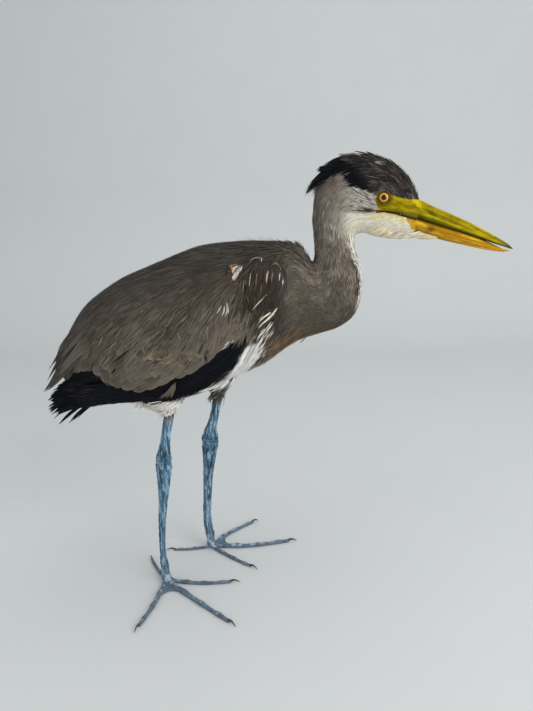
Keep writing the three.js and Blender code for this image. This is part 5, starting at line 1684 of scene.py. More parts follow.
def barbs(side, lines, half, colour, out, coat, rs, per=3.0, thin=0.32, K=6, var=0.05):
    """A feather edge or streak built of several hair-fine barbs side by side."""
    half = np.broadcast_to(np.asarray(half, float), (len(lines),))
    colour = np.broadcast_to(np.asarray(colour, float), (len(lines), 3))
    subs, hw, cc, oo = [], [], [], []
    for ln_, h_, c_ in zip(lines, half, colour):
        q = np.array(ln_, float)
        d_ = np.concatenate([[0], np.cumsum(np.hypot(*np.diff(q, axis=0).T))])
        d_ /= d_[-1]
        for _ in range(max(2, int(round(per * h_ / thin)))):
            a_, b_ = rs.uniform(0, 0.34), rs.uniform(0.66, 1.0)
            us = np.linspace(a_, b_, 4)
            xs_, zs_ = np.interp(us, d_, q[:, 0]), np.interp(us, d_, q[:, 1])
            tx, tz = xs_[-1] - xs_[0], zs_[-1] - zs_[0]
            ll = math.hypot(tx, tz) + 1e-6
            o0, o1 = rs.uniform(-1, 1, 2) * h_ * 0.9
            off_ = o0 + (o1 - o0) * np.linspace(0, 1, 4) * 0.6
            subs.append(list(zip(xs_ - tz / ll * off_, zs_ + tx / ll * off_)))
            hw.append(thin * rs.uniform(0.75, 1.25))
            cc.append(c_ * rs.uniform(0.80, 1.03))
            oo.append(out + rs.uniform(-0.25, 0.25))
    P, N = lay(side, subs, K, np.array(oo))
    gap = np.array([[tree.find_nearest(Vector(q))[3] for q in (p_[0], p_[len(p_) // 2], p_[-1])] for p_ in P])
    keep = (gap[:, 0] < out + 3.0) & (gap[:, 1] < out + 5.0) & (gap[:, 2] < out + 9.0)
    if not keep.any():
        return
    P, N, hw, cc = P[keep], N[keep], np.array(hw)[keep], np.array(cc)[keep]
    pr = [0.35] + [0.95] * (K - 3) + [0.75, 0.4, 0]
    bt = vanes(P, N, np.array(hw), pr, 0.0, 0.4, 1, 0.15, 2)
    coat.add(bt, shade(bt, np.array(cc), rs, var, root_shade=0.97), jitter_uv(nearest_tri(P), 79))


flight_coat = Coat("coat_flight", MAT_FLIGHT, "flight_plumage")
coats.append(flight_coat)
belly_later = []
LONG = ([0, 0.08, 0.2, 0.35, 0.5, 0.64, 0.76, 0.86, 0.93, 0.975, 1.0], [0.55, 0.9, 1.0, 1.0, 1.0, 1.0, 0.97, 0.86, 0.64, 0.36, 0])
for side in (-1, 1):
    rs = np.random.RandomState(41 + side)
    wc = wing_coats[side]
    # great coverts: one row of broad feathers whose tips draw the scalloped lower edge
    lines, half = [], []
    tipsx = [-112, -101, -90, -79, -69, -60, -50, -38, -26, -14, -3, 8, 19, 31, 42, 52, 61, 70, 79, 87]
    for i, x0 in enumerate(tipsx):
        z0 = covert_z(x0)
        ang = math.radians(np.interp(x0, [-110, -75, -40, 0, 50, 95], [50, 42, 36, 38, 50, 56]) + rs.normal(0, 2))
        ln_ = np.interp(x0, [-110, -60, 0, 60, 90], [30, 38, 46, 32, 20])
        lines.append([(x0 + ln_ * math.cos(ang), z0 + ln_ * math.sin(ang)), (x0 + ln_ * 0.45 * math.cos(ang) - 1, z0 + ln_ * 0.45 * math.sin(ang) + 1.0), (x0, z0 - 0.3)])
        half.append(np.interp(x0, [-110, -60, 0, 50, 90], [6.5, 8.0, 9.5, 7.6, 4.0]))
    P, N = lay(side, lines, 9, 2.9)
    bt = vanes(P, N, np.array(half), ROUND, 0.0, 0.8, 1, 0.04, 4, 0.02, 12, 0.02)
    base = mark(P[:, 3], rs.rand(len(P), 3)) * 0.4 + mix(np.tile(srgb(98, 89, 79), (len(P), 1)), srgb(84, 78, 70), sstep(-50, -95, P[:, 9, 0])) * 0.6
    pale = mix(base, srgb(176, 148, 116), np.interp(P[:, 9, 0], [-110, -80, -60, 20, 40, 90], [0.1, 0.2, 0.9, 0.8, 0.35, 0.5]))
    wc.add(bt, shade(bt, base, rs, 0.04, tip=pale, tip_from=0.955, edge=mix(base, pale, np.full(len(base), 0.2)), edge_from=0.9, shaft=base * 0.95, root_shade=0.96), jitter_uv(nearest_tri(P), 51))
    # second row, above the first
    lines, half = [], []
    for i, x0 in enumerate(np.linspace(86, -104, 24)):
        z0 = covert_z(x0) + np.interp(x0, [-100, -60, 0, 60, 90], [12, 17, 20, 16, 9]) + rs.normal(0, 1.5)
        ang = math.radians(np.interp(x0, [-110, -60, 0, 50, 95], [54, 46, 44, 58, 62]) + rs.normal(0, 3))
        ln_ = np.interp(x0, [-100, 0, 90], [28, 36, 22])
        lines.append([(x0 + ln_ * math.cos(ang), z0 + ln_ * math.sin(ang)), (x0 + ln_ * 0.5 * math.cos(ang), z0 + ln_ * 0.5 * math.sin(ang) + 1.0), (x0, z0)])
        half.append(np.interp(x0, [-100, 0, 60, 95], [6.6, 8.0, 6.6, 4.0]))
    P, N = lay(side, lines, 8, 3.3)
    bt = vanes(P, N, np.array(half), ROUND, 0.0, 0.7, 1, 0.05, 4, 0.02, 13, 0.03)
    base = mark(P[:, 3], rs.rand(len(P), 3)) * 0.6 + srgb(98, 89, 79) * 0.4
    pale = mix(base, srgb(168, 144, 112), rs.uniform(0.0, 0.8, len(P)) * sstep(-60, -20, P[:, 8, 0]))
    wc.add(bt, shade(bt, base, rs, 0.05, tip=pale, tip_from=0.93, edge=mix(base, pale, np.full(len(base), 0.25)), edge_from=0.86, shaft=base * 0.95, root_shade=0.96), jitter_uv(nearest_tri(P), 52))
    # worn buff fringes in a broken band across the lower coverts
    fr_lines = [[(7.7, 279.3), (1.1, 272.8), (-7.3, 268.0), (-13.8, 263.2)], [(24.1, 275.3), (18.0, 269.8), (10.0, 265.3)], [(36.6, 272.1), (33.1, 267.4), (26.5, 265.7)],
                [(44.8, 268.7), (39.1, 266.0), (34.0, 267.3)], [(36.9, 256.6), (30.6, 255.1), (27.7, 257.5)], [(23.3, 267.8), (15.2, 263.1), (8.1, 265.3)],
                [(41.5, 270.3), (33.9, 266.4)], [(37.8, 259.0), (25.1, 256.9)], [(35.7, 257.6), (27.2, 252.3)], [(31, 262.5), (26, 258.5)], [(5.2, 268.5), (12, 268.6)], [(-4.2, 270.3), (0, 269.6), (5.2, 268.5)]]
    n0 = len(fr_lines)
    barbs(side, fr_lines, 2.3, mix(np.tile(srgb(122, 109, 91), (n0, 1)), srgb(158, 140, 112), rs.rand(n0)), 4.6, wc, rs, 1.7, 0.22, 6, 0.10)
    wisps = [[(38.2, 306.7), (42.7, 302.8), (41.3, 292.4)], [(68.5, 312.3), (73.8, 301.5), (73.3, 286.8), (68.4, 275.2)], [(74.9, 293.9), (83.2, 295.3), (94.4, 298.0)],
             [(96.4, 315.6), (102.3, 309.9), (100.0, 304.5), (94.7, 299.5)], [(58, 300), (60, 290), (57, 281)], [(-30, 300), (-38, 288)], [(-52, 292), (-60, 278)],
             [(-95.9, 282.9), (-104.3, 263.5), (-117, 243)], [(-8.9, 281.1), (-4.9, 271.8)], [(29.6, 297.1), (32.4, 284.4)],
             [(37.6, 291.6), (39.3, 280.5), (35.5, 271.2)], [(2.5, 291.9), (-10.2, 277.4)], [(-102.2, 276.8), (-108.2, 261.0)]]
    for i in range(44):
        x0, z0 = rs.uniform(-96, 88), rs.uniform(268, 338)
        a0 = math.radians(lie_angle(np.array([x0]), np.array([z0]))[0] + rs.normal(0, 12))
        ln_ = rs.uniform(8, 22)
        kk = rs.normal(0, 0.12) * ln_
        if z0 - ln_ * math.sin(a0) > covert_z(x0 - ln_ * math.cos(a0)) + 3 and z0 < np.interp(x0, [-100, -60, 0, 90], [280, 312, 332, 342]) and x0 - ln_ * math.cos(a0) > -108:
            wisps.append([(x0, z0), (x0 - ln_ * 0.5 * math.cos(a0) + kk * 0.5, z0 - ln_ * 0.5 * math.sin(a0) - kk), (x0 - ln_ * math.cos(a0), z0 - ln_ * math.sin(a0))])
    n1 = len(wisps)
    barbs(side, wisps, rs.uniform(0.3, 0.9, n1), mix(np.tile(srgb(112, 104, 94), (n1, 1)), srgb(152, 142, 128), rs.rand(n1)), 4.7, wc, rs, 1.7, 0.24)
    shadows = []
    for i in range(46):
        x0, z0 = rs.uniform(-100, 90), rs.uniform(262, 336)
        a0 = math.radians(lie_angle(np.array([x0]), np.array([z0]))[0] + rs.normal(0, 8))
        ln_ = rs.uniform(10, 20)
        if z0 - ln_ * math.sin(a0) > covert_z(x0 - ln_ * math.cos(a0)) + 3 and z0 < np.interp(x0, [-100, -60, 0, 90], [280, 312, 332, 342]) and x0 - ln_ * math.cos(a0) > -108:
            shadows.append([(x0, z0), (x0 - ln_ * math.cos(a0), z0 - ln_ * math.sin(a0))])
    barbs(side, shadows, rs.uniform(0.4, 0.9, len(shadows)), srgb(66, 59, 52), 4.4, wc, rs, 1.5, 0.26)
    # thin pale rim on the scalloped edge
    lines = []
    for i, x0 in enumerate(np.linspace(-62, 16, 24)):
        lines.append([(x0 + 6, covert_z(x0 + 6) + 0.2), (x0 + 1, covert_z(x0 + 1) + 0.1), (x0 - 3, covert_z(x0 - 3) + 0.5)])
    P, N = lay(side, lines, 6, 4.2)
    bt = vanes(P, N, rs.uniform(0.30, 0.55, len(P)), SLIM, 0.0, 0.3, 1, 0.2, 2)
    wc.add(bt, shade(bt, mix(np.tile(srgb(150, 128, 102), (len(P), 1)), srgb(182, 150, 116), rs.rand(len(P))), rs, 0.06), jitter_uv(nearest_tri(P), 73))
    # painted shade in the partings between coverts, and the hooked dark feather ahead
    barbs(side, [[(-20.5, 279.5), (-33.1, 270.7), (-45.5, 262.6)], [(-39.8, 259.0), (-49.1, 249.2)], [(59.4, 277.4), (55.5, 272.3), (54.0, 267.0), (55.0, 260.5)],
                 [(-93.6, 308.6), (-96.1, 294.5)], [(-96.1, 286.4), (-102.0, 275.0)]], [0.7, 0.7, 1.1, 0.9, 0.9], srgb(30, 27, 26), 5.0, flight_coat, rs, 2.6, 0.34)

    # black flight feathers: long vanes one above another, running back to the loose tips
    lines, half = [], []
    tips = [(-135.5, 220), (-138.0, 213), (-138.5, 206), (-136, 199.5), (-130, 225.5), (-134, 217.5), (-133, 209), (-129, 203.5), (-126, 211), (-128, 220), (-122, 206)]
    for i, (tx, tz) in enumerate(tips):
        u = np.clip((tz - 198) / 28, 0, 1)
        lines.append([(-20 + 5 * (i % 5), np.interp(u, [0, 1], [222, 242])), (-62, np.interp(u, [0, 1], [217, 236])), (-100, 210 + 18 * u), (tx, tz)])
        half.append(3.9)
    P, N = lay(side, lines, 12, np.linspace(2.9, 1.4, len(lines)))
    bt = vanes(P, N, np.array(half), LONG, 0.0, 0.6, 1, 0.10, 4, 0.03, 14, 0.05)
    base = np.tile(srgb(15, 16, 20), (len(P), 1))
    flight_coat.add(bt, shade(bt, base, rs, 0.14, edge=base * 1.5, edge_from=0.85, shaft=base * 1.5, root_shade=1), jitter_uv(nearest_tri(P), 53))
    # ragged ends between the main tips, and long loose points below them
    lines, half = [], []
    for i in range(26):
        tz = rs.uniform(198, 232)
        tx = np.interp(tz, [196, 205, 220, 232], [-134, -139, -136, -125]) + rs.uniform(0, 5)
        lines.append([(tx + 34, tz + 10 + rs.normal(0, 2)), (tx + 16, tz + 6), (tx, tz - 2)])
        half.append(rs.uniform(1.2, 2.2))
    for tx, tz, rx, rz, hw_, n_ in ((-129.8, 187.0, -96, 212, 2.1, 5), (-117.6, 188.3, -90, 211, 1.5, 4), (-133.3, 194.4, -103, 216, 1.4, 3), (-137.4, 202.0, -106, 222, 1.8, 3),
                                    (-122.5, 193.0, -94, 213, 1.2, 2), (-136.5, 198.0, -106, 219, 1.2, 2)):
        for k_ in range(n_):
            jx, jz = rs.normal(0, 0.8, 2) * min(k_, 1)
            lines.append([(rx + jx, rz + jz), (rx * 0.5 + tx * 0.5 + jx * 1.5, rz * 0.48 + tz * 0.52 + 2.2 + jz * 1.2), (tx + jx * 1.3 + 1.2 * k_, tz + jz + k_ * 1.1)])
            half.append(hw_ * (1 - 0.12 * k_))
    P, N = lay(side, lines, 9, rs.uniform(1.6, 3.2, len(lines)), 0.10)
    bt = vanes(P, N, np.array(half), [0.5, 0.85, 1, 1, 0.98, 0.9, 0.75, 0.55, 0.3, 0], 0.0, 0.6, 1, 0.15, 2, 0.04, 20, 0.08)
    flight_coat.add(bt, shade(bt, np.tile(srgb(16, 17, 21), (len(P), 1)), rs, 0.2, root_shade=1), jitter_uv(nearest_tri(P), 75))
    # browner strands lost in the black
    lines = []
    for i in range(16):
        x1, z1 = rs.uniform(-122, -92), rs.uniform(218, 236)
        lines.append([(x1 + 24, z1 + 4), (x1 + 12, z1 + 3), (x1, z1)])
    barbs(side, lines, 0.5, srgb(46, 42, 40), 5.0, flight_coat, rs, 1.6, 0.4)

    # secondaries along the lower edge
    lines, half = [], []
    for i, x1 in enumerate(np.linspace(4, -112, 12)):
        z1 = flight_z(x1) + 4.2
        lines.append([(x1 + 62, np.interp(x1 + 62, [-60, 20, 70, 92], [234, 240, 268, 286])), (x1 + 30, np.interp(x1 + 30, [-100, -20, 30, 60], [221, 226, 236, 250]) - 1), (x1, z1)])
        half.append(6.2)
    P, N = lay(side, lines, 9, 1.7)
    bt = vanes(P, N, np.array(half), LONG, 0.0, 0.9, 1, 0.10, 4, 0.02, 15, 0.04)
    base = np.tile(srgb(14, 15, 19), (len(P), 1))
    flight_coat.add(bt, shade(bt, base, rs, 0.14, edge=base * 1.4, edge_from=0.85, shaft=base * 1.4, root_shade=1), jitter_uv(nearest_tri(P), 54))
    # small black feathers that roughen the top edge of the dark rear patch
    lines, half = [], []
    for i in range(44):
        x1 = rs.uniform(-132, -80)
        ln_ = rs.uniform(9, 17)
        z1 = covert_z(x1) - rs.uniform(2, 15)
        z2 = min(z1 + rs.uniform(1, 6), covert_z(x1 + ln_) - 0.5)
        lines.append([(x1 + ln_, z2), (x1 + ln_ * 0.5, (z1 + z2) / 2 + 1), (x1, z1)])
        half.append(rs.uniform(1.4, 2.6))
    # and a few that reach up to the notch of the coverts
    for x1, z1, x2, z2 in ((-90, 247, -70.5, 253.5), (-88, 243, -67.5, 250), (-84, 240, -62, 244.5), (-100, 243, -78, 253.5), (-106, 238, -84, 252.5), (-96, 245, -73, 254.3)):
        lines.append([(x2, z2), ((x1 + x2) / 2, (z1 + z2) / 2 + 0.8), (x1, z1)])
        half.append(1.8)
    P, N = lay(side, lines, 7, 4.1)
    bt = vanes(P, N, np.array(half), [0.35, 0.8, 1, 1, 0.93, 0.78, 0.5, 0], 0.0, 0.6, 1, 0.10, 4, 0.05, 16, 0.05)
    base = np.tile(srgb(15, 16, 20), (len(P), 1))
    flight_coat.add(bt, shade(bt, base, rs, 0.2, root_shade=1), jitter_uv(nearest_tri(P), 55))
    # primary coverts: the black patch that falls from the bend of the wing
    top = np.array([(89, 287), (74, 276), (58, 264), (44, 254), (30, 246), (18, 240)], float)
    low = np.array([(91.5, 276), (80, 259.5), (66, 245), (51, 233.5), (33, 226.5), (15, 223.5)], float)
    lines, half = [], []
    for i in range(14):
        u = (i + 0.5) / 14
        pts = top * (1 - u) + low * u
        a0 = rs.uniform(0, 0.25)
        b0 = rs.uniform(0.8, 1.0) if i % 3 else rs.uniform(0.5, 0.7)
        d_ = np.linspace(0, 1, len(pts))
        us = np.linspace(a0, b0, 5)
        lines.append(list(zip(np.interp(us, d_, pts[:, 0]), np.interp(us, d_, pts[:, 1]))))
        half.append(rs.uniform(3.6, 5.0))
    P, N = lay(side, lines, 9, rs.uniform(3.2, 4.4, len(lines)))
    bt = vanes(P, N, np.array(half), LONG, 0.0, 0.6, 1, 0.12, 4, 0.03, 17, 0.05)
    base = np.tile(srgb(13, 14, 17), (len(P), 1))
    flight_coat.add(bt, shade(bt, base, rs, 0.15, edge=base * 1.4, edge_from=0.86, shaft=base * 1.5, root_shade=1), jitter_uv(nearest_tri(P), 56))
    # brown-grey feather end between the two dark groups
    barbs(side, [[(19.5, 241.5), (13, 232), (5.0, 222.0)], [(20.5, 241), (15, 231), (9.8, 221.5)], [(17, 239), (9, 230), (0.0, 222.5)], [(14, 235), (6, 227), (-2.5, 221.5)]], [1.7, 1.5, 1.4, 1.3], srgb(108, 97, 84), 4.6, wc, rs, 2.6, 0.5)
    # white leading edge of the wing under the black patch, and the pale rim above it
    lines, half, out_ = [], [], []
    edge = np.array([(94, 277), (86.5, 262), (77, 250), (66, 238.5), (52, 228.6), (34, 222.4), (14, 219.4)], float)
    dl = np.concatenate([[0], np.cumsum(np.hypot(*np.diff(edge, axis=0).T))])
    dl /= dl[-1]
    for i in range(170):
        u = rs.rand() * 0.9
        us = np.minimum(np.array([u, u + 0.05, u + rs.uniform(0.09, 0.16)]), 1)
        off_ = rs.normal(0, 0.7) * (1 - 0.5 * u)
        lines.append(list(zip(np.interp(us, dl, edge[:, 0]) + off_ * 0.6, np.interp(us, dl, edge[:, 1]) - off_ * 0.6)))
        half.append(rs.uniform(0.7, 1.3) * np.interp(u, [0, 0.6, 1], [1.1, 1, 0.6]))
    P, N = lay(side, lines, 5, rs.uniform(3.4, 5.2, len(lines)))
    bt = vanes(P, N, np.array(half), [0.5, 1, 1, 0.8, 0.45, 0], 0.0, 0.8, 1, 0.2, 2)
    wc.add(bt, shade(bt, np.tile(srgb(248, 247, 244), (len(P), 1)), rs, 0.03, root_shade=0.99), jitter_uv(nearest_tri(P), 57))
    lines = []
    for i in range(30):
        u = rs.rand() * 0.8
        rim = np.array([(91, 289.5), (84, 285.5), (77, 280.3), (69, 274.6)], float) + [0, rs.choice([0.0, 1.6])]
        us = np.array([u, u + 0.12, u + 0.24])
        d_ = np.linspace(0, 1, 4)
        lines.append(list(zip(np.interp(us, d_, rim[:, 0]), np.interp(us, d_, rim[:, 1]) + rs.normal(0, 0.3))))
    P, N = lay(side, lines, 5, 5.0)
    bt = vanes(P, N, rs.uniform(0.25, 0.5, len(P)), [0.5, 1, 1, 0.8, 0.45, 0], 0.0, 0.4, 1, 0.2, 2)
    wc.add(bt, shade(bt, np.tile(srgb(216, 211, 202), (len(P), 1)), rs, 0.10), jitter_uv(nearest_tri(P), 77))
    # brown inner feathers that end in three long dark-rimmed strands with light between them
    strands = [([(-76, 322), (-92, 303), (-106, 285), (-119.5, 268), (-134.3, 249.0)], 2.6, (46, 42, 40)), ([(-72, 324), (-90, 306), (-104, 289), (-117, 273), (-131, 254)], 2.0, (58, 53, 49)),
               ([(-80, 312), (-96, 292), (-110, 275), (-121, 262), (-132, 251.5)], 1.6, (70, 64, 58)),
               ([(-84, 302), (-99, 284), (-114, 266), (-125, 251.5), (-134.9, 236.9)], 2.5, (74, 68, 61)), ([(-86, 298), (-102, 278), (-116, 261), (-125.5, 248.5), (-133, 239.5)], 1.8, (60, 54, 50)),
               ([(-86, 288), (-101, 272), (-115, 253.5), (-126, 238.8), (-137.0, 227.1)], 2.8, (80, 74, 66)), ([(-84, 280), (-100, 264), (-114, 248), (-124, 237), (-134.5, 228.4)], 2.6, (92, 85, 76)),
               ([(-80, 274), (-96, 258), (-110, 246), (-120, 236.5), (-129.5, 230.2)], 2.4, (88, 81, 73)),
               ([(-66, 304), (-84, 290), (-100, 275), (-113, 262)], 3.4, (92, 86, 77)), ([(-70, 292), (-86, 278), (-101, 263), (-114, 250)], 3.4, (96, 89, 80)),
               ([(-70, 312), (-86, 299), (-101, 284), (-114, 270)], 3.2, (80, 75, 68)), ([(-74, 282), (-90, 268), (-104, 255), (-115, 244)], 3.2, (98, 91, 82))]
    Ps_, Ns_ = lay(side, [s_[0] for s_ in strands], 11, np.array([4.6, 4.2, 4.4, 3.8, 3.4, 3.0, 3.3, 2.9, 4.0, 3.8, 4.4, 3.5]), 0.05)
    bt = vanes(Ps_, Ns_, np.array([s_[1] for s_ in strands]), [0.5, 0.85, 1, 1, 1, 0.98, 0.92, 0.82, 0.70, 0.52, 0.28, 0], 0.0, 0.4, 1, 0.10, 4, 0.04, 18, 0.04)
    base = np.array([srgb(*s_[2]) for s_ in strands])
    wc.add(bt, shade(bt, base, rs, 0.06, edge=base * 0.55, edge_from=0.72, tip=base * 0.5, tip_from=0.75, shaft=base * 0.85, root_shade=0.97), jitter_uv(nearest_tri(Ps_), 58))
    # dark rims and the light lines beside them
    barbs(side, [[(-84, 314), (-98.6, 295), (-110, 281.6), (-119.9, 269.3), (-133, 250.5)], [(-78, 322), (-90, 309), (-100, 295)], [(-104.7, 283), (-117.1, 263.5), (-125.4, 250.5), (-134.5, 237.5)],
                 [(-112, 256), (-123, 241), (-136.5, 227.5)], [(-137.0, 227.1), (-128, 230.4), (-120.8, 233.6), (-108, 240)], [(-86, 296), (-97, 279), (-107, 262)]],
          [1.0, 0.8, 0.8, 0.8, 0.7, 0.5], srgb(28, 26, 26), 5.0, flight_coat, rs, 2.6, 0.42, 9)
    barbs(side, [[(-100, 289), (-112, 275), (-122, 262)], [(-108, 273), (-119, 257), (-128, 245)], [(-104, 268), (-116, 251), (-125, 240.5)]], [0.5, 0.5, 0.5], srgb(146, 140, 132), 5.1, wc, rs, 1.6, 0.3, 8)
    # browner warm strands from the lower wing to the rear
    barbs(side, [[(-44.6, 286.2), (-63.4, 270.7), (-83.2, 257.5)], [(-74.6, 274.1), (-85.5, 265.7)], [(-60, 292), (-80, 276), (-96, 262)], [(-52, 276), (-68, 266), (-80, 258)]], [3.0, 2.4, 2.6, 2.2], srgb(100, 86, 73), 4.4, wc, rs, 1.3, 0.34, 8)
    # grey-buff undertail feather just below the dark group
    P, N = lay(side, [[(-58, 212), (-80, 207.5), (-103, 198.5)], [(-60, 210.5), (-82, 205), (-100.5, 198.8)], [(-62, 213), (-80, 209.5), (-99, 203)]], 8, -0.4)
    bt = vanes(P, N, np.array([3.0, 2.2, 2.6]), ROUND, 0.0, 0.2, 1, 0.1, 4)
    belly_later.append((side, bt, P))

# ---- tail
rs = np.random.RandomState(60)
P, N = [], []
for i, y_ in enumerate(np.linspace(-19, 19, 9)):
    lift_ = 0.8 * (4 - abs(i - 4))
    tipx = -150.5 + 0.010 * y_ * y_
    tt = np.linspace(0, 1, 12)
    x_ = -96 + (tipx + 96) * tt
    z_ = np.interp(x_, [-152, -141, -118, -96], [211.5, 216.5, 225.5, 230]) + lift_
    P.append(np.stack([x_, np.full(12, y_) * (0.9 + 0.18 * tt), z_], 1))
    N.append(np.tile([0.12, 0, 1.0], (12, 1)))
P, N = np.array(P), unit(np.array(N))
bt = vanes(P, N, np.full(len(P), 6.4), LONG, 0.0, 0.3, 1, 0.08, 4, 0.03, 19, 0.03)
base = np.tile(srgb(62, 60, 60), (len(P), 1))
flight_coat.add(bt, shade(bt, base, rs, 0.08, tip=base * 0.5, shaft=base * 0.6), jitter_uv(nearest_tri(P), 61))

# ---- breast, flanks, belly and thighs
breast_coat = Coat("coat_breast", MAT_FINE, "belly_plumage")
coats.append(breast_coat)
rs = np.random.RandomState(17)
covered = (PA > 40) & (PZ > flight_z(PX) + 6) & (PX < 92)
BREAST = (PX > 36) & (PX < 150) & (PZ < np.interp(PX, [36, 90, 150], [250, 318, 350])) & (tri_s < 14.2) & ~covered & ~LEGZONE
tri, roots = scatter(BREAST, 1.6 / math.sqrt(QUICK), 27)
L_ = np.interp(roots[:, 2], [220, 260, 320], [20, 28, 20]) * rs.uniform(0.75, 1.15, len(roots))
P, N = trace(tri, roots, L_, 6, 0.10, 11)
bt = vanes(P, N, rs.uniform(0.6, 1.1, len(roots)), [0.5, 0.95, 1, 0.9, 0.7, 0.4, 0], 0.4, rs.uniform(3.2, 4.9, len(roots)), 0.85, 0.18, 2)
base = mark(P[:, 2], rs.rand(len(roots), 3))
breast_coat.add(bt, shade(bt, base, rs, 0.04, root_shade=0.97), jitter_uv(tri, 40))
print("breast", len(roots))
belly_coat = Coat("coat_belly", MAT_FINE, "belly_plumage")
coats.append(belly_coat)
BELLY = (PX <= 40) & (PZ < 262) & (tri_s < 13) & ~covered & ~LEGZONE & ((tri_n[:, 2] < 0.2) | (PZ < 235)) & (PX > -128)
tri, roots = scatter(BELLY, 1.75 / math.sqrt(QUICK), 28)
L_ = rs.uniform(11, 18, len(roots))
P, N = trace(tri, roots, L_, 5, 0.25, 12)
bt = vanes(P, N, rs.uniform(0.55, 1.0, len(roots)), [0.5, 0.95, 1, 0.8, 0.45, 0], 0.4, rs.uniform(2.8, 4.6, len(roots)), 0.9, 0.18, 2)
base = mark(P[:, 2], rs.rand(len(roots), 3))
belly_coat.add(bt, shade(bt, base, rs, 0.035, root_shade=0.97), jitter_uv(tri, 41))
print("belly", len(roots))
for side, bt, P in belly_later:
    belly_coat.add(bt, shade(bt, np.tile(srgb(186, 176, 160), (len(P), 1)), rs, 0.05, edge=np.tile(srgb(214, 206, 194), (len(P), 1))), jitter_uv(nearest_tri(P), 78))
# white fluff that hangs behind and between the thighs
for side in (-1, 1):
    P, N = [], []
    for i in range(420):
        u = rs.rand()
        x0 = np.interp(u, [0, 1], [-38, 22]) if side < 0 else np.interp(u, [0, 1], [4, 58])
        zc = np.interp(x0, [-44, -18, 0, 11, 20, 38], [206.5, 203.5, 203.5, 206.5, 214, 221]) if side < 0 else np.interp(x0, [4, 20, 40, 58], [213, 209, 210, 222])
        y0 = side * rs.uniform(24, 46)
        top = zc + rs.uniform(6, 15)
        ln_ = rs.uniform(7, 13)
        d_ = unit(np.array([-rs.uniform(0.25, 0.7), side * rs.normal(0.0, 0.15), -0.85]))
        p0 = np.array([x0 + 3, y0, top])
        p1 = p0 + d_ * ln_
        p1[2] = max(p1[2], zc + rs.uniform(-0.8, 1.5))
        mid_ = (p0 + p1) / 2 + np.array([0.6, side * 0.8, -0.8])
        tt = np.linspace(0, 1, 5)[:, None]
        P.append(p0 * (1 - tt) ** 2 + mid_ * 2 * tt * (1 - tt) + p1 * tt ** 2)
        N.append(np.tile(unit(np.array([-0.2, side * 1.0, 0.15])), (5, 1)))
    P, N = np.array(P), np.array(N)
    bt = vanes(P, N, rs.uniform(0.4, 0.9, len(P)), [0.5, 1, 0.95, 0.6, 0], 0.2, rs.uniform(0.2, 1.2, len(P)), 1, 0.3, 2)
    cw_ = mix(np.tile(srgb(246, 243, 236), (len(P), 1)), srgb(186, 178, 168), (rs.rand(len(P)) > 0.82) * 1.0)
    if side > 0:
        cw_ = mix(cw_, srgb(48, 41, 36), sstep(29, 36, P[:, 0, 0]) * (0.9 + 0.1 * rs.rand(len(P))))
    belly_coat.add(bt, shade(bt, cw_, rs, 0.05), jitter_uv(nearest_tri(P), 86))
# fluffy trousers, and cuffs at the top of the bare legs
P, N, cc = [], [], []
for (cx_, cy_, top_, dirx, pale_) in ((0.0, -37.5, 206.5, -0.12, True), (37.5, 36.8, 214, -0.24, False)):
    for i in range(420):
        a_ = rs.uniform(0, 2 * np.pi)
        low_ = rs.rand()
        r0_ = rs.uniform(5.6, 9.0) + 5.0 * (1 - low_)
        d_ = np.array([math.cos(a_), math.sin(a_), 0])
        p0 = np.array([cx_ + (2.5 if not pale_ else 0) * (1 - low_), cy_, top_ + 9 * (1 - low_)]) + d_ * r0_
        ln_ = rs.uniform(5, 10)
        p1 = p0 + np.array([dirx * ln_, 0, -ln_]) - d_ * rs.uniform(0.5, 3.0)
        tt = np.linspace(0, 1, 5)[:, None]
        P.append(p0 * (1 - tt) + p1 * tt)
        N.append(np.tile(d_, (5, 1)))
        if pale_:
            cc.append(srgb(228, 223, 214) if (low_ > 0.30 and rs.rand() < 0.85) else srgb(146, 134, 122))
        else:
            cc.append(srgb(48, 40, 34) if rs.rand() < 0.86 else srgb(120, 108, 96))
P, N = np.array(P), np.array(N)
bt = vanes(P, N, rs.uniform(0.45, 0.85, len(P)), [0.6, 1, 0.9, 0.5, 0], 0.2, rs.uniform(0.2, 1.4, len(P)), 1, 0.3, 2)
belly_coat.add(bt, shade(bt, np.array(cc), rs, 0.08), jitter_uv(nearest_tri(P), 42))

# ---- marks on the right shoulder: pale shafts, a worn spot, white streaks falling to the breast
rs = np.random.RandomState(18)


def streaks(lines, half, colour, out=6.0, K=6, var=0.05, coat=None, sd=-1, m=2):
    barbs(sd, lines, half, colour, out, coat or wing_coats[sd], rs, 2.6, 0.32, K, var)


white_, bone, buff_ = srgb(226, 222, 214), srgb(176, 166, 152), srgb(196, 170, 136)
streaks([[(109.7, 363.6), (110.3, 358), (110.0, 353.5)], [(128.9, 352.5), (129.2, 345), (128.2, 338.5)], [(131.8, 344.8), (131.0, 332.4)]], [0.6, 0.6, 0.6], white_, 7.4)
streaks([[(118.2, 353.5), (117.4, 345), (116.8, 336)], [(101.7, 349.5), (100.8, 336.0)]], [0.6, 0.7], srgb(184, 168, 146))
streaks([[(123.2, 351), (121.2, 338)], [(107.9, 352.5), (107.3, 334.6)], [(95.9, 346), (95.2, 328)]], [0.5, 0.5, 0.6], srgb(132, 116, 96))
streaks([[(107.4, 347), (106.7, 334)], [(96.7, 346.7), (98.9, 333)], [(112.6, 340), (111.6, 326)], [(98, 330), (101, 318)]], 0.4, srgb(112, 98, 82))
streaks([ [(97.6, 356.5), (98.6, 360.6), (101.9, 363.7), (109.6, 363.6), (117.0, 358.8)],
         [(118.7, 352.8), (120.1, 357.2), (124.9, 357.8), (128.9, 352.5), (129.5, 346.2)], ], [0.4, 0.4], srgb(138, 128, 116), 7.4)
streaks([[(116.6, 328.2), (109.8, 321.5), (101.8, 312.8)]], [1.0], white_)
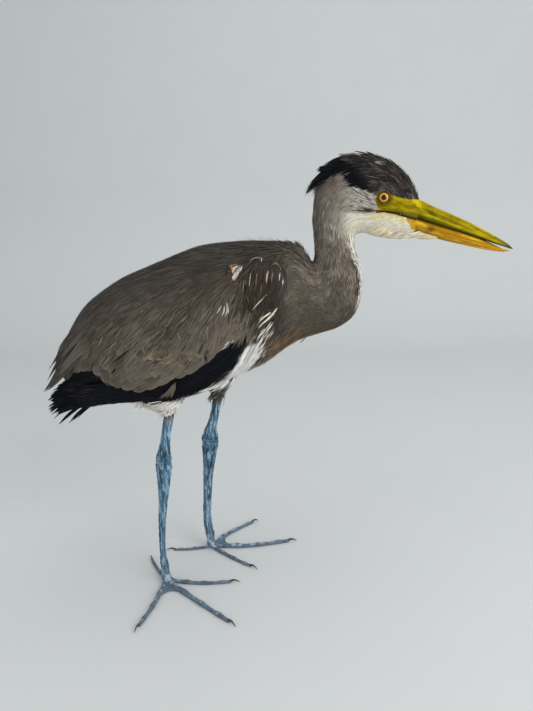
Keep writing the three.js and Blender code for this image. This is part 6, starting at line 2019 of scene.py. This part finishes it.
streaks([[(125.9, 315.0), (121.0, 307.5), (114.8, 302.4), (108.4, 296.4)], [(119.0, 310.0), (108.9, 302.8), (105.5, 299.0)], [(120.6, 301.1), (113.8, 291.1), (104.3, 282.6)],
         [(112.6, 294.5), (105.9, 285.1), (100.4, 278.4)], [(117.5, 306.0), (109.0, 297.6), (103.0, 291.0)]], [1.0, 0.8, 1.5, 1.2, 0.6], srgb(244, 240, 230))
streaks([[(124.0, 311.0), (117.8, 303.6), (111.5, 297.4)], [(110.5, 305.4), (106.0, 301.5)]], [0.5, 0.8], srgb(196, 166, 130))
streaks([[(111.5, 286.5), (104, 276.5), (96.6, 266.4)], [(107.0, 280.3), (97, 266), (86, 252)], [(102, 279), (93, 266), (84, 254)], [(104, 272), (92, 256), (78, 241)]], [1.2, 1.4, 1.3, 1.0], srgb(244, 242, 238))
streaks([[(121.0, 308.5), (114.5, 300.5), (109, 294.5)], [(118.5, 299.5), (111.5, 289.0), (106, 283)], [(116.5, 296.0), (109.5, 286.0)], [(111.8, 259.6), (104, 255.6), (96.0, 251.6)], [(126.6, 266.4), (119, 260), (111.0, 254.2)],
         [(104.9, 262.2), (99, 254.5), (94.0, 247.4)], [(122.5, 303.5), (115, 293.5)], [(106, 296), (100, 288)]], [0.6, 0.5, 0.5, 0.8, 0.9, 0.9, 0.7, 0.8], srgb(44, 37, 32))
for sd_ in (-1, 1):
    kd, kl = [], []
    for i in range(26):
        u = rs.rand()
        a0 = np.array([np.interp(u, [0, 1], [158, 122]), np.interp(u, [0, 1], [281.5, 273]) + rs.uniform(-3, 3)])
        b0 = a0 + np.array([-rs.uniform(18, 34), 0]) + np.array([0, -rs.uniform(9, 17)])
        (kd if i % 2 else kl).append([tuple(a0), tuple((a0 + b0) / 2 + [0, 0.8]), tuple(b0)])
    streaks(kd, 0.5, srgb(52, 44, 39), 4.6, sd=sd_, coat=breast_coat)
    streaks(kl, 0.45, srgb(196, 180, 158), 4.8, sd=sd_, coat=breast_coat)
wb = []
for i in range(34):
    o_ = rs.uniform(-1.6, 1.3)
    a_ = rs.uniform(0, 0.50)
    pts_ = np.array([(82.2, 256.2), (71.8, 243.9), (61.4, 234.0), (48, 224.6), (36.7, 218.5), (30, 217.5)])
    cuts = np.linspace(a_, min(a_ + rs.uniform(0.28, 0.45), 1), 4) * 5
    wb.append([(np.interp(q, range(6), pts_[:, 0]) + o_ * 0.7, np.interp(q, range(6), pts_[:, 1]) - o_ * 0.6) for q in cuts])
barbs(-1, wb, 0.40, mix(np.tile(srgb(244, 241, 236), (34, 1)), srgb(206, 200, 192), rs.rand(34)), 5.4, breast_coat, rs, 2.0, 0.3)
# dark thigh feathers of the far leg, below the white edge of the wing
streaks([[(73, 242), (64, 232), (52, 222), (43, 215)], [(69, 239), (60, 229), (48, 219), (38, 212)], [(74, 240), (66, 230), (56, 221)]], [2.6, 2.6, 2.0], srgb(40, 33, 29), 5.0)
dk = []
for i in range(110):
    x0, z0 = rs.uniform(96, 122), rs.uniform(314, 352)
    dk.append([(x0 + 1, z0 + 6), (x0, z0), (x0 - 1.5, z0 - 7)])
streaks(dk, rs.uniform(0.5, 1.0, len(dk)), mix(np.tile(srgb(44, 36, 30), (len(dk), 1)), srgb(74, 62, 52), rs.rand(len(dk))), 5.3)
for sd_ in (-1, 1):
    barbs(sd_, [[(206.5, 407.2), (210.2, 406.9), (215.9, 405.0), (225.6, 407.6)], [(204, 405.2), (209, 405.0), (214.5, 403.6), (220.5, 403.4)]], [0.7, 0.6], srgb(58, 51, 47), 1.8, head_coat, rs, 2.2, 0.22)
    wl = []
    for i in range(90):
        u, w_ = rs.rand(), rs.rand()
        x0, z0 = 224.5 - 17 * u, 411.5 + 8.5 * u + (w_ - 0.62) * (6 + 8 * u)
        ln_ = rs.uniform(7, 13)
        wl.append([(x0, z0), (x0 - ln_ * 0.5, z0 + ln_ * (0.30 + 0.16 * w_)), (x0 - ln_, z0 + ln_ * (0.46 + 0.30 * w_))])
    barbs(sd_, wl, 0.24, mix(np.tile(srgb(112, 103, 94), (90, 1)), srgb(232, 225, 214), (rs.rand(90) > 0.40) * 1.0), 1.55, head_coat, rs, 1.2, 0.20)
    barbs(sd_, [[(212.4, 404.6), (218.5, 403.8), (224.6, 404.2), (230.4, 402.6)], [(226, 403.9), (236.7, 401.5), (244, 400.0), (250, 397.4)], [(240, 400.9), (248.8, 397.9), (256.5, 395.2)]],
          [0.55, 0.6, 0.6], srgb(44, 38, 22), 1.3, head_coat, rs, 2.4, 0.22)
# near-white patch lower on the wing
streaks([[(79.0, 323.0), (80.3, 315.3), (76.0, 307.8)], [(75.0, 320.5), (71.1, 314.8), (68.5, 310.8)], [(77.5, 321), (77, 314), (74, 309)], [(81, 318), (80.5, 311)]],
        [1.1, 0.8, 0.5, 0.6], srgb(198, 192, 184))
# worn peach and white spot
pk, wk, rk = [], [], []
for i in range(70):
    u, w_ = rs.rand(), rs.rand()
    x0 = np.interp(u, [0, 1], [79.0, 83.0]) + w_ * np.interp(u, [0, 1], [8.5, 4.0])
    z0 = np.interp(u, [0, 1], [360.0, 351.5])
    l_ = rs.uniform(2.0, 4.6)
    pk.append([(x0 + 0.7, z0 + l_ * 0.4), (x0, z0 - l_ * 0.4), (x0 + 0.2, z0 - l_)])
for i in range(64):
    u = rs.rand()
    x0, z0 = np.interp(u, [0, 0.5, 1], [89.8, 88.6, 86.4]) + rs.uniform(-3.6, 2.6) * (1 - 0.35 * u), np.interp(u, [0, 1], [356.5, 345.5])
    l_ = rs.uniform(2.2, 5.0)
    wk.append([(x0 + 0.9, z0 + l_ * 0.4), (x0, z0 - l_ * 0.4), (x0 - 0.8, z0 - l_)])
for i in range(24):
    x0, z0 = rs.uniform(83, 93), rs.uniform(337.5, 343.5)
    rk.append([(x0 + 0.5, z0 + 2.5), (x0, z0), (x0 - 0.6, z0 - 3.5)])
barbs(-1, rk, 0.4, mix(np.tile(srgb(126, 98, 74), (24, 1)), srgb(92, 76, 62), rs.rand(24)), 6.2, wing_coats[-1], rs, 1.6, 0.26)
pk, wk = pk[:64], wk[:58]
pc = mix(np.tile(srgb(252, 220, 190), (64, 1)), srgb(206, 152, 110), rs.rand(64) ** 1.5)
wc_ = mix(np.tile(srgb(246, 236, 224), (58, 1)), srgb(176, 158, 140), rs.rand(58) ** 1.8)
barbs(-1, pk, 0.7, pc, 7.0, wing_coats[-1], rs, 0.8, 0.20, 6, 0.14)
barbs(-1, wk, 0.7, wc_, 7.2, wing_coats[-1], rs, 0.8, 0.20, 6, 0.14)
streaks([[(89.6, 357.4), (87.6, 353.4), (85.2, 348.6)], [(78.6, 360), (77.8, 352), (80.4, 343)]], [0.6, 0.9], srgb(46, 38, 34), 8.2)

# ------------------------------------------------------------------ bill
BILL_UPPER = [
    [266.3, 413.0, 263.9, 394.2, 10.2, 0.30, 1.9], [281, 405.2, 277, 389.6, 8.7, 0.28, 1.8], [296, 398, 291, 384.6, 7.4, 0.26, 1.75],
    [312, 389.9, 307, 378.9, 6.0, 0.26, 1.75], [327, 381.6, 323, 373.0, 4.7, 0.26, 1.75], [341, 373.2, 337.5, 367.2, 3.3, 0.28, 1.8],
    [351, 366.2, 348.5, 363.2, 1.9, 0.35, 1.9], [355.2, 362.3, 354, 361.2, 0.8, 0.5, 2], [356.3, 361.3, 355.6, 360.9, 0.3, 0.5, 2]]
BILL_LOWER = [
    [263.9, 395.2, 262.9, 382.0, 9.8, 0.62, 2.0], [276.9, 390.6, 275.2, 377.0, 8.3, 0.62, 1.9], [290.9, 385.6, 288.8, 372.4, 6.9, 0.64, 1.8],
    [306.8, 379.9, 304.6, 368.0, 5.5, 0.66, 1.75], [322.7, 373.7, 320.6, 363.6, 4.2, 0.68, 1.75], [336.9, 366.6, 335.2, 360.2, 2.8, 0.66, 1.8],
    [346.6, 361.4, 345.6, 358.6, 1.6, 0.6, 1.9], [352.2, 359.9, 351.8, 359.0, 0.7, 0.5, 2], [353.2, 359.4, 353.0, 359.1, 0.3, 0.5, 2]]
UP_BACK = [[250, 414, 249, 401, 6.0, 0.45, 2.0], [258.5, 414.5, 257.5, 396.8, 9.4, 0.36, 2.0]]
LOW_BACK = [[248, 397, 248, 388, 6.0, 0.60, 2.0], [256.5, 396.6, 256.2, 384.4, 9.2, 0.60, 2.0]]
bills = []
for nm, rows0, slot_ in (("bill_upper_fine", UP_BACK + BILL_UPPER, "bill_upper_sheath"), ("bill_lower_fine", LOW_BACK + BILL_LOWER, "bill_lower_sheath")):
    rows = smooth_rows(rows0, 12)
    v, f = shell(body_rings(rows, 64))
    ob = to_object(nm, v, f)
    outward(ob)
    v = get_v(ob.data)
    nn = get_n(ob.data)
    x, y, z = v.T
    t = (x - 262) / 93.0
    upper = nm.startswith("bill_upper")
    if upper:
        culm = np.interp(x, [b[0] for b in BILL_UPPER], [b[1] for b in BILL_UPPER])
        tom = np.interp(x, [b[2] for b in BILL_UPPER], [b[3] for b in BILL_UPPER])
        hgt = (z - tom) / np.maximum(culm - tom, 0.5)
        # long groove from the nostril, a slit nostril, and a fine lip at the cutting edge
        gr = np.exp(-((hgt - 0.52) / 0.075) ** 2) * sstep(0.62, 0.40, t) * sstep(-0.05, 0.02, t) * 0.75
        nos = np.exp(-((hgt - 0.56) / 0.10) ** 2) * np.exp(-((t - 0.16) / 0.055) ** 2) * 1.1
        lip = np.exp(-((hgt - 0.10) / 0.05) ** 2) * 0.25
        v[:, 1] -= np.sign(y) * np.minimum(gr + nos - lip, np.abs(y) * 0.5)
        col = horn(v)
        col = mix(col, srgb(70, 62, 8), np.clip(gr / 0.75, 0, 1) * 0.35 + np.clip(nos, 0, 1) * 0.6)
    else:
        top_ = np.interp(x, [b[0] for b in BILL_LOWER], [b[1] for b in BILL_LOWER])
        low_ = np.interp(x, [b[2] for b in BILL_LOWER], [b[3] for b in BILL_LOWER])
        hgt = (z - low_) / np.maximum(top_ - low_, 0.5)
        gr = np.exp(-((hgt - 0.45) / 0.09) ** 2) * sstep(0.55, 0.2, t) * 0.4
        v[:, 1] -= np.sign(y) * np.minimum(gr, np.abs(y) * 0.5)
        col = mix(np.tile(srgb(206, 156, 34), (len(v), 1)), srgb(192, 142, 34), sstep(0.55, 0.15, hgt))
        streak_ = noise3(np.stack([x * 0.07, y * 0.5, hgt * 9.0], 1), 1.0)
        col = mix(col, srgb(164, 112, 14), sstep(0.52, 0.70, streak_) * 0.75)
        col = mix(col, srgb(222, 178, 62), sstep(0.42, 0.28, streak_) * 0.6)
        # painted shadow of the upper bill along the top of the lower bill
        col = mix(col, srgb(80, 70, 20), sstep(0.78, 0.90, hgt) * 0.9 * sstep(0.95, 0.8, t))
        for h0_, t0_, t1_ in ((0.50, 0.28, 0.85), (0.34, 0.3, 0.6)):
            ln_ = np.exp(-((hgt - h0_) / 0.035) ** 2) * sstep(t0_ - 0.04, t0_ + 0.04, t) * sstep(t1_ + 0.05, t1_ - 0.05, t)
            col = mix(col, srgb(126, 84, 12), ln_ * 0.7)
        col = mix(col, srgb(84, 60, 28), np.exp(-(((x - 277) / 4.0) ** 2 + ((z - 384) / 2.4) ** 2)) * 0.8)
        col = mix(col, srgb(204, 128, 34), sstep(0.75, 0.95, t) * sstep(0.6, 0.2, hgt) * 0.7)
        col = mix(col, srgb(226, 214, 170), sstep(0.86, 0.95, t) * sstep(0.5, 0.9, hgt) * 0.6)
    set_v(ob.data, v)
    put_colour(ob.data, col)
    ob.data.materials.append(MAT_BILL)
    to_world(ob)
    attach(ob, "root")
    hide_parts("bill_upper" if upper else "bill_lower")
    bills.append(ob)

# chin feathers that run out under the lower jaw and close over the corner behind it
rs = np.random.RandomState(19)
P, N = [], []
low = smooth_rows(LOW_BACK + BILL_LOWER, 6)
for i in range(2000):
    hang = i >= 560
    if hang:
        x0 = 228 + 55 * rs.rand() ** 0.95
    else:
        x0 = 250 + 31 * rs.rand() ** 1.3
    lowz = np.interp(x0, low[:, 2], low[:, 3])
    hw = np.interp(x0, low[:, 2], low[:, 4]) * 0.98
    hh = np.interp(x0, low[:, 0], low[:, 1]) - lowz
    if hang:
        topz = lowz + 1.6
    else:
        topz = max(np.interp(x0, [250, 254, 257, 259, 263, 270, 281], [392, 389.5, 386, 383.6, 382.2, 379.6, 375.4]), lowz + 0.4)
    zz = lowz + (topz - lowz) * rs.rand()
    frac = np.clip(1 - (zz - lowz) / (0.62 * hh + 1e-6), 0, 1)
    yy = hw * math.sqrt(max(1 - frac**2, 0.0)) * rs.choice([-1, 1])
    if hang:
        hw = np.interp(x0, [228, 240, 256, 270, 284], [12.5, 12, 9.6, 8.4, 7.2])
        yy = hw * rs.uniform(-0.94, 0.94)
        hit = tree.ray_cast(Vector((x0, yy, 345.0)), Vector((0, 0, 1)))
        if hit[0] is not None and hit[0].z < 395:
            zz = hit[0].z + 1.0
    p0 = np.array([x0, yy, zz])
    tt = np.linspace(0, 1, 5)[:, None]
    if hang:
        ln_ = rs.uniform(9, 18)
        floor_ = lambda q: np.interp(q, [212, 220, 228, 236, 245, 253, 262, 273, 284], [384, 381.0, 378.2, 376.4, 375.5, 375.4, 375.7, 376.1, 374.6])
        u = rs.rand() ** 1.15
        keel = 1 - 0.35 * (1 - u)
        xm, xe = x0 - 0.45 * ln_, x0 - ln_
        lift_ = lambda q, zt: min(floor_(q) + u * max(zt - floor_(q), 1.5), zt)
        pm = np.array([xm, yy * (0.5 + 0.5 * keel), lift_(xm, zz - 0.4) - 0.4])
        pe = np.array([xe, yy * keel, lift_(xe, zz) - 0.3 * (rs.rand() < 0.25)])
        P.append(p0 * (1 - tt) ** 2 + pm * 2 * tt * (1 - tt) + pe * tt ** 2)
        N.append(np.tile(unit(np.array([0.0, yy / hw * 0.8 + (0.8 if yy > 0 else -0.8), -0.35])), (5, 1)))
    else:
        nn_ = unit(np.array([0.0, yy / hw, -frac]))
        ln_ = rs.uniform(4, 8.5)
        d_ = unit(np.array([-1.0, 0.06 * np.sign(yy), -0.10 + rs.normal(0, 0.06)]))
        P.append(p0 + d_ * ln_ * tt)
        N.append(np.tile(nn_, (5, 1)))
P, N = np.array(P), np.array(N)
bt = vanes(P, N, rs.uniform(0.28, 0.50, len(P)), [0.5, 1, 0.95, 0.6, 0], -0.1, rs.uniform(0.2, 0.9, len(P)), 1, 0.3, 2)
near = np.array([tree.find_nearest(Vector(p))[2] for p in P[:, 0]])
cc = mix(np.tile(srgb(232, 226, 208), (len(P), 1)), srgb(236, 212, 140), sstep(386, 393, P[:, 0, 2]) * 0.6)
cc = mix(cc, srgb(208, 194, 166), (rs.rand(len(P)) > 0.65) * 0.7)
cc = mix(cc, srgb(226, 192, 116), (rs.rand(len(P)) > 0.7) * sstep(264, 276, P[:, 0, 0]) * 0.6)
head_coat.add(bt, shade(bt, cc, rs, 0.05, root_shade=1.0), jitter_uv(near, 43))

# ------------------------------------------------------------------ eyes
for side, nm in ((1, "left"), (-1, "right")):
    bm = bmesh.new()
    bmesh.ops.create_uvsphere(bm, u_segments=64, v_segments=48, radius=7.95)
    for vv_ in bm.verts:
        r_ = math.hypot(vv_.co.x, vv_.co.y)
        if vv_.co.z > 0:
            vv_.co.z += 0.5 * max(0.0, 1 - (r_ / 5.0) ** 2) ** 2
    me = bpy.data.meshes.new("eyeball_" + nm)
    bm.to_mesh(me)
    bm.free()
    v = get_v(me)
    ring = np.hypot(v[:, 0], v[:, 1]) / 7.95
    ring = np.where(v[:, 2] < 0, 1.0, ring)
    aim = Matrix.Rotation(math.radians(-90 * side), 3, "X") @ Matrix.Identity(3)
    A = np.array(aim)
    v = v @ A.T + EC * [1, side, 1]
    set_v(me, place(v))
    put_float(me, ring, "Ring")
    me.polygons.foreach_set("use_smooth", np.ones(len(me.polygons), bool))
    me.materials.append(MAT_EYE)
    ob = bpy.data.objects.new("eyeball_" + nm, me)
    bpy.context.scene.collection.objects.link(ob)
    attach(ob, "root")
    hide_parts("eye_" + nm)

# ------------------------------------------------------------------ claws
for nm, rows in claw_rows.items():
    rr_ = smooth_rows(rows, 2)
    v, f = shell(bar_rings(rr_, 18))
    v[:, 2] = np.maximum(v[:, 2], 0.02)
    ob = to_object("fine_" + nm, v, f)
    outward(ob)
    ob.data.materials.append(MAT_CLAW)
    to_world(ob)
    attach(ob, "root")
    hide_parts(nm)

# ------------------------------------------------------------------ finish skin and coats
to_world(skin)
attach(skin, "root")
flesh = ["trunk", "neck_lower", "neck_upper", "head", "crest", "wing_left", "wing_right", "flight_feathers_left", "flight_feathers_right", "tail",
         "thigh_left", "thigh_right"]
flesh += [f"{a_}_{s_}" for s_ in ("left", "right") for a_ in ("tibia", "tarsus", "foot", "toe_inner", "toe_middle", "toe_outer", "toe_hind")]
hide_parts(*flesh)
total = 0
for c_ in coats:
    total += c_.tri_count()
    c_.build()
print("coat triangles", total)

# ------------------------------------------------------------------ floor, light, camera
fv, ff_ = [], []
prof_ = [(-12.0, 0.0), (1.30, 0.0)] + [(1.30 + 0.6 * math.sin(a_), 0.6 - 0.6 * math.cos(a_)) for a_ in np.linspace(0.1, math.pi / 2, 18)] + [(1.90, 5.0)]
for yy_, zz_ in prof_:
    fv += [(-12.0, yy_, zz_), (12.0, yy_, zz_)]
for i in range(len(prof_) - 1):
    ff_.append((2 * i, 2 * i + 1, 2 * i + 3, 2 * i + 2))
fme = bpy.data.meshes.new("floor")
fme.from_pydata(fv, [], ff_)
fme.polygons.foreach_set("use_smooth", np.ones(len(fme.polygons), bool))
floor = bpy.data.objects.new("floor", fme)
bpy.context.scene.collection.objects.link(floor)
mat = bpy.data.materials.new("floor_paint")
nt, bs = nodes_of(mat)
n1 = noise(nt, mapping(nt, (1, 1, 1)), 6.0, 4.0)
nt.links.new(ramp(nt, n1, [(0.35, (0.700, 0.712, 0.718)), (0.65, (0.712, 0.722, 0.728))]), bs.inputs["Base Color"])
bs.inputs["Roughness"].default_value = 0.75
floor.data.materials.append(mat)

world = bpy.context.scene.world or bpy.data.worlds.new("World")
bpy.context.scene.world = world
world.use_nodes = True
bg = world.node_tree.nodes.get("Background") or world.node_tree.nodes.new("ShaderNodeBackground")
bg.inputs[0].default_value = (0.580, 0.612, 0.618, 1)
bg.inputs[1].default_value = 1.0


def lamp(name, at, aim_, size, power, colour):
    d = bpy.data.lights.new(name, "AREA")
    d.shape = "RECTANGLE"
    d.size, d.size_y = size
    d.energy = power
    d.color = colour
    o = bpy.data.objects.new(name, d)
    o.location = at
    o.rotation_euler = (Vector(aim_) - Vector(at)).to_track_quat("-Z", "Y").to_euler()
    bpy.context.scene.collection.objects.link(o)
    o.visible_camera = False
    return o


lamp("window", (1.5, -1.2, 1.0), (0, 0, 0.3), (1.4, 1.2), 24, (1.0, 0.985, 0.96))
lamp("fill", (-1.5, -1.0, 1.1), (0, 0, 0.25), (1.2, 1.2), 3, (0.93, 0.96, 1.0))
lamp("top", (0.2, 0.3, 2.2), (0, 0, 0.2), (2.0, 2.0), 6, (1, 1, 1))

CAM = np.array([215.351, -631.213, 382.321])
FWD = np.array([-0.17037, 0.966215, -0.193397])
RIGHTV = np.array([0.985322, 0.164914, -0.044089])
UPV = np.cross(RIGHTV, FWD)
cd = bpy.data.cameras.new("camera")
cam = bpy.data.objects.new("camera", cd)
bpy.context.scene.collection.objects.link(cam)
R3 = Matrix(((RIGHTV[0], UPV[0], -FWD[0]), (RIGHTV[1], UPV[1], -FWD[1]), (RIGHTV[2], UPV[2], -FWD[2])))
cam.matrix_world = Matrix.Translation(Vector(place(CAM))) @ R3.normalized().to_4x4()
cd.sensor_fit = "AUTO"
cd.sensor_width = 36
cd.sensor_height = 36
cd.lens = 596.0 / 711.0 * 36
cd.clip_start = 0.01
bpy.context.scene.camera = cam
bpy.context.scene.view_settings.view_transform = "Standard"
